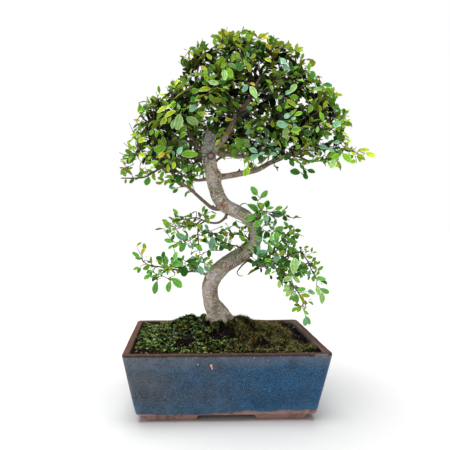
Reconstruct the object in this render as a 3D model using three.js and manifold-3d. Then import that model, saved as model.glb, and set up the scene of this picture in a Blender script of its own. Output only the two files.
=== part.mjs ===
// Chinese elm bonsai: an S-shaped tree with leafy sprays, in a glazed rectangular pot.
// Millimetres, +Z up. The points below are drawn about the middle of the pot, with z = 0 under
// its feet. The front of the pot faces -Y.

import * as THREE from 'three';
import { mergeVertices } from 'three/addons/utils/BufferGeometryUtils.js';
import Module from 'manifold-3d';

const wasm = await Module();
wasm.setup();

// The pot
const POT_LENGTH = 190;
const POT_DEPTH = 142;
const POT_HEIGHT = 67;
const FOOT_HEIGHT = 6;
const WALL_LEAN = 11.1;
const RIM_WIDTH = 7;
const CORNER_RADIUS = 5.5;
const INNER_CORNER = 4;
const FLOOR_CORNER = 2;
const RIM_ROUND = 1.4;
const UNDERCUT = 2.5;
const FLOOR_TOP = 12;
const FLOOR_FILLET = 3;
const POT_PLAN = { corner: 3, longSide: 1, shortSide: 1 };

// The four bracket feet: two arms of each, as they run along the long and the short sides
const FOOT = { inset: 4, longArm: 54, shortArm: 36, width: 13, draft: 2, endDraft: 4, sunk: 1,
  bend: 0.25 };

// The drainage holes and the mesh screens over them
const DRAIN_OFFSET = 38;
const DRAIN_RADIUS = 7;
const DRAIN_SIDES = 14;
const SCREEN_SIZE = 22;
const SCREEN_THICKNESS = 1;
const SCREEN_HOLES = 3;
const SCREEN_HOLE = 4.4;

// The gap between touching pieces
const FIT = 0.35;

// The soil, heaped from the walls up to the trunk, and the moss on it
const SOIL_EDGE = 63;
const SOIL_PEAK = 85;
const SOIL_SLOPE = 1.25;
const SOIL_ROUGHNESS = 0.7;
const SOIL_PLAN = { corner: 2, longSide: 6, shortSide: 4 };
const SOIL_RINGS = [0.24, 0.42, 0.6, 0.79, 0.97, 1];
const HEAP_MIDDLE = { x: -2, y: 2 };
const HEAP_REACH = { x: 84, y: 60 };
const MOSS_THICKNESS = 3.8;
const MOSS_LUMPS = 2.1;
const MOSS_EDGE = 1.3;
const MOSS_SEED = 41;
const MOSS_RINGS = SOIL_RINGS.length - 1;

// Where the moss stops one ring short of the wall and leaves soil bare, in degrees from +X
const BARE_BEARINGS = [[-22, 38], [-152, -138]];

// The root flare: height and radius of each ring, and its shallow lobes
const FLARE_RINGS = [[58, 8], [74, 12], [81.5, 14], [87, 12], [94, 8.8]];
const FLARE_LOBES = 5;
const FLARE_LOBE_DEPTH = 0.1;
const FLARE_SIDES = 12;
const ROOT_RADII = [3.4, 2.3];
const ROOT_SIDES = 5;
const ROOT_STEPS = 4;
const SURFACE_ROOTS = [
  [[-9, -2, 103], [-3, -5, 97], [4, -6, 91], [10, -6, 86], [16, -6, 80], [20, -6, 71]],
  [[-9, -1, 96], [-14, -4, 88], [-19, -8, 81], [-23, -10, 72]],
  [[-3, -3, 92], [-2, -10, 85], [-1, -15, 80], [0, -18, 71]],
  [[-3, 6, 92], [2, 16, 86], [7, 24, 80], [9, 29, 71]],
];

// The trunk's middle line from the soil to its cut top: x, y, z and radius
const TRUNK_SIDES = 9;
const TRUNK_STEPS = 33;
const TRUNK = [
  [-1, 2, 72, 9], [-2, 2, 83, 11.4], [-5, 1, 91, 11], [-10, 0, 99, 9.4],
  [-12, -1, 106, 8.2], [-13, -2, 115, 8.6], [-11, -3, 125, 8.9], [-7, -3, 132, 9],
  [0, -2, 139, 8.8], [9, 0, 145, 8.6], [21, 2, 152, 8.2], [30, 3, 160, 7.8],
  [35, 4, 168, 7.5], [36, 4, 177, 7.2], [32, 3, 186, 7], [24, 1, 193, 7], [15, 0, 198, 7.2],
  [5, -1, 203, 7.4], [-2, -2, 211, 7.2], [-6, -2, 220, 7], [-9, -2, 231, 7],
  [-11, -1, 242, 6.6], [-13, 0, 256, 6.9], [-13, 0, 267, 6.2], [-13, 0, 276, 5.6],
  [-12.5, 0.5, 279.5, 5],
];

// The limbs and bare twigs that are one growth with the trunk: radius at the root and the end
const STEPS_PER_POINT = 0.9;
const LIMBS = {
  left_low: { radii: [2.9, 1.3], sides: 6, path: [
    [0, -1, 200], [-10, -5, 201], [-21, -11, 209], [-28, -16, 215],
    [-35, -21, 221], [-44, -27, 227], [-53, -32, 236], [-58, -35, 241]
  ] },
  left_mid: { radii: [2.4, 1.2], sides: 5, path: [
    [-13, 0, 259], [-21, 5, 263], [-26, 9, 267], [-33, 12, 272], [-42, 15, 276],
    [-51, 18, 281], [-61, 20, 287], [-70, 22, 291]
  ] },
  left_up: { radii: [1.9, 1.1], sides: 5, path: [
    [-22, 5, 263], [-30, 6, 273], [-35, 4, 282], [-40, 0, 292], [-43, -6, 300]
  ] },
  left_short: { radii: [1.6, 1.0], sides: 5, path: [
    [-14, 0, 254], [-22, -6, 254], [-30, -14, 251], [-37, -22, 251]
  ] },
  left_back: { radii: [2.4, 1.2], sides: 5, path: [
    [-12, 0, 233], [-19, 10, 232], [-27, 20, 232], [-36, 32, 236], [-44, 44, 241]
  ] },
  top_left: { radii: [2.3, 1.2], sides: 5, path: [
    [-13, 0, 275], [-19, 8, 287], [-26, 14, 300], [-34, 18, 314], [-38, 18, 326]
  ] },
  lead_up: { radii: [3.2, 1.2], sides: 6, path: [
    [-12, 0, 275], [-4, 9, 286], [3, 16, 298], [6, 20, 309], [7, 22, 323],
    [8, 20, 337], [10, 16, 350]
  ] },
  lead_right: { radii: [3.4, 1.2], sides: 6, path: [
    [-12, 0, 271], [-6, -3, 275], [0, -7, 282], [6, -11, 292], [10, -14, 299],
    [15, -17, 305], [20, -20, 313], [24, -22, 320], [31, -22, 328], [39, -20, 335]
  ] },
  right_mid: { radii: [2.5, 1.2], sides: 5, path: [
    [-10, 0, 261], [-2, 4, 260], [10, 11, 259], [24, 18, 258], [37, 24, 259],
    [48, 29, 263], [58, 33, 271]
  ] },
  right_low: { radii: [3.2, 1.4], sides: 6, path: [
    [-7, 0, 234], [0, -5, 234], [9, -10, 235], [22, -16, 237], [35, -21, 240],
    [44, -25, 245], [53, -28, 249], [61, -30, 253], [70, -31, 255], [78, -31, 258]
  ] },
  back_low: { radii: [2.6, 1.2], sides: 5, path: [
    [-9, 0, 225], [-4, 20, 235], [3, 42, 246], [14, 62, 258], [25, 78, 270]
  ] },
  back_mid: { radii: [2.3, 1.2], sides: 5, path: [
    [-13, 0, 252], [-16, 20, 264], [-23, 42, 276], [-34, 62, 288]
  ] },
  back_up: { radii: [2.6, 1.2], sides: 5, path: [
    [-12, 0, 271], [-8, 18, 286], [-2, 38, 304], [5, 56, 323]
  ] },
  low_left: { radii: [2.3, 1.1], sides: 5, path: [
    [-10, 0, 128], [-18, -5, 132], [-28, -11, 136], [-37, -17, 136],
    [-46, -22, 138], [-53, -26, 140], [-59, -29, 141]
  ] },
  hanging: { radii: [2.3, 1.1], sides: 5, path: [
    [3, 0, 199], [0, -7, 193], [-4, -11, 187], [-13, -15, 186], [-20, -18, 188],
    [-24, -19, 190]
  ] },
  low_right: { radii: [2.4, 1.2], sides: 5, path: [
    [22, 0, 151], [29, -7, 146], [36, -13, 143], [44, -19, 142], [52, -24, 145],
    [58, -28, 150]
  ] },
  snag: { radii: [1.3, 0.6], sides: 4, path: [
    [-6, -2, 277], [-16, -14, 283], [-21, -20, 288], [-26, -26, 292]
  ] },
  cross_twig: { radii: [1.3, 0.6], sides: 4, path: [
    [5, 20, 312], [-8, 16, 307], [-18, 12, 305], [-28, 8, 303]
  ] },
  curl: { radii: [1.4, 0.8], sides: 4, path: [
    [27, -5, 147], [18, -14, 140], [14, -18, 135], [16, -20, 132], [21, -20, 132]
  ] },
  knee_twig: { radii: [1.3, 0.8], sides: 4, path: [[17, 0, 202], [22, -6, 206], [28, -9, 204]] },
};

// The leafy sprays of each limb. at is the place on the limb, from its root to its end, that the
// spray springs from, stem is the spray's main twig and tips are the points its leaves reach to.
const SPRAYS = {
  left_low: [
    { at: 1, stem: [[-63, -38, 239], [-71, -41, 234], [-78, -43, 230], [-89, -44, 229],
      [-100, -44, 229]],
      tips: [[-103, -40, 236], [-96, -44, 224], [-83, -36, 236]] },
    { at: 0.92, stem: [[-65, -40, 247], [-76, -42, 251], [-87, -40, 252]],
      tips: [[-101, -42, 247], [-97, -36, 257], [-96, -32, 266], [-84, -30, 260], [-79, -44, 242],
      [-72, -56, 254]] },
    { at: 0.8, stem: [[-54, -44, 241], [-58, -54, 247]],
      tips: [[-64, -60, 251], [-53, -58, 254], [-46, -50, 246], [-60, -42, 232], [-52, -36, 226],
      [-36, -22, 237]] },
  ],
  left_mid: [
    { at: 1, stem: [[-80, 22, 296], [-87, 20, 301]],
      tips: [[-92, 18, 306], [-89, 14, 315], [-96, 22, 289], [-101, 20, 282], [-86, 10, 280],
      [-77, 6, 308]] },
    { at: 0.75, stem: [[-66, 2, 296], [-69, -6, 305]],
      tips: [[-79, -4, 317], [-67, -8, 320], [-59, -24, 305], [-72, -24, 291], [-55, 0, 320]] },
    { at: 0.6, stem: [[-55, -4, 266], [-61, -20, 259]],
      tips: [[-69, -22, 269], [-75, -8, 261], [-59, -34, 267], [-49, -34, 258]] },
  ],
  left_up: [
    { at: 1, stem: [[-46, -14, 309], [-48, -20, 318]],
      tips: [[-52, -18, 331], [-57, -8, 323], [-41, -26, 323], [-62, -30, 308], [-34, -44, 309]] },
    { at: 0.7, stem: [[-46, -22, 289], [-52, -38, 290]],
      tips: [[-63, -42, 293], [-55, -50, 280], [-44, -58, 293], [-41, -56, 281], [-30, -54, 285]] },
  ],
  left_short: [
    { at: 1, stem: [[-43, -32, 251], [-48, -42, 254]],
      tips: [[-55, -46, 258], [-46, -48, 259], [-34, -50, 253], [-42, -40, 241], [-31, -30, 241]] },
  ],
  left_back: [
    { at: 1, stem: [[-52, 56, 249], [-62, 66, 260]],
      tips: [[-73, 66, 272], [-62, 70, 284], [-48, 76, 273], [-34, 70, 260], [-75, 60, 253]] },
    { at: 0.6, stem: [[-32, 34, 245], [-27, 42, 257]],
      tips: [[-36, 26, 249], [-19, 44, 246], [-22, 50, 270], [-45, 30, 250]] },
  ],
  top_left: [
    { at: 1, stem: [[-38, 12, 337], [-38, 6, 346]],
      tips: [[-42, 2, 360], [-40, -2, 339], [-32, -14, 351], [-49, 20, 344], [-27, -24, 335]] },
    { at: 0.7, stem: [[-26, -6, 316], [-23, -22, 322]],
      tips: [[-20, -34, 328], [-10, -40, 317], [-34, -44, 312], [-18, -44, 306], [-28, -34, 326]] },
    { at: 0.85, stem: [[-27, 26, 344], [-23, 26, 364]],
      tips: [[-32, 18, 381], [-20, 14, 382], [-13, 6, 365], [-23, 34, 374]] },
  ],
  lead_up: [
    { at: 1, stem: [[10, 10, 361], [10, 6, 373]],
      tips: [[0, 4, 391], [-8, -2, 380], [11, -6, 382], [17, -20, 366], [-2, -24, 360]] },
    { at: 0.8, stem: [[19, 24, 359], [25, 26, 378]],
      tips: [[24, 18, 399], [37, 22, 396], [31, 8, 380], [17, 36, 387], [41, 34, 375]] },
    { at: 0.55, stem: [[0, 0, 324], [-2, -20, 331]],
      tips: [[-1, -44, 337], [3, -56, 324], [-11, -36, 334], [0, -52, 312], [13, -50, 322]] },
  ],
  lead_right: [
    { at: 1, stem: [[48, -16, 347], [55, -12, 360]],
      tips: [[45, -8, 379], [58, -4, 376], [70, 0, 375], [38, -26, 359], [49, -36, 344]] },
    { at: 0.85, stem: [[25, -34, 337], [24, -42, 344]],
      tips: [[16, -52, 342], [30, -38, 357], [22, -66, 325], [13, -54, 334]] },
    { at: 0.7, stem: [[28, -42, 311], [33, -58, 309]],
      tips: [[16, -64, 313], [22, -72, 301], [35, -66, 314], [41, -64, 304], [33, -56, 298]] },
    { at: 0.45, stem: [[21, -36, 295], [34, -54, 283], [44, -64, 282]],
      tips: [[47, -78, 275], [55, -76, 268], [62, -70, 275], [55, -62, 289], [68, -60, 269]] },
    { at: 0.95, stem: [[57, -14, 333], [69, -16, 334], [76, -18, 339]],
      tips: [[83, -14, 354], [95, -12, 352], [77, -6, 369], [86, -20, 340], [65, -30, 346],
      [74, -36, 325]] },
    { at: 0.9, stem: [[59, 8, 335], [77, 22, 335]],
      tips: [[91, 26, 345], [103, 28, 336], [95, 34, 327], [76, 18, 349], [109, 16, 324]] },
  ],
  right_mid: [
    { at: 1, stem: [[68, 36, 282], [80, 38, 293]],
      tips: [[91, 36, 304], [77, 44, 308], [67, 52, 298], [94, 30, 290], [87, 44, 281]] },
    { at: 0.8, stem: [[43, 4, 265], [39, -20, 264], [36, -38, 262]],
      tips: [[23, -50, 246], [21, -48, 256], [30, -54, 266], [43, -54, 259], [42, -50, 251],
      [50, -40, 257]] },
    { at: 0.5, stem: [[21, 22, 270], [20, 28, 284]],
      tips: [[8, 24, 293], [29, 34, 295], [19, 40, 303], [7, 30, 278], [35, 40, 282]] },
    { at: 0.75, stem: [[59, 60, 283], [78, 74, 302]],
      tips: [[96, 76, 320], [82, 80, 331], [99, 66, 303], [110, 54, 311], [68, 84, 317]] },
  ],
  right_low: [
    { at: 1, stem: [[85, -30, 266], [90, -30, 277], [93, -28, 291]],
      tips: [[93, -26, 306], [104, -22, 313], [106, -28, 297], [79, -36, 299], [98, -14, 333],
      [105, -10, 330]] },
    { at: 0.92, stem: [[86, -36, 258], [98, -40, 258], [110, -42, 259], [121, -44, 255]],
      tips: [[143, -44, 250], [137, -42, 257], [119, -48, 246], [126, -36, 268], [111, -46, 272],
      [98, -56, 264]] },
    { at: 0.85, stem: [[74, -38, 250], [82, -42, 246], [91, -46, 246], [98, -48, 248]],
      tips: [[98, -54, 240], [110, -46, 241], [86, -58, 255], [103, -56, 253]] },
    { at: 0.78, stem: [[72, -37, 246], [76, -42, 239]],
      tips: [[65, -40, 235], [78, -42, 231], [86, -40, 237], [74, -36, 242]] },
    { at: 0.65, stem: [[61, -28, 263], [63, -26, 275], [66, -26, 287]],
      tips: [[61, -40, 302], [68, -46, 306], [53, -40, 308], [70, -52, 292], [75, -54, 282]] },
    { at: 0.82, stem: [[96, -14, 273], [110, -8, 287], [120, -4, 298]],
      tips: [[133, -4, 303], [134, -10, 287], [129, -18, 273], [122, 2, 312], [117, 4, 330],
      [125, -6, 320], [122, -26, 290]] },
  ],
  back_low: [
    { at: 1, stem: [[37, 90, 283], [48, 98, 297]],
      tips: [[58, 100, 310], [38, 104, 316], [26, 106, 298], [63, 96, 289], [46, 102, 277],
      [15, 98, 281]] },
  ],
  back_mid: [
    { at: 1, stem: [[-43, 76, 300], [-51, 84, 311]],
      tips: [[-63, 84, 321], [-48, 92, 330], [-33, 98, 317], [-61, 88, 299], [-26, 92, 298]] },
  ],
  back_up: [
    { at: 1, stem: [[10, 68, 339], [14, 74, 353]],
      tips: [[3, 74, 368], [22, 70, 374], [36, 82, 360], [16, 90, 348], [-7, 80, 350],
      [-14, 76, 334]] },
    { at: 0.75, stem: [[20, 56, 327], [38, 64, 341]],
      tips: [[52, 64, 358], [66, 70, 345], [50, 80, 335], [40, 60, 366], [57, 50, 370]] },
  ],
  low_left: [
    { at: 1, stem: [[-66, -32, 143], [-72, -35, 144], [-78, -37, 147], [-82, -38, 152]],
      tips: [[-89, -40, 158], [-84, -38, 167], [-79, -34, 158], [-71, -44, 154]] },
    { at: 0.92, stem: [[-61, -34, 137], [-62, -40, 134]],
      tips: [[-77, -44, 134], [-69, -46, 121], [-70, -40, 132], [-60, -42, 131], [-55, -42, 121],
      [-43, -42, 126]] },
    { at: 0.6, stem: [[-48, -30, 143], [-52, -38, 148]],
      tips: [[-58, -42, 152], [-49, -38, 158], [-64, -32, 146], [-42, -36, 148]] },
    { at: 0.3, stem: [[-32, -18, 142], [-34, -28, 145]],
      tips: [[-41, -30, 134], [-33, -32, 147], [-24, -24, 139], [-21, -22, 146], [-13, -18, 142]] },
  ],
  hanging: [
    { at: 1, stem: [[-28, -21, 191], [-36, -25, 190], [-44, -28, 189]],
      tips: [[-52, -30, 188], [-34, -22, 196], [-25, -16, 197], [-16, -12, 200], [-42, -32, 185]] },
    { at: 0.95, stem: [[-27, -19, 185], [-34, -22, 182], [-44, -26, 183], [-54, -30, 182]],
      tips: [[-69, -34, 180], [-61, -30, 178], [-54, -34, 178], [-46, -34, 181], [-38, -32, 180]] },
    { at: 0.86, stem: [[-25, -14, 183], [-26, -14, 173], [-25, -14, 164], [-24, -14, 155]],
      tips: [[-47, -30, 173], [-58, -30, 168], [-52, -30, 162], [-41, -34, 162], [-33, -28, 168],
      [-30, -24, 157], [-21, -8, 173], [-10, -8, 175], [1, -6, 171], [-24, -26, 161],
      [-19, -20, 150], [-28, -20, 149]] },
  ],
  knee_left: [
    { stem: [[23, -8, 172], [12, -12, 174], [3, -15, 176]],
      tips: [[-3, -16, 182], [6, -14, 182], [18, -10, 183], [25, -10, 180]] },
    { stem: [[18, -10, 160], [9, -14, 163], [0, -18, 166]],
      tips: [[-11, -26, 166], [-8, -20, 172], [5, -18, 168], [13, -14, 165], [-6, -22, 161],
      [-12, -18, 155]] },
  ],
  knee_right: [
    { stem: [[35, -8, 196], [39, -12, 198], [46, -17, 197], [54, -22, 195], [63, -27, 192]],
      tips: [[75, -31, 192], [59, -28, 197], [48, -24, 202], [69, -26, 190], [53, -26, 190],
      [30, -16, 221], [41, -16, 217], [28, -18, 213], [40, -14, 206]] },
    { stem: [[34, -12, 187], [34, -20, 190]],
      tips: [[24, -26, 203], [19, -28, 191], [31, -32, 187], [42, -26, 192], [41, -24, 184],
      [48, -22, 187]] },
  ],
  low_right: [
    { at: 1, stem: [[61, -28, 159], [64, -29, 169], [66, -30, 178]],
      tips: [[65, -30, 187], [75, -34, 173], [52, -36, 176], [58, -42, 163], [70, -36, 167],
      [57, -30, 181]] },
    { at: 0.95, stem: [[67, -32, 155], [74, -36, 157], [80, -40, 150], [84, -43, 140],
      [88, -45, 132]],
      tips: [[98, -46, 119], [93, -46, 110], [88, -46, 118], [98, -44, 130], [75, -46, 147],
      [73, -34, 163]] },
    { at: 0.85, stem: [[57, -34, 139], [62, -40, 130], [68, -44, 122], [74, -46, 113],
      [75, -46, 103]],
      tips: [[79, -46, 90], [77, -44, 88], [77, -48, 123], [69, -44, 110], [74, -48, 112],
      [56, -50, 135], [67, -50, 135], [62, -52, 127], [52, -40, 126]] },
    { at: 0.7, stem: [[47, -32, 147], [46, -40, 152]],
      tips: [[29, -42, 157], [36, -40, 148], [43, -46, 143], [48, -52, 149], [50, -48, 154],
      [40, -36, 164], [23, -16, 134]] },
    { at: 0.8, stem: [[58, -36, 148], [62, -42, 152]],
      tips: [[66, -46, 160], [68, -46, 148], [58, -44, 143], [64, -50, 143]] },
  ],
};

// Leaves: keeled blades on a thin stalk. The stations run from the stalk to the tip, as fractions of
// the blade's length, width, depth and arch.
const LEAF_LENGTH = 16.5;
const LEAF_WIDTH = 9.4;
const LEAST_REACH = 15;
const LEAF_DEPTH = 1.3;
const LEAF_ARCH = 1.2;
const STALK_WIDTH = 0.9;
const STALK_DEPTH = 0.7;
const KEEL_SHARE = 0.35;
const LEAF_STATIONS = [
  { at: 0.36, width: 1, depth: 1, lift: 1 },
  { at: 0.72, width: 0.72, depth: 0.8, lift: 0.8 },
];

// A stalk longer than this carries a side leaf, swung aside from it
const SIDE_LEAF_FROM = 40;
const SIDE_LEAF_SWING = 0.95;
const SIDE_LEAF_STALK = 5;
const SIDE_LEAF_PLACE = 0.12;

// The least distance between leaves along a twig, the blade's share of a leaf with its stalk, the
// same for the leaf that ends a twig, and how far back towards its root a leaf springs
const LEAF_SPACING = 3;
const LEAF_SHARE = 0.68;
const END_LEAF_SHARE = 0.86;
const SPRING_BACK = 0.2;

// The part of a twig that leaves may spring from, and how straight on its last leaf has to point
const FIRST_LEAF_PLACE = 0.1;
const LAST_LEAF_PLACE = 0.97;
const LEAST_STRAIGHT = 0.2;

// How finely the place on a curve nearest to a point is looked for
const PLACE_STEPS = 100;

// How blades face, against the middle of the crown
const FACING = { up: 0.75, outward: 0.75, stray: 0.9 };
const CROWN_MIDDLE = { x: -5, y: 5 };

// The room that a leaf keeps from other sprays, and from the leaves of its own
const LEAF_CLEARANCE = 0.35;
const OWN_CLEARANCE = 0.1;

// Twigs of a spray: radius at the root and the end, and the room that they keep
const TWIG_RADII = [1.1, 0.75];
const TWIG_SIDES = 4;
const TWIG_CLEARANCE = 0.2;
const TWIG_STEPS_PER_POINT = 0.7;

// How a twig is seated. It starts at the bark, its own girth allowed for on a slanting root, and goes
// out by small steps until it is clear. Then it is bent aside, further each time, and tried again.
const ROOT_GIRTH_SHARE = 0.2;
const LEAST_SLANT = 0.06;
const OUT_STEPS = 18;
const OUT_STEP = 0.1;
const ASIDE_STEP = 1.2;
const MOST_TRIES = 180;
const SPRAY_SEED = 7;

// Colour, roughness of each finish
const GLAZE = { color: '#41566b', roughness: 0.32 };
const SCREEN_PLASTIC = { color: '#2c2f2c', roughness: 0.6 };
const POTTING_MIX = { color: '#3a2c22', roughness: 0.95 };
const MOSS_GREEN = { color: '#5c6b2a', roughness: 0.95 };
const BARK = { color: '#8a8073', roughness: 0.85 };
const CROWN_LEAF = { color: '#5f8a35', roughness: 0.5 };
const LOWER_LEAF = { color: '#6f9a44', roughness: 0.5 };
const LOWER_LIMBS = ['low_left', 'hanging', 'knee_left', 'knee_right', 'low_right'];

const { Vector3 } = THREE;
const UP = new Vector3(0, 0, 1);

// Seeded random numbers from 0 to 1
function randomFrom(seed) {
  let state = seed >>> 0;
  return () => {
    state = (state + 0x6d2b79f5) >>> 0;
    let mixed = Math.imul(state ^ (state >>> 15), state | 1);
    mixed ^= mixed + Math.imul(mixed ^ (mixed >>> 7), mixed | 61);
    return ((mixed ^ (mixed >>> 14)) >>> 0) / 4294967296;
  };
}

// A closed skin through rings of points, each counter-clockwise seen from the next ring. A ring of
// one point is a tip.
function loft(rings) {
  const positions = rings.flat().flatMap((point) => [point.x, point.y, point.z]);
  const triangles = [];
  let first = 0;
  for (let k = 0; k + 1 < rings.length; k += 1) {
    const next = first + rings[k].length;
    const count = Math.max(rings[k].length, rings[k + 1].length);
    for (let i = 0; i < count; i += 1) {
      const j = (i + 1) % count;
      if (rings[k].length === 1) {
        triangles.push(first, next + j, next + i);
      } else if (rings[k + 1].length === 1) {
        triangles.push(first + i, first + j, next);
      } else {
        triangles.push(first + i, first + j, next + j);
        triangles.push(first + i, next + j, next + i);
      }
    }
    first = next;
  }
  for (let i = 1; i + 1 < rings[0].length; i += 1) {
    triangles.push(0, i + 1, i);
  }
  for (let i = 1; i + 1 < rings.at(-1).length; i += 1) {
    triangles.push(first, first + i, first + i + 1);
  }
  return skin(positions, triangles);
}

function skin(positions, triangles) {
  const geometry = new THREE.BufferGeometry();
  geometry.setAttribute('position', new THREE.Float32BufferAttribute(positions, 3));
  geometry.setIndex(triangles);
  return geometry;
}

// A closed geometry as a solid that can be joined and cut, and back again
function solidOf(geometry) {
  const bare = geometry.clone();
  bare.deleteAttribute('normal');
  bare.deleteAttribute('uv');
  const merged = mergeVertices(bare, 1e-4);
  return new wasm.Manifold(new wasm.Mesh({
    numProp: 3,
    vertProperties: new Float32Array(merged.attributes.position.array),
    triVerts: new Uint32Array(merged.index.array),
  }));
}

function geometryOf(solid) {
  const mesh = solid.getMesh();
  const geometry = skin(Array.from(mesh.vertProperties), Array.from(mesh.triVerts));
  geometry.computeVertexNormals();
  return geometry;
}

function joined(solids) {
  return solids.reduce((whole, solid) => whole.add(solid));
}

function pointsOf(path) {
  return path.map(([x, y, z]) => new Vector3(x, y, z));
}

function smoothCurve(path) {
  return new THREE.CatmullRomCurve3(pointsOf(path), false, 'centripetal');
}

// A round stem of changing radius along a smooth path. grow makes it thicker and longer all round.
function stemRings(path, radiusAt, sides, steps, grow = 0) {
  const curve = smoothCurve(path);
  const frames = curve.computeFrenetFrames(steps);
  const rings = [];
  for (let step = 0; step <= steps; step += 1) {
    const along = step / steps;
    const middle = curve.getPointAt(along);
    if (step === steps) {
      middle.addScaledVector(curve.getTangentAt(1), grow);
    }
    const radius = radiusAt(along, curve) + grow;
    rings.push(Array.from({ length: sides }, (_, side) => {
      const angle = side / sides * 2 * Math.PI;
      return middle.clone()
        .addScaledVector(frames.normals[step], radius * Math.cos(angle))
        .addScaledVector(frames.binormals[step], radius * Math.sin(angle));
    }));
  }
  return rings;
}

function stemTube(...shape) {
  return solidOf(loft(stemRings(...shape)));
}

const taper = ([root, end]) => (along) => root + (end - root) * along;

// The rounded rectangle of the pot at a height, inset from its outer wall
function outline(inset, z, radius, plan) {
  const lean = WALL_LEAN * (POT_HEIGHT - z) / (POT_HEIGHT - FOOT_HEIGHT);
  const x = POT_LENGTH / 2 - lean - inset - radius;
  const y = POT_DEPTH / 2 - lean - inset - radius;
  const corners = [[x, y], [-x, y], [-x, -y], [x, -y]];
  const onCorner = (corner, turn) => {
    const angle = (corner + turn) * Math.PI / 2;
    const [middleX, middleY] = corners[corner % 4];
    return new Vector3(middleX + radius * Math.cos(angle), middleY + radius * Math.sin(angle), z);
  };
  const points = [];
  for (let corner = 0; corner < 4; corner += 1) {
    for (let k = 0; k <= plan.corner; k += 1) {
      points.push(onCorner(corner, k / plan.corner));
    }
    const between = corner % 2 === 0 ? plan.longSide : plan.shortSide;
    const from = points.at(-1);
    const to = onCorner(corner + 1, 0);
    for (let k = 1; k <= between; k += 1) {
      points.push(from.clone().lerp(to, k / (between + 1)));
    }
  }
  return points;
}

// One bracket foot, in the corner of the pot's underside that the two signs name
function bracketFoot(signX, signY) {
  const ring = (z, draft, endDraft) => {
    const x = POT_LENGTH / 2 - WALL_LEAN - FOOT.inset - draft;
    const y = POT_DEPTH / 2 - WALL_LEAN - FOOT.inset - draft;
    const inX = x - FOOT.width + 2 * draft;
    const inY = y - FOOT.width + 2 * draft;
    const endX = x - FOOT.longArm + draft + endDraft;
    const endY = y - FOOT.shortArm + draft + endDraft;
    const bend = FOOT.width * FOOT.bend;
    const corners = [
      [inX, inY], [inX, endY], [x, endY], [x, y - bend], [x - bend, y], [endX, y], [endX, inY],
    ];
    const points = corners.map(([px, py]) => new Vector3(px * signX, py * signY, z));
    return signX * signY > 0 ? points : [points[0], ...points.slice(1).reverse()];
  };
  return solidOf(loft([
    ring(0, FOOT.draft, FOOT.endDraft),
    ring(FOOT_HEIGHT + FOOT.sunk, 0, 0),
  ]));
}

function drainHole(x) {
  const hole = new THREE.CylinderGeometry(DRAIN_RADIUS, DRAIN_RADIUS, 2 * FLOOR_TOP, DRAIN_SIDES);
  hole.rotateX(Math.PI / 2);
  hole.translate(x, 0, FLOOR_TOP);
  return solidOf(hole);
}

function potGeometry() {
  const wall = (inset, z, radius) => outline(inset, z, radius, POT_PLAN);
  const body = solidOf(loft([
    wall(UNDERCUT, FOOT_HEIGHT, CORNER_RADIUS - 2),
    wall(0.7, FOOT_HEIGHT + 1, CORNER_RADIUS - 0.5),
    wall(0, FOOT_HEIGHT + 3, CORNER_RADIUS),
    wall(0, POT_HEIGHT - RIM_ROUND, CORNER_RADIUS),
    wall(RIM_ROUND, POT_HEIGHT, CORNER_RADIUS - 1),
    wall(RIM_WIDTH - 1, POT_HEIGHT, INNER_CORNER + 0.6),
    wall(RIM_WIDTH, POT_HEIGHT - 1, INNER_CORNER),
    wall(RIM_WIDTH, FLOOR_TOP + FLOOR_FILLET, INNER_CORNER),
    wall(RIM_WIDTH + FLOOR_FILLET, FLOOR_TOP, FLOOR_CORNER),
  ]));
  const feet = [[1, 1], [-1, 1], [-1, -1], [1, -1]].map(([x, y]) => bracketFoot(x, y));
  return geometryOf(joined([body, ...feet])
    .subtract(drainHole(-DRAIN_OFFSET))
    .subtract(drainHole(DRAIN_OFFSET)));
}

// The flat mesh screen that keeps the soil in over a drainage hole
function screenGeometry(x) {
  const block = (size, thickness, middleX, middleY) => {
    const geometry = new THREE.BoxGeometry(size, size, thickness);
    geometry.translate(x + middleX, middleY, FLOOR_TOP + FIT + SCREEN_THICKNESS / 2);
    return solidOf(geometry);
  };
  const pitch = SCREEN_SIZE / SCREEN_HOLES;
  let plate = block(SCREEN_SIZE, SCREEN_THICKNESS, 0, 0);
  for (let row = 0; row < SCREEN_HOLES; row += 1) {
    for (let column = 0; column < SCREEN_HOLES; column += 1) {
      const place = (k) => (k - (SCREEN_HOLES - 1) / 2) * pitch;
      plate = plate.subtract(block(SCREEN_HOLE, 2 * SCREEN_THICKNESS, place(column), place(row)));
    }
  }
  return geometryOf(plate);
}

// Points of the soil's heaped top: rings from the trunk's foot out to the wall
function heapRings() {
  const random = randomFrom(MOSS_SEED);
  const edge = outline(RIM_WIDTH + FIT, SOIL_EDGE, INNER_CORNER, SOIL_PLAN);
  return SOIL_RINGS.map((out) => edge.map((point) => {
    const x = HEAP_MIDDLE.x + (point.x - HEAP_MIDDLE.x) * out;
    const y = HEAP_MIDDLE.y + (point.y - HEAP_MIDDLE.y) * out;
    const slope = Math.hypot((x - HEAP_MIDDLE.x) / HEAP_REACH.x, (y - HEAP_MIDDLE.y) / HEAP_REACH.y);
    const rise = (SOIL_PEAK - SOIL_EDGE) * (1 - Math.min(slope, 1) ** SOIL_SLOPE);
    return new Vector3(x, y, SOIL_EDGE + rise + SOIL_ROUGHNESS * (random() - 0.5));
  }));
}

function soilGeometry(heap) {
  const wall = (inset, z, radius) => outline(RIM_WIDTH + inset, z, radius, SOIL_PLAN);
  const bottom = FLOOR_TOP + 2 * FIT + SCREEN_THICKNESS + FIT / 2;
  const block = solidOf(loft([
    wall(FLOOR_FILLET + FIT, bottom, FLOOR_CORNER),
    wall(FIT, FLOOR_TOP + FLOOR_FILLET + 2, INNER_CORNER),
    ...heap.slice().reverse(),
    [new Vector3(HEAP_MIDDLE.x, HEAP_MIDDLE.y, SOIL_PEAK)],
  ]));
  return geometryOf(block.subtract(rootFlare(FIT)));
}

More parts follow.
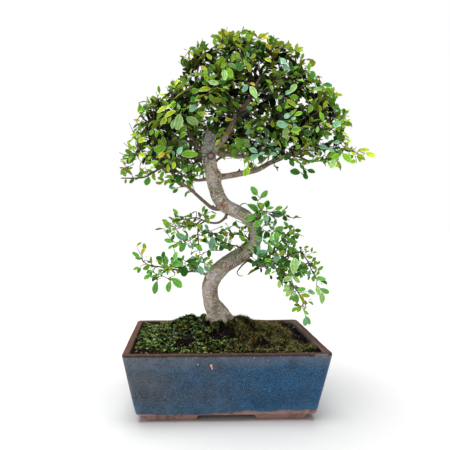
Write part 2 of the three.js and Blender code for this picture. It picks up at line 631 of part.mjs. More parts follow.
function isBare(point) {
  const bearing = Math.atan2(point.y, point.x) * 180 / Math.PI;
  return BARE_BEARINGS.some(([from, to]) => bearing > from && bearing < to);
}

// The moss lies on the soil's own cells, from the ring round the trunk out to the wall, or to one
// ring short of it where soil lies bare
function mossGeometry(heap) {
  const random = randomFrom(MOSS_SEED + 1);
  const count = heap[0].length;
  const lastRing = heap[0].map((_, i) => (isBare(heap.at(-1)[i]) ? MOSS_RINGS - 2 : MOSS_RINGS - 1));
  const positions = [];
  heap.slice(0, MOSS_RINGS).forEach((ring, k) => ring.forEach((point, i) => {
    const atEdge = k === 0 || k >= lastRing[i];
    const lump = MOSS_THICKNESS + MOSS_LUMPS * (2 * random() - 1);
    positions.push(point.x, point.y, point.z + FIT + (atEdge ? MOSS_EDGE : lump));
    positions.push(point.x, point.y, point.z + FIT);
  }));
  const topOf = (i, k) => 2 * (k * count + i);
  const triangles = [];
  const edges = new Map();
  const cover = (a, b, c) => {
    triangles.push(a, b, c, a + 1, c + 1, b + 1);
    [[a, b], [b, c], [c, a]].forEach(([from, to]) => {
      if (!edges.delete(`${to} ${from}`)) {
        edges.set(`${from} ${to}`, [from, to]);
      }
    });
  };
  for (let i = 0; i < count; i += 1) {
    const j = (i + 1) % count;
    const reach = Math.min(lastRing[i], lastRing[j]);
    for (let k = 0; k < reach; k += 1) {
      cover(topOf(i, k), topOf(i, k + 1), topOf(j, k));
      cover(topOf(i, k + 1), topOf(j, k + 1), topOf(j, k));
    }
  }
  edges.forEach(([from, to]) => {
    triangles.push(from + 1, to + 1, to, from + 1, to, from);
  });
  const carpet = solidOf(skin(positions, triangles));
  return geometryOf(largest(carpet.subtract(rootFlare(2 * FIT))));
}

function largest(solid) {
  return solid.decompose().sort((a, b) => b.volume() - a.volume())[0];
}

// The lobed foot of the trunk and its surface roots. grow makes the hole that they stand in.
function rootFlare(grow) {
  const rings = FLARE_RINGS.map(([z, radius], k) => {
    const drop = k === 0 ? grow : 0;
    return Array.from({ length: FLARE_SIDES }, (_, side) => {
      const angle = side / FLARE_SIDES * 2 * Math.PI;
      const reach = radius * (1 + FLARE_LOBE_DEPTH * Math.cos(FLARE_LOBES * angle)) + grow;
      const [x, y] = trunkMiddle(z);
      return new Vector3(x + reach * Math.cos(angle), y + reach * Math.sin(angle), z - drop);
    });
  });
  const roots = SURFACE_ROOTS.map((path) => (
    stemTube(path, taper(ROOT_RADII), ROOT_SIDES, ROOT_STEPS, grow)
  ));
  return joined([solidOf(loft(rings)), ...roots]);
}

// Where the trunk's middle line stands at a height in its foot
function trunkMiddle(z) {
  const next = TRUNK.findIndex((point) => point[2] > z);
  if (next <= 0) {
    return TRUNK[0];
  }
  const [low, high] = [TRUNK[next - 1], TRUNK[next]];
  const part = (z - low[2]) / (high[2] - low[2]);
  return [low[0] + (high[0] - low[0]) * part, low[1] + (high[1] - low[1]) * part];
}

// The radius written with each point of the trunk's middle line, read between the points
function trunkRadius(along, curve) {
  const place = curve.getUtoTmapping(along) * (TRUNK.length - 1);
  const low = Math.min(Math.floor(place), TRUNK.length - 2);
  return TRUNK[low][3] + (TRUNK[low + 1][3] - TRUNK[low][3]) * (place - low);
}

function treeSolid() {
  const trunk = stemTube(TRUNK, trunkRadius, TRUNK_SIDES, TRUNK_STEPS);
  const limbs = Object.values(LIMBS).map(({ radii, sides, path }) => (
    stemTube(path, taper(radii), sides, Math.round(path.length * STEPS_PER_POINT))
  ));
  return joined([trunk, rootFlare(0), ...limbs]);
}

// One leaf on its stalk, from its root on a twig to its tip. Its section is a shallow V: two edges
// and a keel. grow makes the room that it needs round it.
function leaf(root, tip, facing, grow = 0, stalked = true) {
  const along = tip.clone().sub(root);
  const reach = along.length();
  along.normalize();
  const across = along.clone().cross(facing).normalize();
  const top = across.clone().cross(along);
  const blade = Math.min(LEAF_LENGTH, reach * LEAF_SHARE);
  const size = blade / LEAF_LENGTH;
  const section = (distance, width, depth, lift) => {
    const rise = lift + grow + depth * KEEL_SHARE;
    const middle = root.clone().addScaledVector(along, distance).addScaledVector(top, rise);
    return [
      middle.clone().addScaledVector(across, width / 2 + grow),
      middle.clone().addScaledVector(top, -depth - 2 * grow),
      middle.clone().addScaledVector(across, -width / 2 - grow),
    ];
  };
  const stations = LEAF_STATIONS.map(({ at, width, depth, lift }) => (
    section(reach - blade * (1 - at), LEAF_WIDTH * size * width, LEAF_DEPTH * depth, LEAF_ARCH * lift)
  ));
  const stalk = stalked ? [section(0, STALK_WIDTH, STALK_DEPTH, 0)] : [];
  return solidOf(loft([
    ...stalk,
    section(reach - blade, STALK_WIDTH, STALK_DEPTH, 0),
    ...stations,
    [tip.clone().addScaledVector(along, grow)],
  ]));
}

function overlaps(solid, others) {
  const box = solid.boundingBox();
  return others.some((other) => {
    const theirs = other.box;
    const apart = [0, 1, 2].some((axis) => (
      box.min[axis] > theirs.max[axis] || box.max[axis] < theirs.min[axis]
    ));
    return !apart && !solid.intersect(other.solid).isEmpty();
  });
}

const boxed = (solid, spray) => ({ solid, spray, box: solid.boundingBox() });

// A twig that runs on into its last leaf, whose four-sided sections start on the twig's nearest edge
function twigSolid(path, steps, end, grow = 0) {
  const rings = stemRings(path, taper(TWIG_RADII), TWIG_SIDES, steps, grow);
  if (!end) {
    return solidOf(loft(rings));
  }
  const along = end.tip.clone().sub(end.root);
  const reach = along.length();
  along.normalize();
  const across = along.clone().cross(end.facing).normalize();
  const top = across.clone().cross(along);
  const size = Math.min(LEAF_LENGTH, reach * END_LEAF_SHARE) / LEAF_LENGTH;
  const spokes = [top, across, top.clone().negate(), across.clone().negate()];
  const last = rings.at(-1).map((point) => point.clone().sub(end.root).normalize());
  const twist = (turn) => last.reduce((sum, spoke, k) => sum + spoke.dot(spokes[(k + turn) % 4]), 0);
  const turn = [0, 1, 2, 3].reduce((best, next) => (twist(next) > twist(best) ? next : best));
  LEAF_STATIONS.forEach(({ at, width, depth, lift }) => {
    const middle = end.root.clone().addScaledVector(along, reach - LEAF_LENGTH * size * (1 - at));
    middle.addScaledVector(top, LEAF_ARCH * lift);
    const halfWidth = LEAF_WIDTH * size * width / 2 + grow;
    const reaches = [KEEL_SHARE * LEAF_DEPTH + grow, halfWidth, LEAF_DEPTH * depth + grow];
    rings.push(last.map((_, k) => {
      const spoke = (k + turn) % 4;
      return middle.clone().addScaledVector(spokes[spoke], reaches[spoke % 2 === 0 ? spoke : 1]);
    }));
  });
  rings.push([end.tip.clone().addScaledVector(along, grow)]);
  return solidOf(loft(rings));
}

// A spray's twig starts just clear of the limb's bark, and is bent aside where it would meet
// another piece
function placeTwig(limb, row, placed, random) {
  const points = pointsOf(row.stem);
  const root = limb.curve.getPointAt(row.at);
  const bark = limb.radiusAt(row.at, limb.curve);
  const alongLimb = limb.curve.getTangentAt(row.at);
  const outward = points[0].clone().sub(root).normalize();
  const slant = Math.sqrt(Math.max(LEAST_SLANT, 1 - outward.dot(alongLimb) ** 2));
  const clearance = row.at === 1 ? FIT : (bark + TWIG_RADII[0] * ROOT_GIRTH_SHARE) / slant + FIT;
  const steps = Math.max(2, Math.round((points.length + 1) * TWIG_STEPS_PER_POINT));
  for (let attempt = 0; attempt < MOST_TRIES; attempt += 1) {
    const start = root.clone().addScaledVector(outward, clearance + attempt % OUT_STEPS * OUT_STEP);
    const aside = new Vector3(random() - 0.5, random() - 0.5, random() - 0.5);
    aside.multiplyScalar(Math.floor(attempt / OUT_STEPS) * ASIDE_STEP);
    const bent = points.map((point, k) => (
      point.clone().addScaledVector(aside, (k + 1) / points.length)
    ));
    const path = [start, ...bent].map((point) => point.toArray());
    const curve = smoothCurve(path);
    const room = row.at === 1 ? 0 : TWIG_CLEARANCE;
    if (!overlaps(twigSolid(path, steps, null, room), placed)) {
      const end = lastLeaf(curve, pointsOf(row.tips), (leafEnd) => (
        !overlaps(twigSolid(path, steps, leafEnd, room), placed)
      ), random);
      return { solid: twigSolid(path, steps, end), line: straightened(curve, steps), end };
    }
  }
  throw new Error(`no clear place for a twig at ${row.stem[0]}`);
}

// The middle line of a twig as built: straight from ring to ring
function straightened(curve, steps) {
  const places = Array.from({ length: steps + 1 }, (_, step) => curve.getPointAt(step / steps));
  return new THREE.CatmullRomCurve3(places, false, 'catmullrom', 0);
}

// The leaf that a twig runs on into: to the tip that lies best ahead of its end
function lastLeaf(curve, tips, isClear, random) {
  const root = curve.getPointAt(1);
  const ahead = curve.getTangentAt(1);
  const worth = (tip) => {
    const reach = tip.clone().sub(root);
    return reach.clone().normalize().dot(ahead) - Math.abs(reach.length() - LEAF_LENGTH) / LEAF_LENGTH;
  };
  const chosen = tips.reduce((best, tip, k) => (worth(tip) > worth(tips[best]) ? k : best), 0);
  const reach = tips[chosen].clone().sub(root);
  reach.setLength(Math.max(reach.length(), LEAST_REACH));
  const facing = facingAt(tips[chosen], random);
  const side = reach.clone().cross(facing).normalize();
  for (const turn of TURNS) {
    for (const axis of [facing, side]) {
      const tip = root.clone().add(reach.clone().applyAxisAngle(axis, turn));
      const end = { root, tip, facing, chosen };
      if (reach.clone().normalize().dot(ahead) > LEAST_STRAIGHT && isClear(end)) {
        return end;
      }
    }
  }
  return null;
}

// The places on a twig that its leaves spring from: back from the place nearest to each tip, and
// spaced along the twig
function springingPlaces(curve, tips) {
  const length = curve.getLength();
  const wanted = tips.map((tip, k) => {
    const nearest = nearestPlace(curve, tip);
    const back = SPRING_BACK * curve.getPointAt(nearest).distanceTo(tip) / length;
    return { k, place: Math.min(nearest - back, LAST_LEAF_PLACE) };
  });
  const places = [];
  let limit = 1;
  wanted.sort((a, b) => b.place - a.place).forEach(({ k, place }) => {
    places[k] = Math.max(Math.min(place, limit), FIRST_LEAF_PLACE);
    limit = places[k] - LEAF_SPACING / length;
  });
  return places;
}

// The way a blade faces: upwards, out of the crown and a little astray
function facingAt(point, random) {
  const outward = new Vector3(point.x - CROWN_MIDDLE.x, point.y - CROWN_MIDDLE.y, 0).normalize();
  const stray = new Vector3(random() - 0.5, random() - 0.5, random() - 0.5);
  return new Vector3()
    .addScaledVector(UP, FACING.up)
    .addScaledVector(outward, FACING.outward)
    .addScaledVector(stray, FACING.stray)
    .normalize();
}

const TURNS = [0, 22, -22, 40, -40, 60, -60].map((degrees) => degrees * Math.PI / 180);

// A leaf that is clear of every other piece: turned aside, then made shorter, until it is
function placeLeaf(root, tip, others, own, random) {
  const reach = tip.clone().sub(root);
  reach.setLength(Math.max(reach.length(), LEAST_REACH));
  const facing = facingAt(tip, random);
  const axes = [facing, reach.clone().cross(facing).normalize()];
  for (const scale of [1, 0.85, 0.7]) {
    for (const turn of TURNS) {
      for (const axis of axes) {
        const turned = reach.clone().multiplyScalar(scale).applyAxisAngle(axis, turn);
        const end = root.clone().add(turned);
        const room = leaf(root, end, facing, LEAF_CLEARANCE);
        const blade = leaf(root, end, facing, OWN_CLEARANCE, false);
        if (!overlaps(room, others) && !overlaps(blade, own)) {
          return { solid: leaf(root, end, facing), blade, root, end, facing };
        }
      }
    }
  }
  return null;
}

function limbCurve(name) {
  if (!LIMBS[name]) {
    return { curve: smoothCurve(TRUNK), radiusAt: trunkRadius };
  }
  const { path, radii } = LIMBS[name];
  return { curve: smoothCurve(path), radiusAt: taper(radii) };
}

// The place on a curve that is nearest to a point
function nearestPlace(curve, point) {
  const places = Array.from({ length: PLACE_STEPS + 1 }, (_, step) => step / PLACE_STEPS);
  const distance = (place) => curve.getPointAt(place).distanceTo(point);
  return places.reduce((best, place) => (distance(place) < distance(best) ? place : best));
}

// Every spray as one solid: its twig, a leaf to each tip and a side leaf on each long stalk. All
// twigs are placed before the first leaf, so that leaves give way to twigs.
function spraySolids(tree) {
  const random = randomFrom(SPRAY_SEED);
  const placed = [boxed(tree, 'trunk')];
  const sprays = Object.entries(SPRAYS).flatMap(([name, rows]) => rows.map((row, k) => {
    const limb = limbCurve(name);
    const at = row.at ?? nearestPlace(limb.curve, pointsOf(row.stem)[0]);
    const twig = placeTwig(limb, { ...row, at }, placed, random);
    const spray = { name: `spray_${name}_${k + 1}`, limb: name, tips: row.tips, ...twig };
    placed.push(boxed(spray.solid, spray.name));
    return spray;
  }));
  return sprays.map((spray) => {
    const others = placed.filter((item) => item.spray !== spray.name);
    const grown = [spray.solid];
    const own = [];
    if (spray.end) {
      const { root, tip, facing } = spray.end;
      own.push(boxed(leaf(root, tip, facing, OWN_CLEARANCE, false), spray.name));
    }
    const add = (root, tip) => {
      const found = placeLeaf(root, tip, others, own, random);
      if (found) {
        grown.push(found.solid);
        own.push(boxed(found.blade, spray.name));
        placed.push(boxed(found.solid, spray.name));
      }
      return found;
    };
    const tips = pointsOf(spray.tips);
    const places = springingPlaces(spray.line, tips);
    tips.forEach((tip, k) => {
      if (spray.end?.chosen === k) {
        return;
      }
      const root = spray.line.getPointAt(places[k]);
      const found = add(root, tip);
      if (found && found.root.distanceTo(found.end) > SIDE_LEAF_FROM) {
        const along = found.end.clone().sub(found.root);
        const side = found.root.clone().addScaledVector(along, SIDE_LEAF_PLACE);
        const swing = (k % 2 === 0 ? 1 : -1) * SIDE_LEAF_SWING;
        const reach = along.setLength(LEAF_LENGTH + SIDE_LEAF_STALK);
        reach.applyAxisAngle(found.facing, swing);
        add(side, side.clone().add(reach));
      }
    });
    return { ...spray, whole: largest(joined(grown)) };
  });
}

const plant = new THREE.Group();

function addPiece(name, geometry, finish) {
  const material = new THREE.MeshStandardMaterial({ ...finish, metalness: 0, flatShading: true });
  const mesh = new THREE.Mesh(geometry, material);
  mesh.name = name;
  plant.add(mesh);
}

const heap = heapRings();
const tree = treeSolid();

addPiece('pot', potGeometry(), GLAZE);
addPiece('drain_screen_left', screenGeometry(-DRAIN_OFFSET), SCREEN_PLASTIC);
addPiece('drain_screen_right', screenGeometry(DRAIN_OFFSET), SCREEN_PLASTIC);
addPiece('soil', soilGeometry(heap), POTTING_MIX);
addPiece('moss', mossGeometry(heap), MOSS_GREEN);
addPiece('trunk', geometryOf(tree), BARK);
spraySolids(tree).forEach(({ name, limb, whole }) => {
  addPiece(name, geometryOf(whole), LOWER_LIMBS.includes(limb) ? LOWER_LEAF : CROWN_LEAF);
});

// The origin is under the middle of the whole plant's box, at the height of the feet
const bounds = new THREE.Box3().setFromObject(plant);
const middle = bounds.getCenter(new Vector3());
plant.position.set(-middle.x, -middle.y, -bounds.min.z);

export default plant;
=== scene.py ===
"""A Chinese elm bonsai in its glazed pot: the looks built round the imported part.

The file is laid out as an add-on. Each operator makes one piece, or one group of like pieces, of
the plant. Lengths in the tables and shapes are millimetres about the middle of the pot, with z = 0
under its feet and the pot's front facing -Y. to_frame() turns them into the frame's metres.
"""

import math

import bmesh
import bpy
import numpy as np
from bpy.props import FloatProperty, FloatVectorProperty, IntProperty, PointerProperty
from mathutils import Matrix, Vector, kdtree, noise


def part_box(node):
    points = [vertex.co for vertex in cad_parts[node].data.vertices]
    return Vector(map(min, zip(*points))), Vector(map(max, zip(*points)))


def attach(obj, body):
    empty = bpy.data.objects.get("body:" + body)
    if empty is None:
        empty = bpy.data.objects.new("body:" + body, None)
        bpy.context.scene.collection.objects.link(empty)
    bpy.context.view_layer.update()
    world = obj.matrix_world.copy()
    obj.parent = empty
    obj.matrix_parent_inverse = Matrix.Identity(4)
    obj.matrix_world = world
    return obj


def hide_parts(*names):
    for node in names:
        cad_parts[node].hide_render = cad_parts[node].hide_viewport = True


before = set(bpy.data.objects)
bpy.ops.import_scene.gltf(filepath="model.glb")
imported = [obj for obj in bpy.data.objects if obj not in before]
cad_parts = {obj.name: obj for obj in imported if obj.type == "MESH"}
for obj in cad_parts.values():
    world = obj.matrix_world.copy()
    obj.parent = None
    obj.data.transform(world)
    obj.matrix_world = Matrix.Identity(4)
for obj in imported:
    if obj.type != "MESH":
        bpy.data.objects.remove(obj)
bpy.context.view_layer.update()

bl_info = {
    "name": "Chinese Elm Bonsai",
    "version": (1, 0, 0),
    "blender": (4, 5, 0),
    "location": "View3D > Sidebar > Bonsai",
    "description": "Builds a Chinese elm bonsai with its bark, leaves, moss and glazed pot",
    "category": "Add Mesh",
}

MM = 0.001

# Where the pot and the soil stand in the frame
POT_LOW, POT_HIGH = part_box("pot")
POT_MIDDLE = np.array([(POT_LOW.x + POT_HIGH.x) / 2, (POT_LOW.y + POT_HIGH.y) / 2, 0])
POT_HEIGHT = POT_HIGH.z / MM
SOIL_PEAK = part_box("soil")[1].z / MM
SCREEN_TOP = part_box("drain_screen_left")[1].z / MM

# The pot: how far its walls lean in from the rim to the foot, how far the finished rim flares
# past the plain one, its corners, floor, drain holes, walls and feet
WALL_LEAN = 11.8
RIM_FLARE = 2.2
CORNER_RADIUS = 5.5
INNER_CORNER = 4
RIM_ROUND = 1.4
FOOT_HEIGHT = 6
FLOOR_TOP = 12
FLOOR_FILLET = 3
DRAIN_OFFSET = 38
DRAIN_RADIUS = 7
WALL_THICKNESS = 7
FOOT = {"inset": 6.5, "set_back": 3.5, "long_arm": 54, "short_arm": 36, "width": 13, "draft": 2,
        "end_draft": 4, "sunk": 1}

# Half the pot's length and depth at the height of its rim, where the walls' lines would reach
RIM_LEAN = WALL_LEAN * RIM_ROUND / (POT_HEIGHT - FOOT_HEIGHT)
POT_HALF_LENGTH = (POT_HIGH.x - POT_LOW.x) / 2 / MM + RIM_FLARE + RIM_LEAN
POT_HALF_DEPTH = (POT_HIGH.y - POT_LOW.y) / 2 / MM + RIM_FLARE + RIM_LEAN

# The heap of soil: its height at the wall, its middle, reach and steepness
SOIL_EDGE = 63
HEAP_MIDDLE = (-2, 2)
HEAP_REACH = (84, 60)
SOIL_SLOPE = 1.25

# The trunk's middle line from the soil to its cut top: x, y, z and radius
TRUNK = [(-1, 2, 72, 9), (-2, 2, 83, 11.4), (-5, 1, 91, 11), (-10, 0, 99, 9.4), (-12, -1, 106, 8.2),
         (-13, -2, 115, 8.6), (-11, -3, 125, 8.9), (-7, -3, 132, 9), (0, -2, 139, 8.8), (9, 0, 145, 8.6),
         (21, 2, 152, 8.2), (30, 3, 160, 7.8), (35, 4, 168, 7.5), (36, 4, 177, 7.2), (32, 3, 186, 7),
         (24, 1, 193, 7), (14, 0, 198, 7.2), (4.5, -1, 203, 7.5), (-3, -2, 211, 7.6), (-6.5, -2, 220, 7.6),
         (-9.3, -2, 231, 7.7), (-12, -1, 242, 7.2), (-14, 0, 256, 7.4), (-14, 0, 267, 6.8),
         (-13, 0, 276, 5.8), (-12.5, 0.5, 279.5, 5)]

# The roots that show where the trunk meets the soil, with their radius at the root and the end
ROOT_RADII = (3, 1.6)
SURFACE_ROOTS = [
    [(-9, -2, 104), (-2, -5, 99), (4, -6, 93), (9, -6, 87), (12, -6, 80), (13, -6, 71)],
    [(-9, -1, 96), (-14, -4, 88), (-19, -8, 81), (-23, -10, 72)],
    [(-3, -3, 92), (-2, -6, 86), (-2, -8, 80), (-2, -8, 71)],
    [(-3, 6, 92), (2, 16, 86), (7, 24, 80), (9, 29, 71)],
]

# The limbs and bare twigs: the radius at the root and at the end, and the middle line
LIMBS = {
    "left_low": ((2.1, 1.2), [(0, -1, 200), (-10, -5, 201), (-21, -11, 209), (-28, -16, 215),
        (-35, -21, 221), (-44, -27, 227), (-53, -32, 236), (-58, -35, 241)]),
    "left_mid": ((1.9, 1.1), [(-13, 0, 259), (-21, 5, 263), (-26, 9, 267), (-33, 12, 272), (-42, 15, 276),
        (-51, 18, 281), (-61, 20, 287), (-70, 22, 291)]),
    "left_up": ((1.6, 1), [(-22, 5, 263), (-30, 6, 273), (-35, 4, 282), (-40, 0, 292), (-43, -6, 300)]),
    "left_short": ((1.3, 0.9), [(-14, 0, 254), (-22, -6, 254), (-30, -14, 251), (-37, -22, 251)]),
    "left_back": ((2, 1.1), [(-12, 0, 233), (-19, 10, 232), (-27, 20, 232), (-36, 32, 236), (-44, 44, 241)]),
    "top_left": ((1.8, 1.1), [(-13, 0, 275), (-19, 8, 287), (-26, 14, 300), (-34, 18, 314), (-38, 18, 326)]),
    "lead_up": ((2.4, 1.1), [(-12, 0, 275), (-3, 10, 283), (6, 18, 294), (9, 21, 308), (9, 22, 323),
        (8, 20, 337), (10, 16, 350)]),
    "lead_right": ((3.6, 1.4), [(-10, 0, 264), (-4, -2, 268), (1, -4, 273), (7, -8, 282), (12, -12, 292),
        (15, -14, 297), (21, -17, 303), (25, -19, 309), (28, -21, 315), (31, -22, 322), (35, -21, 329),
        (39, -20, 335)]),
    "cut_stub": ((1.7, 1.6), [(22, -18, 304), (19, -20, 304), (16, -22, 304)]),
    "right_fork": ((1.7, 1.1), [(58, -29, 251), (60, -27, 262), (62, -26, 272), (64, -25, 281)]),
    "low_fork": ((1.3, 0.8), [(52, -24, 145), (53, -26, 154), (50, -28, 160), (54, -29, 165),
        (61, -30, 173), (65, -31, 178)]),
    "right_mid": ((3, 1.3), [(-10, 0, 261), (-2, 4, 260), (10, 11, 259), (24, 18, 258), (37, 24, 259),
        (48, 29, 263), (58, 33, 271)]),
    "right_low": ((3.4, 1.8), [(-7, 0, 234), (0, -5, 234), (9, -10, 235), (22, -16, 237), (35, -21, 240),
        (44, -25, 245), (53, -28, 249), (61, -30, 253), (70, -31, 255), (78, -31, 258)]),
    "back_low": ((2, 1.1), [(-9, 0, 225), (-9, 20, 238), (-5, 42, 254), (8, 62, 265), (25, 78, 270)]),
    "back_mid": ((1.9, 1.1), [(-13, 0, 252), (-16, 20, 264), (-23, 42, 276), (-34, 62, 288)]),
    "back_up": ((2, 1.1), [(-12, 0, 271), (-8, 18, 286), (-2, 38, 304), (5, 56, 323)]),
    "low_left": ((1.7, 1), [(-10, 0, 128), (-18, -5, 132), (-28, -11, 136), (-37, -17, 136),
        (-46, -22, 138), (-53, -26, 140), (-59, -29, 141)]),
    "hanging": ((1.8, 1), [(6, 0, 199), (3, -7, 192), (0, -11, 189), (-5, -14, 186), (-13, -16, 186),
        (-20, -18, 188), (-24, -19, 190)]),
    "low_right": ((2.5, 1.3), [(22, 0, 151), (29, -7, 146), (36, -13, 143), (44, -19, 142), (52, -24, 145),
        (58, -28, 150)]),
    "snag": ((1.1, 0.6), [(-6, -2, 277), (-16, -14, 283), (-21, -20, 288), (-26, -26, 292)]),
    "cross_twig": ((1.3, 0.6), [(5, 20, 312), (-8, 16, 307), (-18, 12, 305), (-28, 8, 303)]),
    "curl": ((1.2, 0.7), [(27, -5, 147), (18, -14, 140), (14, -18, 135), (16, -20, 132), (21, -20, 132)]),
    "knee_twig": ((0.9, 0.6), [(17, 0, 202), (22, -6, 206), (28, -9, 204)]),
}

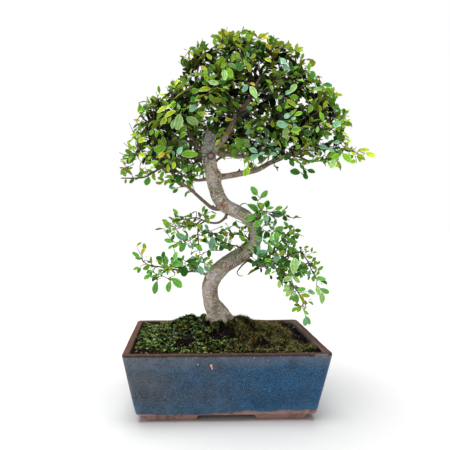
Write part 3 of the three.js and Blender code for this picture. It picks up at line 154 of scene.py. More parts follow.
# The leafy sprays of each limb: the place on the limb that it springs from, as a share of the
# limb's length, its main twig, and the points that its leaves reach to
SPRAYS = {
    "left_low": [
        (1, [(-63, -38, 239), (-71, -41, 234), (-78, -43, 230), (-89, -44, 229), (-100, -44, 229)],
         [(-103, -40, 236), (-96, -44, 224), (-83, -36, 236)]),
        (0.92, [(-65, -40, 247), (-76, -42, 251), (-87, -40, 252)], [(-101, -42, 247), (-97, -36, 257),
         (-96, -32, 266), (-84, -30, 260), (-79, -44, 242), (-72, -56, 254)]),
        (0.8, [(-54, -44, 241), (-58, -54, 247)], [(-64, -60, 251), (-53, -58, 254), (-46, -50, 246),
         (-60, -42, 232), (-52, -36, 226), (-36, -22, 237)])],
    "left_mid": [
        (1, [(-80, 22, 296), (-87, 20, 301)], [(-92, 18, 306), (-89, 14, 315), (-96, 22, 289),
         (-101, 20, 282), (-86, 10, 280), (-77, 6, 308)]),
        (0.75, [(-66, 2, 296), (-69, -6, 305)], [(-79, -4, 317), (-67, -8, 320), (-59, -24, 305),
         (-72, -24, 291), (-55, 0, 320)]),
        (0.6, [(-55, -4, 266), (-61, -20, 259)], [(-69, -22, 269), (-75, -8, 261), (-59, -34, 267),
         (-49, -34, 258)])],
    "left_up": [
        (1, [(-46, -14, 309), (-48, -20, 318)], [(-52, -18, 331), (-57, -8, 323), (-41, -26, 323),
         (-62, -30, 308), (-34, -44, 309)]),
        (0.7, [(-46, -22, 289), (-52, -38, 290)], [(-63, -42, 293), (-55, -50, 280), (-44, -58, 293),
         (-41, -56, 281), (-30, -54, 285)])],
    "left_short": [
        (1, [(-43, -32, 251), (-48, -42, 254)], [(-55, -46, 258), (-46, -48, 259), (-34, -50, 253),
         (-42, -40, 241), (-31, -30, 241)])],
    "left_back": [
        (1, [(-52, 56, 249), (-62, 66, 260)], [(-73, 66, 272), (-62, 70, 284), (-48, 76, 273),
         (-34, 70, 260), (-75, 60, 253)]),
        (0.6, [(-32, 34, 245), (-27, 42, 257)], [(-36, 26, 249), (-19, 44, 246), (-22, 50, 270),
         (-45, 30, 250)])],
    "top_left": [
        (1, [(-38, 12, 337), (-38, 6, 346)], [(-42, 2, 360), (-40, -2, 339), (-32, -14, 351),
         (-49, 20, 344), (-27, -24, 335)]),
        (0.7, [(-26, -6, 316), (-23, -22, 322)], [(-20, -34, 328), (-10, -40, 317), (-34, -44, 312),
         (-18, -44, 306), (-28, -34, 326)]),
        (0.85, [(-27, 26, 344), (-23, 26, 364)], [(-32, 18, 381), (-20, 14, 382), (-13, 6, 365),
         (-23, 34, 374)])],
    "lead_up": [
        (1, [(10, 10, 361), (10, 6, 373)], [(0, 4, 391), (-8, -2, 380), (11, -6, 382), (17, -20, 366),
         (-2, -24, 360)]),
        (0.8, [(19, 24, 359), (25, 26, 378)], [(24, 18, 399), (37, 22, 396), (31, 8, 380), (17, 36, 387),
         (41, 34, 375)]),
        (0.55, [(0, 0, 324), (-2, -20, 331)], [(-1, -44, 337), (3, -56, 324), (-11, -36, 334),
         (0, -52, 312), (13, -50, 322)])],
    "lead_right": [
        (1, [(48, -16, 347), (55, -12, 360)], [(45, -8, 379), (58, -4, 376), (70, 0, 375), (38, -26, 359),
         (49, -36, 344)]),
        (0.85, [(25, -34, 337), (24, -42, 344)], [(16, -52, 342), (30, -38, 357), (22, -66, 325),
         (13, -54, 334)]),
        (0.7, [(28, -42, 311), (33, -58, 309)], [(16, -64, 313), (22, -72, 301), (35, -66, 314),
         (41, -64, 304), (33, -56, 298)]),
        (0.45, [(21, -36, 295), (34, -54, 283), (44, -64, 282)], [(47, -78, 275), (55, -76, 268),
         (62, -70, 275), (55, -62, 289), (68, -60, 269)]),
        (0.95, [(57, -14, 333), (69, -16, 334), (76, -18, 339)], [(83, -14, 354), (95, -12, 352),
         (77, -6, 369), (86, -20, 340), (65, -30, 346), (74, -36, 325)]),
        (0.9, [(59, 8, 335), (77, 22, 335)], [(91, 26, 345), (103, 28, 336), (95, 34, 327), (76, 18, 349),
         (109, 16, 324)])],
    "right_mid": [
        (1, [(68, 36, 282), (80, 38, 293)], [(91, 36, 304), (77, 44, 308), (67, 52, 298), (94, 30, 290),
         (87, 44, 281)]),
        (0.8, [(43, 4, 265), (39, -20, 264), (36, -38, 262)], [(23, -50, 246), (21, -48, 256),
         (30, -54, 266), (43, -54, 259), (42, -50, 251), (50, -40, 257)]),
        (0.5, [(21, 22, 270), (20, 28, 284)], [(8, 24, 293), (29, 34, 295), (19, 40, 303), (7, 30, 278),
         (35, 40, 282)]),
        (0.75, [(59, 60, 283), (78, 74, 302)], [(96, 76, 320), (82, 80, 331), (99, 66, 303), (110, 54, 311),
         (68, 84, 317)])],
    "right_low": [
        (1, [(85, -30, 266), (90, -30, 277), (93, -28, 291)], [(93, -26, 306), (104, -22, 313),
         (106, -28, 297), (79, -36, 299), (98, -14, 333), (105, -10, 330)]),
        (0.92, [(86, -36, 258), (98, -40, 258), (110, -42, 259), (121, -44, 255)], [(143, -44, 250),
         (137, -42, 257), (119, -48, 246), (126, -36, 268), (111, -46, 272), (98, -56, 264)]),
        (0.85, [(74, -38, 250), (82, -42, 246), (91, -46, 246), (98, -48, 248)], [(98, -54, 240),
         (110, -46, 241), (86, -58, 255), (103, -56, 253)]),
        (0.78, [(72, -37, 246), (76, -42, 239)], [(65, -40, 235), (78, -42, 231), (86, -40, 237),
         (74, -36, 242)]),
        (0.65, [(61, -28, 263), (63, -26, 275), (66, -26, 287)], [(61, -40, 302), (68, -46, 306),
         (53, -40, 308), (70, -52, 292), (75, -54, 282)]),
        (0.82, [(96, -14, 273), (110, -8, 287), (120, -4, 298)], [(133, -4, 303), (134, -10, 287),
         (129, -18, 273), (122, 2, 312), (117, 4, 330), (125, -6, 320), (122, -26, 290)])],
    "back_low": [
        (1, [(37, 90, 283), (48, 98, 297)], [(58, 100, 310), (38, 104, 316), (26, 106, 298), (63, 96, 289),
         (46, 102, 277), (15, 98, 281)])],
    "back_mid": [
        (1, [(-43, 76, 300), (-51, 84, 311)], [(-63, 84, 321), (-48, 92, 330), (-33, 98, 317),
         (-61, 88, 299), (-26, 92, 298)])],
    "back_up": [
        (1, [(10, 68, 339), (14, 74, 353)], [(3, 74, 368), (22, 70, 374), (36, 82, 360), (16, 90, 348),
         (-7, 80, 350), (-14, 76, 334)]),
        (0.75, [(20, 56, 327), (38, 64, 341)], [(52, 64, 358), (66, 70, 345), (50, 80, 335), (40, 60, 366),
         (57, 50, 370)])],
    "low_left": [
        (1, [(-66, -32, 143), (-72, -35, 144), (-78, -37, 147), (-82, -38, 152)], [(-89, -40, 158),
         (-84, -38, 167), (-79, -34, 158), (-71, -44, 154)]),
        (0.92, [(-61, -34, 137), (-62, -40, 134)], [(-77, -44, 134), (-69, -46, 121), (-70, -40, 132),
         (-60, -42, 131), (-55, -42, 121), (-43, -42, 126)]),
        (0.6, [(-48, -30, 143), (-52, -38, 148)], [(-58, -42, 152), (-49, -38, 158), (-64, -32, 146),
         (-42, -36, 148)]),
        (0.3, [(-32, -18, 142), (-34, -28, 145)], [(-41, -30, 134), (-33, -32, 147), (-24, -24, 139),
         (-21, -22, 146), (-13, -18, 142)])],
    "hanging": [
        (1, [(-28, -21, 191), (-36, -25, 190), (-44, -28, 189)], [(-52, -30, 188), (-34, -22, 196),
         (-25, -16, 197), (-16, -12, 200), (-42, -32, 185)]),
        (0.95, [(-27, -19, 185), (-34, -22, 182), (-44, -26, 183), (-54, -30, 182)], [(-69, -34, 180),
         (-61, -30, 178), (-54, -34, 178), (-46, -34, 181), (-38, -32, 180)]),
        (0.86, [(-25, -14, 183), (-26, -14, 173), (-25, -14, 164), (-24, -14, 155)], [(-47, -30, 173),
         (-58, -30, 168), (-52, -30, 162), (-41, -34, 162), (-33, -28, 168), (-30, -24, 157),
         (-21, -8, 173), (-10, -8, 175), (1, -6, 171), (-24, -26, 161), (-19, -20, 150), (-28, -20, 149)])],
    "knee_left": [
        (None, [(23, -8, 172), (12, -12, 174), (3, -15, 176)], [(-3, -16, 182), (6, -14, 182),
         (18, -10, 183), (25, -10, 180)]),
        (None, [(18, -10, 160), (9, -14, 163), (0, -18, 166)], [(-11, -26, 166), (-8, -20, 172),
         (5, -18, 168), (13, -14, 165), (-6, -22, 161), (-12, -18, 155)])],
    "knee_right": [
        (None, [(35, -8, 196), (39, -12, 198), (46, -17, 197), (54, -22, 195), (63, -27, 192)],
         [(75, -31, 192), (59, -28, 197), (48, -24, 202), (69, -26, 190), (53, -26, 190), (30, -16, 221),
         (41, -16, 217), (28, -18, 213), (40, -14, 206)]),
        (None, [(34, -12, 187), (34, -20, 190)], [(24, -26, 203), (19, -28, 191), (31, -32, 187),
         (42, -26, 192), (41, -24, 184), (48, -22, 187)])],
    "low_right": [
        (1, [(61, -28, 159), (64, -29, 169), (66, -30, 178)], [(65, -30, 187), (75, -34, 173),
         (52, -36, 176), (58, -42, 163), (70, -36, 167), (57, -30, 181)]),
        (0.95, [(67, -32, 155), (74, -36, 157), (80, -40, 150), (84, -43, 140), (88, -45, 132)],
         [(98, -46, 119), (93, -46, 110), (88, -46, 118), (98, -44, 130), (75, -46, 147), (73, -34, 163)]),
        (0.85, [(57, -34, 139), (62, -40, 130), (68, -44, 122), (74, -46, 113), (75, -46, 103)],
         [(79, -46, 90), (77, -44, 88), (77, -48, 123), (69, -44, 110), (74, -48, 112), (56, -50, 135),
         (67, -50, 135), (62, -52, 127), (52, -40, 126)]),
        (0.7, [(47, -32, 147), (46, -40, 152)], [(29, -42, 157), (36, -40, 148), (43, -46, 143),
         (48, -52, 149), (50, -48, 154), (40, -36, 164), (23, -16, 134)]),
        (0.8, [(58, -36, 148), (62, -42, 152)], [(66, -46, 160), (68, -46, 148), (58, -44, 143),
         (64, -50, 143)])],
}

# Leaves of the low limbs, measured on the reference photograph, in whole millimetres: the
# base, how far across and up the tip lies, and the tone
LOW_LEAVES = {
    "low_left": [
        (-66, -40, 130, -69, 117, "fresh"), (-53, -40, 130, -56, 119, "fresh"),
        (-53, -30, 131, -42, 122, "fresh"), (-73, -35, 136, -79, 131, "fresh"),
        (-67, -40, 134, -71, 130, "deep"), (-66, -40, 130, -60, 134, "olive"),
        (-39, -28, 144, -41, 132, "deep"), (-57, -28, 143, -60, 154, "fresh"),
        (-50, -38, 150, -47, 158, "fresh"), (-53, -37, 146, -41, 146, "fresh"),
        (-60, -30, 147, -69, 148, "olive"), (-83, -38, 152, -90, 158, "fresh"),
        (-82, -38, 155, -78, 162, "yellow"), (-86, -38, 164, -81, 167, "lime"),
        (-82, -38, 152, -79, 146, "olive"), (-80, -38, 151, -74, 155, "olive"),
        (-51, -38, 165, -55, 161, "fresh"), (-25, -13, 142, -21, 133, "blue"),
        (-21, -13, 145, -26, 147, "fresh"), (-30, -17, 142, -35, 139, "fresh"),
        (-29, -17, 144, -38, 142, "fresh"), (-19, -7, 141, -15, 135, "blue"),
        (-15, -5, 142, -10, 141, "fresh"), (-41, -23, 143, -36, 149, "olive"),
        (-48, -38, 152, -47, 147, "fresh"), (-50, -38, 151, -53, 147, "fresh"),
        (-54, -27, 140, -49, 135, "olive"), (-56, -28, 139, -57, 134, "fresh"),
        (-68, -39, 137, -72, 140, "fresh"), (-66, -39, 136, -61, 137, "fresh"),
        (-69, -34, 141, -68, 143, "fresh"), (-72, -35, 145, -73, 153, "olive"),
        (-76, -36, 149, -73, 147, "deep"), (-77, -37, 150, -75, 147, "olive"),
        (-25, -13, 142, -29, 140, "fresh"), (-31, -13, 136, -26, 138, "deep")],
    "hanging": [
        (-38, -14, 168, -48, 175, "blue"), (-50, -29, 167, -60, 169, "fresh"),
        (-49, -29, 166, -43, 166, "fresh"), (-39, -14, 166, -44, 156, "fresh"),
        (-28, -14, 164, -22, 157, "fresh"), (-13, -14, 157, -9, 170, "blue"),
        (-41, -25, 181, -36, 182, "fresh"), (-54, -30, 181, -54, 176, "fresh"),
        (-17, -14, 148, -13, 150, "lime"), (-40, -24, 182, -46, 180, "olive"),
        (-60, -30, 180, -69, 179, "olive"), (-58, -30, 178, -61, 177, "olive"),
        (-45, -26, 184, -43, 186, "fresh"), (-34, -14, 168, -34, 172, "blue"),
        (-37, -14, 164, -33, 160, "blue"), (-31, -14, 161, -32, 165, "blue"),
        (-29, -14, 165, -31, 168, "fresh"), (-33, -14, 154, -27, 158, "olive"),
        (-23, -14, 173, -19, 174, "fresh"), (-17, -14, 175, -10, 174, "olive"),
        (-4, -11, 181, 0, 182, "fresh"), (-22, -14, 153, -18, 157, "olive"),
        (-24, -14, 153, -29, 148, "olive"), (-21, -14, 149, -25, 149, "blue"),
        (-18, -14, 147, -22, 145, "blue"), (-13, -14, 157, -1, 157, "olive")],
    "knee_left": [
        (-7, -18, 173, 1, 170, "fresh"), (-11, -18, 161, -8, 158, "fresh"),
        (-7, -18, 165, -3, 163, "fresh"), (2, -15, 179, 7, 181, "fresh"), (17, -11, 179, 16, 182, "deep"),
        (27, -8, 177, 22, 176, "olive"), (7, -14, 180, 2, 180, "fresh"), (11, -13, 163, 19, 162, "olive"),
        (7, -15, 164, 9, 168, "olive"), (5, -16, 162, 2, 165, "olive"), (12, -12, 175, 17, 174, "deep")],
    "knee_right": [
        (36, -12, 214, 29, 223, "fresh"), (39, -12, 211, 45, 219, "fresh"), (36, -12, 209, 29, 212, "deep"),
        (38, -9, 194, 26, 205, "fresh"), (36, -8, 193, 22, 189, "fresh"), (41, -20, 189, 31, 182, "fresh"),
        (44, -20, 186, 42, 195, "blue"), (45, -16, 200, 52, 202, "fresh"), (50, -19, 197, 61, 193, "blue"),
        (61, -26, 194, 67, 191, "olive"), (36, -12, 206, 41, 205, "fresh"),
        (38, -12, 200, 35, 206, "fresh"), (45, -16, 196, 55, 188, "olive"),
        (46, -19, 185, 41, 183, "fresh"), (47, -19, 186, 51, 186, "blue"), (69, -27, 191, 77, 191, "olive"),
        (69, -27, 190, 74, 193, "olive"), (26, 3, 183, 24, 179, "deep"), (15, 2, 188, 15, 182, "fresh"),
        (50, -12, 177, 47, 178, "deep")],
    "low_right": [
        (65, -30, 181, 60, 187, "fresh"), (50, -30, 178, 60, 181, "fresh"),
        (51, -30, 178, 53, 166, "fresh"), (64, -28, 162, 56, 162, "fresh"),
        (64, -28, 163, 73, 150, "fresh"), (64, -29, 169, 72, 165, "fresh"),
        (67, -30, 176, 79, 172, "olive"), (41, -40, 160, 31, 154, "blue"), (46, -36, 149, 54, 153, "blue"),
        (50, -23, 145, 42, 143, "blue"), (47, -24, 144, 53, 139, "blue"), (48, -21, 140, 41, 134, "fresh"),
        (52, -29, 141, 58, 131, "fresh"), (67, -39, 135, 67, 152, "pale"), (66, -39, 134, 56, 130, "pale"),
        (67, -39, 134, 73, 127, "pale"), (66, -41, 130, 64, 118, "pale"), (69, -44, 121, 78, 122, "fresh"),
        (67, -44, 119, 70, 108, "fresh"), (70, -45, 118, 75, 108, "olive"),
        (74, -38, 149, 82, 141, "olive"), (92, -45, 123, 100, 118, "fresh"),
        (92, -45, 120, 94, 108, "pale"), (38, -15, 139, 24, 133, "olive"), (69, -29, 171, 64, 167, "fresh"),
        (43, -40, 166, 38, 167, "fresh"), (42, -40, 161, 44, 159, "olive"), (40, -40, 153, 32, 155, "deep"),
        (60, -39, 151, 54, 147, "deep"), (56, -28, 154, 64, 144, "deep"), (59, -32, 143, 66, 148, "deep"),
        (75, -36, 157, 79, 158, "olive"), (77, -38, 153, 80, 152, "olive"),
        (79, -41, 146, 79, 140, "fresh"), (71, -39, 137, 76, 138, "fresh"),
        (74, -43, 136, 73, 132, "olive"), (86, -44, 137, 89, 139, "fresh"),
        (88, -45, 132, 97, 132, "fresh"), (91, -45, 131, 98, 127, "deep"), (88, -45, 126, 89, 116, "pale"),
        (53, -37, 130, 54, 122, "pale"), (55, -38, 129, 57, 123, "olive"), (51, -35, 133, 52, 130, "deep"),
        (59, -40, 127, 65, 115, "pale"), (78, -46, 105, 78, 109, "olive"), (76, -46, 101, 79, 105, "olive"),
        (77, -46, 96, 76, 87, "blue"), (77, -46, 97, 81, 88, "fresh"), (74, -38, 149, 77, 143, "fresh"),
        (70, -30, 174, 73, 170, "deep"), (60, -30, 175, 56, 171, "fresh"), (63, -40, 148, 59, 143, "deep"),
        (50, -28, 168, 54, 166, "deep")],
}

# Leaves at the front of the crown, in the same way
CROWN_LEAVES = [
    (-34, -61, 311, -49, 301, "olive"), (-61, -61, 299, -54, 295, "green"),
    (-50, -61, 295, -65, 288, "lime"), (-47, -61, 290, -58, 285, "lime"),
    (-59, -53, 289, -66, 284, "green"), (-46, -61, 297, -44, 291, "pale"),
    (-28, -61, 296, -35, 289, "blue"), (-43, -61, 288, -47, 273, "pale"), (-38, -59, 285, -27, 278, "pale"),
    (-52, -61, 284, -54, 278, "lime"), (-56, -53, 285, -61, 278, "lime"), (-50, -59, 282, -51, 274, "pale"),
    (-32, -61, 304, -31, 297, "deep"), (-67, -45, 304, -75, 307, "olive"),
    (-74, -27, 306, -85, 304, "olive"), (-69, -45, 297, -76, 295, "olive"),
    (-80, -27, 297, -85, 296, "green"), (-63, -53, 282, -69, 277, "olive"),
    (-69, -45, 284, -74, 277, "olive"), (-70, -37, 277, -73, 271, "green"),
    (-63, -53, 274, -60, 269, "green"), (-60, -63, 266, -57, 256, "green"),
    (-76, -33, 276, -83, 270, "olive"), (-85, -39, 270, -92, 271, "lime"),
    (-76, -59, 266, -82, 261, "lime"), (-56, -63, 256, -67, 252, "green"),
    (-50, -63, 257, -56, 252, "green"), (-57, -63, 251, -64, 247, "yellow"),
    (-41, -61, 257, -46, 250, "blue"), (-43, -53, 251, -27, 251, "green"),
    (-51, -63, 253, -49, 248, "blue"), (-57, -63, 250, -53, 246, "lime"),
    (-63, -63, 243, -70, 241, "green"), (-54, -63, 245, -58, 241, "green"),
    (-55, -53, 242, -55, 234, "lime"), (-49, -61, 243, -50, 236, "lime"),
    (-59, -45, 236, -62, 229, "green"), (-57, -45, 232, -50, 228, "green"),
    (-67, -63, 239, -71, 236, "pale"), (-38, -53, 239, -40, 233, "green"),
    (-31, -43, 240, -30, 235, "deep"), (-77, -47, 239, -82, 235, "olive"),
    (-89, -47, 231, -99, 238, "olive"), (-96, -45, 245, -101, 245, "lime"),
    (-82, -63, 250, -75, 247, "lime"), (-90, -45, 253, -95, 250, "olive"),
    (-70, -63, 248, -72, 244, "green"), (-85, -27, 284, -83, 278, "green"),
    (-64, -45, 309, -58, 308, "lime"), (-90, -27, 289, -84, 287, "yellow"), (0, -59, 334, -6, 331, "green"),
    (0, -59, 334, 9, 330, "pale"), (2, -59, 331, 3, 320, "green"), (-3, -59, 329, -2, 318, "pale"),
    (11, -69, 333, 9, 323, "deep"), (18, -69, 332, 21, 324, "lime"), (16, -57, 339, 10, 340, "green"),
    (14, -69, 335, 16, 328, "green"), (7, -59, 340, 4, 335, "green"), (-24, -39, 339, -18, 334, "yellow"),
    (-20, -43, 330, -18, 321, "lime"), (-18, -55, 318, -8, 315, "pale"), (-8, -59, 317, -2, 316, "deep"),
    (-4, -59, 313, 2, 311, "pale"), (-25, -47, 312, -34, 310, "green"), (-14, -47, 313, -26, 312, "lime"),
    (-11, -55, 313, 1, 308, "olive"), (-16, -47, 310, -13, 302, "green"), (17, -75, 311, 13, 304, "blue"),
    (19, -75, 312, 24, 310, "yellow"), (19, -75, 309, 25, 298, "pale"), (-28, -17, 365, -35, 363, "green"),
    (-26, 0, 372, -26, 376, "green"), (-32, -17, 362, -28, 358, "blue"), (-9, -27, 361, -10, 369, "green"),
    (0, -27, 364, -7, 360, "lime"), (-2, -27, 369, -6, 373, "lime"), (4, -27, 373, 0, 377, "yellow"),
    (5, -9, 381, -2, 386, "olive"), (10, -23, 372, 7, 376, "green"), (12, -23, 372, 14, 367, "green"),
    (22, -41, 360, 22, 367, "green"), (20, -23, 379, 19, 383, "olive"), (27, -23, 377, 24, 379, "deep"),
    (25, -41, 370, 29, 372, "olive"), (-32, -37, 337, -34, 332, "green"), (-29, -37, 334, -28, 329, "lime"),
    (-39, -37, 331, -36, 330, "yellow"), (-39, -17, 351, -44, 353, "olive"),
    (-35, -17, 359, -41, 360, "olive"), (-19, -39, 350, -13, 345, "lime"),
    (-49, -29, 322, -46, 329, "lime"), (15, -41, 364, 17, 361, "blue"), (53, -39, 346, 58, 339, "blue"),
    (54, -39, 337, 62, 335, "blue"), (38, -41, 346, 44, 342, "lime"), (62, -33, 357, 62, 364, "olive"),
    (58, -33, 357, 58, 363, "olive"), (68, -33, 356, 72, 362, "lime"), (70, -33, 355, 77, 358, "lime"),
    (81, -23, 350, 93, 348, "olive"), (84, -39, 326, 87, 334, "deep"), (95, -23, 334, 99, 331, "olive"),
    (99, -25, 325, 108, 323, "deep"), (98, -29, 319, 89, 319, "pale"), (109, -25, 316, 110, 322, "lime"),
    (112, -25, 315, 120, 315, "lime"), (68, -49, 319, 61, 310, "pale"), (58, -67, 308, 53, 304, "blue"),
    (57, -65, 303, 65, 301, "green"), (51, -67, 303, 46, 300, "pale"), (54, -65, 301, 64, 294, "lime"),
    (34, -69, 316, 39, 312, "green"), (39, -69, 311, 39, 306, "green"), (45, -69, 312, 45, 308, "olive"),
    (67, -49, 322, 73, 319, "green"), (44, -69, 325, 48, 320, "deep"), (51, -20, 314, 47, 301, "deep"),
    (72, -39, 330, 76, 326, "olive"), (76, -33, 348, 78, 353, "green"), (81, -39, 333, 81, 341, "green"),
    (48, -29, 366, 54, 368, "olive"), (34, -41, 363, 41, 368, "lime"), (36, -41, 363, 44, 366, "yellow"),
    (64, -39, 335, 71, 338, "green"), (8, 0, 313, 11, 300, "green"), (-16, -20, 290, -15, 283, "deep"),
    (33, -57, 262, 26, 265, "blue"), (34, -57, 262, 40, 264, "blue"), (37, -57, 260, 46, 258, "blue"),
    (33, -57, 255, 36, 258, "blue"), (29, -57, 252, 21, 256, "blue"), (36, -57, 252, 30, 250, "blue"),
    (30, -53, 251, 23, 245, "blue"), (22, -53, 247, 16, 242, "green"), (44, -57, 254, 51, 255, "blue"),
    (40, -57, 251, 46, 249, "blue"), (27, -57, 262, 28, 258, "blue"), (53, -81, 275, 42, 272, "blue"),
    (52, -81, 272, 49, 262, "pale"), (54, -81, 283, 49, 279, "blue"), (45, -20, 280, 50, 272, "deep"),
    (43, -79, 260, 47, 254, "olive"), (-4, 0, 257, 3, 252, "olive"), (-3, 0, 266, 5, 267, "lime"),
    (19, 0, 279, 4, 275, "olive"), (18, -20, 284, 15, 293, "deep"), (24, -20, 287, 25, 294, "deep"),
    (29, -20, 284, 30, 289, "deep"), (1, -20, 294, -5, 294, "deep"), (-6, 0, 294, -1, 288, "olive"),
    (22, -20, 298, 12, 295, "deep"), (19, -75, 287, 21, 283, "olive"), (33, -57, 277, 36, 274, "olive"),
    (14, -53, 256, 18, 257, "green"), (55, -81, 278, 60, 281, "blue"), (57, -81, 275, 59, 269, "blue"),
    (56, -81, 284, 49, 280, "blue"), (54, -81, 267, 64, 270, "green"), (77, -73, 269, 68, 267, "deep"),
    (85, -57, 277, 85, 271, "pale"), (63, -79, 271, 73, 271, "olive"), (76, -57, 289, 81, 297, "green"),
    (87, -57, 291, 90, 281, "green"), (93, -57, 279, 86, 279, "olive"), (92, -59, 280, 96, 275, "lime"),
    (107, -59, 280, 98, 276, "blue"), (110, -49, 277, 114, 279, "lime"), (108, -59, 272, 113, 268, "lime"),
    (107, -59, 263, 101, 261, "blue"), (109, -59, 265, 114, 263, "pale"), (118, -31, 293, 118, 299, "deep"),
    (120, -31, 294, 124, 297, "olive"), (114, -49, 284, 121, 278, "olive"), (84, -61, 257, 93, 256, "blue"),
    (93, -61, 255, 99, 253, "blue"), (108, -59, 252, 116, 243, "green"), (106, -59, 251, 98, 246, "green"),
    (103, -59, 246, 95, 237, "pale"), (106, -49, 244, 109, 239, "olive"), (127, -51, 255, 136, 256, "lime"),
    (125, -51, 252, 132, 249, "lime"), (133, -47, 253, 142, 250, "lime"), (110, -59, 256, 116, 255, "lime"),
    (73, -39, 235, 63, 236, "deep"), (77, -39, 239, 72, 242, "deep"), (80, -39, 238, 87, 235, "deep"),
    (76, -39, 234, 82, 230, "deep"), (79, -39, 243, 83, 244, "olive"), (62, -43, 248, 66, 241, "deep"),
    (66, -43, 249, 71, 244, "green"), (83, -61, 248, 89, 246, "olive"), (70, -63, 252, 77, 261, "olive"),
    (63, -63, 255, 68, 258, "green"), (77, -55, 301, 81, 302, "lime"), (106, -31, 301, 114, 297, "deep"),
    (78, -57, 286, 81, 284, "olive")]

# A leaf of the table this near to a point that a spray reaches to stands for the one there
SAME_LEAF = 7


def linear(code):
    """An sRGB hex colour as linear red, green and blue."""
    parts = [int(code[k:k + 2], 16) / 255 for k in (1, 3, 5)]
    return tuple(p / 12.92 if p <= 0.04045 else ((p + 0.055) / 1.055) ** 2.4 for p in parts)


def to_frame(points):
    """Millimetres about the middle of the pot, as the frame's metres."""
    return np.asarray(points, float) * MM + POT_MIDDLE


def roughness_at(points, size, seed=0):
    """Smooth noise from -1 to 1 at each point, whose lumps are size millimetres across."""
    places = np.asarray(points, float) / size + 17.3 * seed
    return np.array([noise.noise(Vector(place)) for place in places])


def eased(values, low, high):
    """0 below low, 1 above high and a smooth step between."""
    part = np.clip((np.asarray(values, float) - low) / (high - low), 0, 1)
    return part * part * (3 - 2 * part)


def unit(vectors):
    """Vectors of length 1 in the same directions."""
    vectors = np.asarray(vectors, float)
    return vectors / np.maximum(np.linalg.norm(vectors, axis=-1, keepdims=True), 1e-9)


def distance_to(points, place):
    """How far each point is from a place."""
    return np.linalg.norm(points - place, axis=1)


def walked_along(path):
    """How far along a path each of its points lies."""
    return np.concatenate([[0], np.cumsum(np.linalg.norm(np.diff(path, axis=0), axis=1))])


def on_plan(x, y):
    """Places over the pot's plan, at z = 0."""
    return np.column_stack([x, y, np.zeros_like(x)])


def smooth_curve(path, spacing):
    """Points about a spacing apart on the centripetal curve through path. Columns past the third,
    such as a radius, run along with it."""
    knots = np.array(path, float)
    knots = np.vstack([2 * knots[0] - knots[1], knots, 2 * knots[-1] - knots[-2]])
    steps = np.linspace(0, 1, 12, endpoint=False)[:, None]
    pieces = []
    for k in range(1, len(knots) - 2):
        before, start, end, after = knots[k - 1:k + 3]
        gaps = [max(np.linalg.norm((b - a)[:3]) ** 0.5, 1e-3)
                for a, b in ((before, start), (start, end), (end, after))]
        leave = (start - before) / gaps[0] - (end - before) / (gaps[0] + gaps[1]) + (end - start) / gaps[1]
        arrive = (end - start) / gaps[1] - (after - start) / (gaps[1] + gaps[2]) + (after - end) / gaps[2]
        leave, arrive = leave * gaps[1], arrive * gaps[1]
        cubic = 2 * start - 2 * end + leave + arrive
        square = -3 * start + 3 * end - 2 * leave - arrive
        pieces.append(cubic * steps ** 3 + square * steps ** 2 + leave * steps + start)
    dense = np.vstack([*pieces, knots[-2:-1]])
    walked = walked_along(dense[:, :3])
    count = max(int(round(walked[-1] / spacing)), 2) + 1
    places = np.linspace(0, walked[-1], count)
    return np.stack([np.interp(places, walked, column) for column in dense.T], axis=1)


def frames_along(path):
    """The forward, side and up directions at each point of a path, turning as little as they can."""
    forward = unit(np.gradient(path, axis=0))
    side = np.cross(forward[0], (0, 0, 1) if abs(forward[0][2]) < 0.9 else (1, 0, 0))
    sides = []
    for direction in forward:
        side = unit(side - direction * side.dot(direction))
        sides.append(side)
    sides = np.array(sides)
    return forward, sides, np.cross(forward, sides)


def ring_faces(rings, count, first=0):
    """Triangles between rings of count points each, numbered on from first."""
    ring, spot = np.meshgrid(np.arange(rings - 1), np.arange(count), indexing="ij")
    here = first + ring * count + spot
    beside = first + ring * count + (spot + 1) % count
    faces = [np.stack([here, beside, beside + count], -1), np.stack([here, beside + count, here + count], -1)]
    return np.concatenate([part.reshape(-1, 3) for part in faces])


def tube(path, radii, sides):
    """A closed round stem along a path: its points and triangles."""
    path = np.asarray(path, float)
    forward, across, up = frames_along(path)
    turns = np.arange(sides) / sides * 2 * math.pi
    spokes = across[:, None] * np.cos(turns)[None, :, None] + up[:, None] * np.sin(turns)[None, :, None]
    radii = np.broadcast_to(radii, len(path))
    rings = path[:, None] + spokes * radii[:, None, None]
    ends = np.stack([path[0] - forward[0] * radii[0] * 0.5, path[-1] + forward[-1] * radii[-1] * 0.8])
    points = np.concatenate([rings.reshape(-1, 3), ends])
    count = len(path) * sides
    spot = np.arange(sides)
    beside = (spot + 1) % sides
    last = count - sides
    root = np.stack([beside, spot, np.full(sides, count)], -1)
    tip = np.stack([last + spot, last + beside, np.full(sides, count + 1)], -1)
    return points, np.concatenate([ring_faces(len(path), sides), root, tip])


def merged(shapes):
    """Several (points, triangles) as one."""
    offsets = np.cumsum([0] + [len(points) for points, _ in shapes[:-1]])
    points = np.concatenate([points for points, _ in shapes])
    return points, np.concatenate([faces + offset for (_, faces), offset in zip(shapes, offsets)])


def shape_of(built):
    """The points and triangles of a bmesh, which is freed."""
    points = np.array([vert.co[:] for vert in built.verts])
    faces = np.array([[vert.index for vert in face.verts] for face in built.faces])
    built.free()
    return points, faces


def faces_of_copies(faces, count, size):
    """The triangles of count copies of a shape that has size points."""
    return (faces[None] + np.arange(count)[:, None, None] * size).reshape(-1, 3)


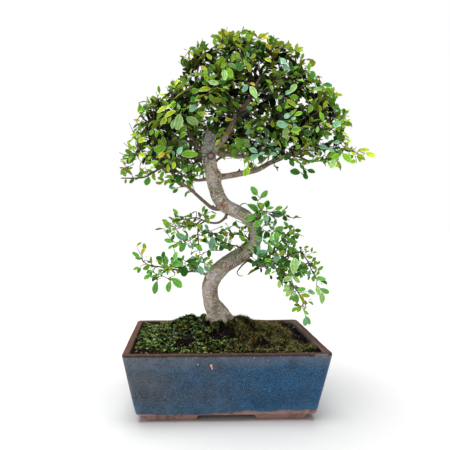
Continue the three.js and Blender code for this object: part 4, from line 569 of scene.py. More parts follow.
def new_mesh(name, points, faces):
    """A mesh of millimetre points and of faces that all have the same number of corners."""
    faces = np.asarray(faces, np.int32)
    mesh = bpy.data.meshes.new(name)
    mesh.vertices.add(len(points))
    mesh.vertices.foreach_set("co", to_frame(points).astype(np.float32).ravel())
    mesh.loops.add(faces.size)
    mesh.loops.foreach_set("vertex_index", faces.ravel())
    mesh.polygons.add(len(faces))
    mesh.polygons.foreach_set("loop_start", np.arange(0, faces.size, faces.shape[1], dtype=np.int32))
    mesh.update(calc_edges=True)
    mesh.shade_smooth()
    return mesh


def new_piece(name, mesh, material):
    """An object of the mesh in the scene, with its material."""
    piece = bpy.data.objects.new(name, mesh)
    bpy.context.scene.collection.objects.link(piece)
    mesh.materials.append(material)
    return piece


def millimetres_of(mesh):
    """A mesh's points, in millimetres about the middle of the pot."""
    points = np.empty(len(mesh.vertices) * 3, np.float32)
    mesh.vertices.foreach_get("co", points)
    return (points.reshape(-1, 3) - POT_MIDDLE) / MM


def move_points(mesh, points):
    """Moves a mesh's points to places in millimetres."""
    mesh.vertices.foreach_set("co", to_frame(points).astype(np.float32).ravel())
    mesh.update()


def keep_number(mesh, name, values):
    """Keeps one number for each point of the mesh, for its material to read."""
    mesh.attributes.new(name, "FLOAT", "POINT").data.foreach_set("value", np.asarray(values, np.float32))


def keep_vector(mesh, name, vectors):
    """Keeps a vector for each point of the mesh, for its material to read."""
    mesh.attributes.new(name, "FLOAT_VECTOR", "POINT").data.foreach_set(
        "vector", np.asarray(vectors, np.float32).ravel())


def keep_colour(mesh, name, colours):
    """Keeps a linear colour for each point of the mesh, for its material to read."""
    colours = np.concatenate([colours, np.ones((len(colours), 1))], axis=1)
    mesh.attributes.new(name, "FLOAT_COLOR", "POINT").data.foreach_set(
        "color", colours.astype(np.float32).ravel())


def blended(first, second, part):
    """Colours mixed row by row, from first at 0 to second at 1."""
    part = np.asarray(part)[..., None]
    return np.asarray(first) * (1 - part) + np.asarray(second) * part


def add(tree, kind, inputs=None, out=0, **settings):
    """Adds one shader node with its settings and links, and gives one of its outputs. An input is a
    value or another node's output."""
    node = tree.nodes.new("ShaderNode" + kind)
    for name, value in settings.items():
        setattr(node, name, value)
    for socket, value in (inputs or {}).items():
        if isinstance(value, bpy.types.NodeSocket):
            tree.links.new(value, node.inputs[socket])
        else:
            node.inputs[socket].default_value = value
    return node.outputs[out] if node.outputs else None


def new_material(name, constants):
    """A material, its node tree and its shader, with the values that are the same all over set."""
    material = bpy.data.materials.new(name)
    material.use_nodes = True
    shader = material.node_tree.nodes["Principled BSDF"]
    for socket, value in constants.items():
        shader.inputs[socket].default_value = value
    return material, material.node_tree, shader


def wire(tree, shader, sources):
    """Links the named sockets of a shader to their sources."""
    for socket, source in sources.items():
        tree.links.new(source, shader.inputs[socket])


def per(size):
    """The texture scale whose features are size millimetres across, for coordinates in metres."""
    return 1 / (size * MM)


def solid(colour):
    """A linear colour with full alpha, as a node's socket takes it."""
    return (*colour, 1)


# The sockets of a Mix node that work on colours
MIX_A, MIX_B, MIX_RESULT = 6, 7, 2


def glazed_stoneware(look):
    """Stoneware pressed from red clay and dipped in a thin glaze: a half-gloss, speckled blue that
    breaks to grey-violet and bronze where it is thin, and matt gritty clay where it was wiped off."""
    material, tree, shader = new_material("glazed_stoneware", {
        "IOR": 1.5, "Metallic": 0, "Specular IOR Level": 0.25})
    place = add(tree, "TexCoord", out="Object")
    x, y, z = add(tree, "SeparateXYZ", {0: place}).node.outputs
    middle, front, rim = POT_MIDDLE[0], POT_LOW.y, POT_HEIGHT * MM
    glazed = add(tree, "Attribute", out="Fac", attribute_name="glaze")
    # Kiln clouds 40 mm across, thin places of 30, runs of 12, speckle drawn 1 mm across though it is
    # finer, iron blots of 2.4, lime flecks of 2.6, stains of 9 and grit of 0.9
    clouds, thin, runs, grain, blots, flecks, stain, grit = [
        add(tree, "TexNoise", {"Vector": place, "Scale": per(size), "Detail": detail, "Roughness": rough})
        for size, detail, rough in ((40, 5, 0.62), (30, 6, 0.7), (12, 6, 0.68), (1, 3, 0.7), (2.4, 4, 0.7),
                                    (2.6, 3, 0.6), (9, 7, 0.7), (0.9, 3, 0.6))]
    # The clouds move the borders of the colours about, and the runs make them darker and lighter
    drift, depth, gloss = [
        add(tree, "MapRange", {
            "Value": value, "From Min": start, "From Max": stop, "To Min": low, "To Max": high})
        for value, start, stop, low, high in (
            (clouds, 0.3, 0.7, -0.045, 0.045), (runs, 0.35, 0.65, 0.66, 1.3), (grain, 0.3, 0.7, 0.3, 0.46))]
    sideways = add(tree, "Math", {0: x, 1: drift}, operation="ADD")
    high = add(tree, "Math", {0: drift, 1: 0.12, 2: z}, operation="MULTIPLY_ADD")
    # Where the glaze is full at the right, milky under the rim and pooled along the foot, and where
    # the clay is low down and darker just under the rim's top: from where it grows, to where, and its most
    to_right, near_rim, pooled, low, darker_rim_band = [
        add(tree, "MapRange", {"Value": value, "From Min": start, "From Max": stop, "To Max": most},
            interpolation_type="SMOOTHSTEP")
        for value, start, stop, most in (
            (sideways, middle - 0.085, middle + 0.05, 1), (high, rim - 0.017, rim - 0.003, 0.6),
            (high, 0.026, 0.009, 0.45), (z, 0.04, 0.015, 1), (z, rim - 0.0005, rim - 0.0012, 0.85))]
    # White specks of lime sit in a few cells of 11 mm, and lime dried in flecks along the top
    distance, cell = add(tree, "TexVoronoi", {
        "Vector": place, "Scale": per(11), "Randomness": 1}).node.outputs[:2]
    chosen = add(tree, "Math", {0: add(tree, "SeparateXYZ", {0: cell}), 1: 0.86}, operation="GREATER_THAN")
    edge = add(tree, "MapRange", {
        "Value": high, "From Min": rim - 0.009, "From Max": rim - 0.003, "To Max": 0.12})
    dried = add(tree, "Math", {0: flecks, 1: edge}, operation="ADD")
    # In the same way, the shares of bronze, light and dark speckle, specks and flecks of lime, soiled,
    # handled and pitted clay, chalk, fresh clay in the chip, and the crust with its four borders down
    # the inside of the right wall
    bronze, light, dark, speck, dried, soiled, handled, pits, chalky, fresh, crust, *borders = [
        add(tree, "MapRange", {"Value": value, "From Min": start, "From Max": stop, "To Max": most})
        for value, start, stop, most in (
            (thin, 0.44, 0.6, 0.5), (grain, 0.5, 0.72, 0.7), (blots, 0.43, 0.3, 0.7),
            (distance, 0.075, 0.045, 1), (dried, 0.75, 0.82, 0.5), (stain, 0.5, 0.68, 0.75),
            (y, front + 0.008, front + 0.005, 0.5), (grain, 0.42, 0.3, 0.8), (grain, 0.55, 0.72, 0.6),
            (glazed, -0.1, -0.7, 1), (stain, 0.3, 0.42, 0.95), (x, middle + 0.079, middle + 0.081, 1),
            (x, middle + 0.093, middle + 0.091, 1), (z, rim - 0.0005, rim - 0.0016, 1), (z, 0.03, 0.05, 1))]
    bronze = add(tree, "Math", {0: bronze, 1: to_right}, operation="SUBTRACT", use_clamp=True)
    speck = add(tree, "Math", {0: speck, 1: chosen}, operation="MULTIPLY")
    handled = add(tree, "Math", {0: handled, 1: low}, operation="SUBTRACT")
    for patch in (handled, pits):
        soiled = add(tree, "Math", {0: soiled, 1: patch}, operation="MAXIMUM")
    for border in borders:
        crust = add(tree, "Math", {0: crust, 1: border}, operation="MULTIPLY")
    above = add(tree, "Math", {0: z, 1: rim - 0.009}, operation="GREATER_THAN")
    # The darker band keeps to the top few millimetres of the rim
    darker_rim_band = add(tree, "Math", {0: darker_rim_band, 1: above}, operation="MULTIPLY")
    # Each colour is laid over the ones before it, first on the glaze and then on the clay
    body, clay = solid(look.glaze_left), solid(look.clay_rim)
    for share, tone in ((to_right, look.glaze_right), (bronze, look.glaze_bronze), (near_rim, look.glaze_rim),
                        (pooled, look.glaze_foot)):
        body = add(tree, "Mix", {0: share, MIX_A: body, MIX_B: solid(tone)}, MIX_RESULT, data_type="RGBA")
    body = add(tree, "HueSaturation", {"Value": depth, "Color": body})
    for share, tone in ((light, look.glaze_speckle), (dark, look.glaze_iron), (speck, look.lime_speck),
                        (dried, look.lime_speck)):
        body = add(tree, "Mix", {0: share, MIX_A: body, MIX_B: solid(tone)}, MIX_RESULT, data_type="RGBA")
    for share, tone in ((low, look.clay_foot), (soiled, look.clay_stain), (chalky, look.clay_bloom),
                        (crust, look.lime_crust), (darker_rim_band, look.clay_rim_band), (fresh, look.clay_fresh)):
        clay = add(tree, "Mix", {0: share, MIX_A: clay, MIX_B: solid(tone)}, MIX_RESULT, data_type="RGBA")
    colour = add(tree, "Mix", {0: glazed, MIX_A: clay, MIX_B: body}, MIX_RESULT, data_type="RGBA")
    rough = add(tree, "Mix", {0: glazed, 2: 0.9, 3: gloss}, data_type="FLOAT")
    tooth = add(tree, "Mix", {0: glazed, 2: 1.0, 3: 0.16}, data_type="FLOAT")
    relief = add(tree, "Bump", {"Strength": tooth, "Distance": 0.35 * MM, "Height": grit})
    wire(tree, shader, {"Base Color": colour, "Roughness": rough, "Normal": relief})
    return material


def moulded_mesh(look):
    """Drain mesh moulded in dark polypropylene: waxy and a little glossy, dusty in its grain."""
    material, tree, shader = new_material("moulded_polypropylene", {
        "IOR": 1.49, "Metallic": 0, "Roughness": 0.5})
    place = add(tree, "TexCoord", out="Object")
    dust = add(tree, "TexNoise", {"Vector": place, "Scale": per(2), "Detail": 4})
    colour = add(tree, "Mix", {
        0: dust, MIX_A: solid(look.screen), MIX_B: solid(look.screen_dust)}, MIX_RESULT, data_type="RGBA")
    relief = add(tree, "Bump", {"Strength": 0.3, "Distance": 0.1 * MM, "Height": dust})
    wire(tree, shader, {"Base Color": colour, "Normal": relief})
    return material


def grown_or_crumbled(name, constants, attribute, size, detail, darkest, lightest, strength, depth):
    """A matt material of its mesh's own colours, mottled from darkest to lightest by a noise of a
    size in millimetres, and as rough as it to a depth."""
    material, tree, shader = new_material(name, {"IOR": 1.4, "Metallic": 0, **constants})
    place = add(tree, "TexCoord", out="Object")
    shade = add(tree, "Attribute", out="Color", attribute_name=attribute)
    noise = add(tree, "TexNoise", {"Vector": place, "Scale": per(size), "Detail": detail, "Roughness": 0.7})
    lit = add(tree, "MapRange", {
        "Value": noise, "From Min": 0.35, "From Max": 0.65, "To Min": darkest, "To Max": lightest})
    colour = add(tree, "HueSaturation", {"Value": lit, "Color": shade})
    relief = add(tree, "Bump", {"Strength": strength, "Distance": depth * MM, "Height": noise})
    wire(tree, shader, {"Base Color": colour, "Normal": relief})
    return material


def potting_mix():
    """Damp potting mix of peat, bark crumbs and grit: nearly black and matt, with brown crumbs."""
    return grown_or_crumbled("potting_mix", {"Roughness": 0.9, "Specular IOR Level": 0.2}, "crumb_colour",
                             1.4, 5, 0.45, 1.3, 0.9, 0.5)


def living_moss():
    """Moss and tiny ground plants: soft and matt, mottled by its fine fibres."""
    return grown_or_crumbled("living_moss", {"Roughness": 0.75, "Specular IOR Level": 0.05}, "moss_colour",
                             0.8, 3, 0.7, 1.25, 0.6, 0.3)


def elm_bark(look):
    """Young elm bark: a smooth grey skin with lavender and green patches, rusty where it flakes,
    crossed by fine pores. Thin wood is still brown, the trunk's cut top has weathered, and wood deep in
    the crown is darkened by painted shade."""
    material, tree, shader = new_material("elm_bark", {"IOR": 1.45, "Metallic": 0})
    place = add(tree, "TexCoord", out="Object")
    grain, measured, wound = [
        add(tree, "Attribute", out="Vector", attribute_name="bark_" + name)
        for name in ("grain", "patch", "wound")]
    girth, weathered = [
        add(tree, "Attribute", out="Fac", attribute_name="bark_" + name)
        for name in ("girth", "weathered")]
    newer, rustier, greener = add(tree, "SeparateXYZ", {0: measured}).node.outputs
    # The wound's second part darkens the bark to its pores' colour: at the knots, and as painted shade on
    # limbs and twigs deep in the crown
    scar, damp, cut = add(tree, "SeparateXYZ", {0: wound}).node.outputs
    # Flakes run along the stem, 5 mm wide and 12 mm long, and pores round it, 3 mm long and 0.7 high
    by_flake, by_pore = [
        add(tree, "VectorMath", {0: grain, 1: (1 / wide, 1 / wide, 1 / high)}, operation="MULTIPLY")
        for wide, high in ((5, 12), (3, 0.7))]
    # Patches of lichen are 16 mm across and those of new skin 9 mm
    lichen, skin, flakes, pores = [
        add(tree, "TexNoise", {"Vector": at, "Scale": scale, "Detail": detail, "Roughness": rough})
        for at, scale, detail, rough in (
            (place, per(16), 4, 0.6), (place, per(9), 5, 0.65),
            (by_flake, 1, 5, 0.7), (by_pore, 1, 4, 0.65))]
    green, lavender, rusty, height = [
        add(tree, "Math", {0: more, 1: share, 2: value}, operation="MULTIPLY_ADD")
        for more, share, value in ((greener, 0.16, lichen), (newer, 0.2, skin), (rustier, 0.13, flakes),
                                   (pores, 0.6, flakes))]
    # The shares of the colours, in the way of the glaze
    green, lavender, rusty, dark, pale, thin, young = [
        add(tree, "MapRange", {"Value": value, "From Min": start, "From Max": stop, "To Max": most})
        for value, start, stop, most in (
            (green, 0.42, 0.6, 1), (lavender, 0.58, 0.7, 0.8), (rusty, 0.54, 0.63, 0.85),
            (pores, 0.43, 0.33, 0.7), (pores, 0.51, 0.62, 0.85),
            (girth, 5.2, 2.4, 0.85), (girth, 1.5, 0.9, 0.8))]
    colour = solid(look.bark_grey)
    for share, tone in (
            (green, look.bark_green), (lavender, look.bark_lavender), (weathered, look.bark_weathered),
            (rusty, look.bark_rust), (dark, look.bark_pore), (pale, look.bark_bloom), (thin, look.bark_brown),
            (young, look.twig_brown), (scar, look.bark_scar), (damp, look.bark_pore), (cut, look.cut_wood)):
        colour = add(tree, "Mix", {0: share, MIX_A: colour, MIX_B: solid(tone)}, MIX_RESULT, data_type="RGBA")
    rough = add(tree, "MapRange", {"Value": flakes, "To Min": 0.62, "To Max": 0.92})
    relief = add(tree, "Bump", {"Strength": 1, "Distance": 0.9 * MM, "Height": height})
    wire(tree, shader, {"Base Color": colour, "Roughness": rough, "Normal": relief})
    return material


def elm_leaf(look):
    """Living elm leaf: a waxy blade with a pale midrib, slanting veins and a pale toothed edge,
    that lets part of the light through."""
    material, tree, shader = new_material("elm_leaf", {
        "IOR": 1.42, "Metallic": 0, "Roughness": 0.5, "Specular IOR Level": 0.1})
    place = add(tree, "TexCoord", out="Object")
    shade = add(tree, "Attribute", out="Color", attribute_name="leaf_colour")
    blade = add(tree, "Attribute", out="Vector", attribute_name="blade")
    across, along_it, to_edge = add(tree, "SeparateXYZ", {0: blade}).node.outputs
    aside = add(tree, "Math", {0: across}, operation="ABSOLUTE")
    slanting = add(tree, "Math", {0: aside, 1: -0.8, 2: along_it}, operation="MULTIPLY_ADD")
    turns = add(tree, "Math", {0: slanting, 1: look.vein_pairs * 2 * math.pi}, operation="MULTIPLY")
    waves = add(tree, "Math", {0: turns}, operation="SINE")
    mottle = add(tree, "TexNoise", {"Vector": place, "Scale": per(3.5), "Detail": 4, "Roughness": 0.65})
    midrib, veins, rim, lit = [
        add(tree, "MapRange", {
            "Value": value, "From Min": start, "From Max": stop, "To Min": low, "To Max": high})
        for value, start, stop, low, high in (
            (aside, 0.05, 0.02, 0, 1), (waves, 0.8, 1, 0, 0.6),
            (to_edge, 0.55, 0.95, 0, 0.8), (mottle, 0.35, 0.65, 0.82, 1.15))]
    lines = add(tree, "Math", {0: midrib, 1: veins}, operation="MAXIMUM")
    pale = add(tree, "Math", {0: lines, 1: 0.5, 2: rim}, operation="MULTIPLY_ADD", use_clamp=True)
    colour = add(tree, "HueSaturation", {"Saturation": 1.08, "Value": lit, "Color": shade})
    paler = add(tree, "HueSaturation", {"Saturation": 0.7, "Value": 1.9, "Color": colour})
    colour = add(tree, "Mix", {0: pale, MIX_A: colour, MIX_B: paler}, MIX_RESULT, data_type="RGBA")
    relief = add(tree, "Bump", {"Strength": 0.4, "Distance": 0.25 * MM, "Height": lines}, invert=True)
    wire(tree, shader, {"Base Color": colour, "Normal": relief})
    glow = add(tree, "HueSaturation", {"Hue": 0.485, "Saturation": 1.1, "Value": 1.5, "Color": colour})
    through = add(tree, "BsdfTranslucent", {"Color": glow})
    both = add(tree, "MixShader", {0: look.see_through, 1: shader.outputs[0], 2: through})
    wire(tree, tree.nodes["Material Output"], {"Surface": both})
    return material


def studio_paper(look):
    """Seamless white studio paper: matt, with a faint tooth."""
    material, tree, shader = new_material("studio_paper", {
        "Base Color": solid(look.paper), "Roughness": 0.9, "Specular IOR Level": 0.2})
    place = add(tree, "TexCoord", out="Object")
    tooth = add(tree, "TexNoise", {"Vector": place, "Scale": per(1.5), "Detail": 2})
    relief = add(tree, "Bump", {"Strength": 0.1, "Distance": 0.1 * MM, "Height": tooth})
    wire(tree, shader, {"Normal": relief})
    return material


# How finely the pot's skin is divided: points on each corner, millimetres between the others on a
# wall, points round a drain hole, and the longest edge of a foot
CORNER_STEPS = 9
WALL_STEP = 1.5
DRAIN_STEPS = 48
FOOT_STEP = 3

# The sides of the pot's middle that its corners lie on, anticlockwise from above
CORNERS = ((1, 1), (-1, 1), (-1, -1), (1, -1))

# How high the waves of the pot's hand-finished walls are, and how thick the glaze on them is
WALL_WAVE = 0.3
GLAZE_STEP = 0.3

# The rounding of the foot's edges, and of the rim towards the inside
FOOT_ROUND = 1.1
INNER_ROUND = 1.5

# The chip in the front wall: its middle along X and up Z, its half width and half height, its depth
CHIP = (-14.7, 55.2, 1.5, 3.6, 0.6)


def wall_lean(z):
    """How far the wall stands in from the rim at each height."""
    return WALL_LEAN * (POT_HEIGHT - z) / (POT_HEIGHT - FOOT_HEIGHT)


def wall_ring(inset, z, radius):
    """The pot's rounded rectangle at a height, inset from its outer wall, anticlockwise from above."""
    half_x = POT_HALF_LENGTH - wall_lean(z) - inset - radius
    half_y = POT_HALF_DEPTH - wall_lean(z) - inset - radius
    turns = np.linspace(0, math.pi / 2, CORNER_STEPS)
    along_x = int(2 * POT_HALF_LENGTH / WALL_STEP)
    along_y = int(2 * POT_HALF_DEPTH / WALL_STEP)
    points = []
    for corner, count in enumerate((along_x, along_y, along_x, along_y)):
        angles = corner * math.pi / 2 + turns
        here, there = np.array([CORNERS[corner], CORNERS[(corner + 1) % 4]]) * (half_x, half_y)
        arc = here + radius * np.column_stack([np.cos(angles), np.sin(angles)])
        reach = there + radius * np.array([math.cos(angles[-1]), math.sin(angles[-1])])
        points.extend([arc, arc[-1] + (reach - arc[-1]) * (np.arange(1, count) / count)[:, None]])
    plan = np.concatenate(points)
    return np.column_stack([plan, np.full(len(plan), z)])


def wall_profile():
    """The pot's section from the underside round the wall and rim to its floor: inset, height and
    corner radius."""
    quarter = np.linspace(0, math.pi / 2, 6)
    rows = []
    for a in quarter:
        tuck = 1 - math.sin(a)
        rows.append((2.5 * tuck, FOOT_HEIGHT + 3 * (1 - math.cos(a)), CORNER_RADIUS - 2 * tuck))
    for z in np.arange(FOOT_HEIGHT + 4.5, POT_HEIGHT - RIM_ROUND - 0.7, WALL_STEP):
        rows.append((0, z, CORNER_RADIUS))
    for a in quarter:
        turned = RIM_ROUND * (1 - math.cos(a))
        rows.append((turned, POT_HEIGHT - RIM_ROUND * (1 - math.sin(a)), CORNER_RADIUS - 0.7 * turned))
    rows.extend((inset, POT_HEIGHT, INNER_CORNER + 0.5) for inset in (2.8, 4.2))
    for a in quarter:
        drop = INNER_ROUND * (1 - math.cos(a))
        rows.append((WALL_THICKNESS - INNER_ROUND + INNER_ROUND * math.sin(a), POT_HEIGHT - drop,
                     INNER_CORNER + 0.5 - drop / 3))
    rows.extend((WALL_THICKNESS, z, INNER_CORNER) for z in (62, 56, 48, 36, 24, FLOOR_TOP + FLOOR_FILLET))
    for a in quarter[1:]:
        turned = 1 - math.cos(a)
        rows.append((WALL_THICKNESS + FLOOR_FILLET * turned, FLOOR_TOP + FLOOR_FILLET * (1 - math.sin(a)),
                     INNER_CORNER - 2 * turned))
    return rows


def from_wall(points):
    """How far inside the pot's outer wall each point is, and the way out through the wall there."""
    x, y, z = points.T
    past_x = np.abs(x) - (POT_HALF_LENGTH - wall_lean(z) - CORNER_RADIUS)
    past_y = np.abs(y) - (POT_HALF_DEPTH - wall_lean(z) - CORNER_RADIUS)
    over_x, over_y = np.maximum(past_x, 0), np.maximum(past_y, 0)
    inset = CORNER_RADIUS - np.hypot(over_x, over_y) - np.minimum(np.maximum(past_x, past_y), 0)
    return inset, unit(np.column_stack([np.sign(x) * over_x, np.sign(y) * over_y, np.zeros_like(z)]))


def glaze_edge(x):
    """The height down to which the glaze runs at each place along the wall."""
    places = on_plan(x, np.zeros_like(x))
    waves = 1.2 * roughness_at(places, 22, 3) + 0.6 * roughness_at(places, 6, 4)
    return 7.8 + 2.6 * eased(x, -25, 30) + waves


def glaze_cover(points):
    """1 where the glaze covers the pot, 0 where its clay is bare on the rim, inside and foot, and -1
    where the chip shows fresh clay."""
    x, y, z = points.T
    along = np.where(np.abs(y) > POT_HALF_DEPTH - WALL_LEAN - CORNER_RADIUS, x, 0.6 * y + 20)
    inset, _ = from_wall(points)
    ragged = 0.5 * roughness_at(points, 5, 6)
    cover = eased(z - glaze_edge(along), -0.6, 0.6) * eased(inset, 2.6, 1.9)
    cover *= eased(z - POT_HEIGHT + 2.4 + ragged, 0.5, -0.3)
    return cover * (1 - chip_depth(points)) - chip_depth(points)


def chip_depth(points):
    """1 in the middle of the chip in the front wall, and 0 outside it."""
    x, y, z = points.T
    middle_x, middle_z, half_width, half_height, _ = CHIP
    apart = np.hypot((x - middle_x + 0.2 * (z - middle_z)) / half_width, (z - middle_z) / half_height)
    return np.where(y < 0, eased(apart, 1.15, 0.75), 0)


def foot_shape(sign_x, sign_y):
    """One bracket foot: an L of two arms, its outer corner cut, with softened edges."""
    rings = []
    for z, draft, end_draft in ((0, FOOT["draft"], FOOT["end_draft"]), (FOOT_HEIGHT + FOOT["sunk"], 0, 0)):
        x = POT_HALF_LENGTH - WALL_LEAN - FOOT["inset"] - draft
        y = POT_HALF_DEPTH - WALL_LEAN - FOOT["set_back"] - draft
        in_x = x - FOOT["width"] + 2 * draft
        in_y = y - FOOT["width"] + 2 * draft
        end_x = x - FOOT["long_arm"] + draft + end_draft
        end_y = y - FOOT["short_arm"] + draft + end_draft
        bend = FOOT["width"] / 4
        corners = [(in_x, in_y), (in_x, end_y), (x, end_y), (x, y - bend),
                   (x - bend, y), (end_x, y), (end_x, in_y)]
        rings.append([(px * sign_x, py * sign_y, z) for px, py in corners])
    shape = bmesh.new()
    low, high = ([shape.verts.new(point) for point in ring] for ring in rings)
    shape.faces.new(low)
    shape.faces.new(high)
    for k in range(len(low)):
        shape.faces.new([low[k], low[k - 1], high[k - 1], high[k]])
    bmesh.ops.recalc_face_normals(shape, faces=shape.faces)
    edges = [edge for edge in shape.edges if min(vert.co.z for vert in edge.verts) < 1
             or len({round(vert.co.z) for vert in edge.verts}) > 1]
    bmesh.ops.bevel(shape, geom=edges, offset=FOOT_ROUND, segments=3, affect="EDGES", profile=0.5)
    bmesh.ops.triangulate(shape, faces=shape.faces)
    for _ in range(4):
        long_edges = [edge for edge in shape.edges if edge.calc_length() > FOOT_STEP]
        bmesh.ops.subdivide_edges(shape, edges=long_edges, cuts=1)
        bmesh.ops.triangulate(shape, faces=shape.faces)
    return shape_of(shape)


def floor_with_drains(outline, z):
    """A flat floor inside an outline, with two round drain holes: its triangles over the outline's
    points followed by the holes' points."""
    turns = np.linspace(0, 2 * math.pi, DRAIN_STEPS, endpoint=False)
    ring = DRAIN_RADIUS * np.column_stack([np.cos(turns), np.sin(turns)])
    holes = [np.column_stack([x + ring[:, 0], ring[:, 1], np.full(DRAIN_STEPS, z)])
             for x in (-DRAIN_OFFSET, DRAIN_OFFSET)]
    loops = [outline, *holes]
    shape = bmesh.new()
    edges = []
    for loop in loops:
        verts = [shape.verts.new(point) for point in loop]
        edges.extend(shape.edges.new((verts[k - 1], verts[k])) for k in range(len(verts)))
    shape.verts.index_update()
    filled = bmesh.ops.triangle_fill(shape, use_beauty=True, edges=edges, normal=(0, 0, 1))
    triangles = [item for item in filled["geom"] if isinstance(item, bmesh.types.BMFace)]
    faces = np.array([[vert.index for vert in face.verts] for face in triangles])
    shape.free()
    return holes, faces


def pot_shape():
    """The pot's points and triangles, without its feet."""
    rings = [wall_ring(*row) for row in wall_profile()]
    count = len(rings[0])
    points = list(rings)
    faces = [ring_faces(len(rings), count)]
    starts = []
    total = len(rings) * count
    for ring, first in ((rings[0], 0), (rings[-1], (len(rings) - 1) * count)):
        holes, filled = floor_with_drains(ring, ring[0][2])
        renumber = np.concatenate([first + np.arange(count), total + np.arange(sum(map(len, holes)))])
        upward = renumber[filled]
        faces.append(upward[:, ::-1] if first == 0 else upward)
        starts.append(total)
        points.extend(holes)
        total += sum(map(len, holes))
    for hole in range(2):
        size = len(holes[hole])
        low = starts[0] + hole * size + np.arange(size)
        high = starts[1] + hole * size + np.arange(size)
        faces.append(np.stack([low, high, np.roll(high, -1)], -1))
        faces.append(np.stack([low, np.roll(high, -1), np.roll(low, -1)], -1))
    return np.concatenate(points), np.concatenate(faces)


def build_pot(look):
    """The fired pot: walls with a hand-finished wave, the glaze's edge, a chip, and its feet."""
    points, faces = pot_shape()
    inset, outward = from_wall(points)
    cover = glaze_cover(points)
    on_wall = eased(inset, 3, 0.8) * eased(points[:, 2], FOOT_HEIGHT + 0.5, FOOT_HEIGHT + 4)
    wave = WALL_WAVE * roughness_at(points, 34, 1) + 0.08 * roughness_at(points, 7, 2)
    push = on_wall * (wave + GLAZE_STEP * (np.maximum(cover, 0) - 1)) - CHIP[-1] * chip_depth(points)
    points = points + outward * push[:, None]
    worn = eased(points[:, 2], POT_HEIGHT - 2, POT_HEIGHT - 0.5)
    points[:, 2] += worn * (0.35 * roughness_at(points, 13, 5) + 0.12 * roughness_at(points, 3, 7) - 0.3)
    foot_points, foot_faces = merged([foot_shape(*signs) for signs in CORNERS])
    grit = roughness_at(foot_points, 1.6, 8) * 0.16 + roughness_at(foot_points, 5, 9) * 0.2
    side = unit(foot_points * (1, 1, 0) - np.sign(foot_points) * (60, 45, 0))
    foot_points = foot_points + side * (grit * eased(foot_points[:, 2], 0.2, 2))[:, None]
    cover = np.concatenate([cover, np.zeros(len(foot_points))])
    points, faces = merged([(points, faces), (foot_points, foot_faces)])
    mesh = new_mesh("glazed_pot", points, faces)
    keep_number(mesh, "glaze", cover)
    return new_piece("glazed_pot", mesh, glazed_stoneware(look))


# How finely the soil and the carpet are divided, and how near the wall crumbs and plants may lie, as
# a share of the way there
GROUND_RINGS = 46
NEAR_WALL = 0.975

# How many points a crumb has
CRUMB_POINTS = 12

# What the random draws for the soil and for the moss start from
SOIL_SEED = 31
MOSS_SEED = 41

# The bare dark soil before the trunk and behind it, and the humps of moss that grow against it:
# middle, reach and, for a hump, its height
BARE_PATCHES = [((3, -27), 9), ((28, 30), 9), ((-8, -34), 6), ((38, -45), 7), ((-40, -40), 7)]
MOSS_HUMPS = [((-19, -12), 9, 5.5), ((-12, -16), 6, 3.5), ((24, 4), 15, 5.5), ((13, -9), 7, 2.5),
              ((-30, -6), 16, 2), ((-22, 10), 24, 4.5), ((-42, 18), 22, 6), ((-3, -15), 6, 4.5)]

# Bearings, in degrees, between which the moss stops short of the wall, and the ring it stops at
BARE_BEARINGS = ((-24, 40), (-153, -137))
BARE_FROM_RING = 0.8


def soil_height(x, y):
    """The height of the heaped soil, without its crumbs."""
    apart = np.hypot((x - HEAP_MIDDLE[0]) / HEAP_REACH[0], (y - HEAP_MIDDLE[1]) / HEAP_REACH[1])
    return SOIL_EDGE + (SOIL_PEAK - SOIL_EDGE) * (1 - np.minimum(apart, 1) ** SOIL_SLOPE)


def ring_of(x, y):
    """How far out a place is, from 0 in the middle of the pot to 1 at its inner wall."""
    lean = WALL_LEAN * (POT_HEIGHT - SOIL_EDGE) / (POT_HEIGHT - FOOT_HEIGHT)
    half_x = POT_HALF_LENGTH - lean - WALL_THICKNESS
    half_y = POT_HALF_DEPTH - lean - WALL_THICKNESS
    return np.maximum(np.abs(x) / half_x, np.abs(y) / half_y)


def moss_cover(x, y):
    """How well the moss covers each place, from 0 to 1."""
    flat = on_plan(x, y)
    ragged = 0.5 * roughness_at(flat, 13, 21) + 0.25 * roughness_at(flat, 5, 22)
    bearing = np.degrees(np.arctan2(y, x))
    ring = ring_of(x, y) + 0.12 * ragged
    bare = np.zeros_like(ring)
    for low, high in BARE_BEARINGS:
        inside = eased(bearing, low - 6, low + 6) * eased(bearing, high + 6, high - 6)
        bare = np.maximum(bare, inside * eased(ring, BARE_FROM_RING - 0.05, BARE_FROM_RING + 0.05))
    for (middle_x, middle_y), reach in BARE_PATCHES:
        apart = np.hypot(x - middle_x, y - middle_y) + 8 * ragged
        bare = np.maximum(bare, eased(apart, reach + 3, reach - 2))
    bare = np.maximum(bare, eased(ragged, 0.1, 0.22) * (0.7 + 0.3 * eased(x, -20, 30)))
    return 1 - bare


def ground_grid(inset):
    """Rings of points over the soil, from the wall to its middle: x and y, ring by ring."""
    rim = wall_ring(WALL_THICKNESS + inset, SOIL_EDGE, INNER_CORNER)[::2, :2]
    shares = np.linspace(1, 0, GROUND_RINGS, endpoint=False) ** 0.85
    return (shares[:, None, None] * rim[None]).reshape(-1, 2), len(rim)


def closed_sheet(plan, count, top, bottom):
    """A closed sheet over a ground grid, between two heights given for each of its points."""
    upper = np.column_stack([plan, top])
    lower = np.column_stack([plan, bottom])
    rings = len(plan) // count
    faces = ring_faces(rings, count)
    spot = np.arange(count)
    beside = (spot + 1) % count
    middle = np.array([[0, 0, top[-count:].mean()], [0, 0, bottom[-count:].mean()]])
    size = len(plan)
    inner = size - count
    cap = np.stack([inner + spot, inner + beside, np.full(count, 2 * size)], -1)
    base = np.stack([size + inner + beside, size + inner + spot, np.full(count, 2 * size + 1)], -1)
    side = np.concatenate([np.stack([spot + size, beside + size, beside], -1),
                           np.stack([spot + size, beside, spot], -1)])
    under = faces[:, ::-1] + size
    return np.concatenate([upper, lower, middle]), np.concatenate([faces, cap, under, base, side])


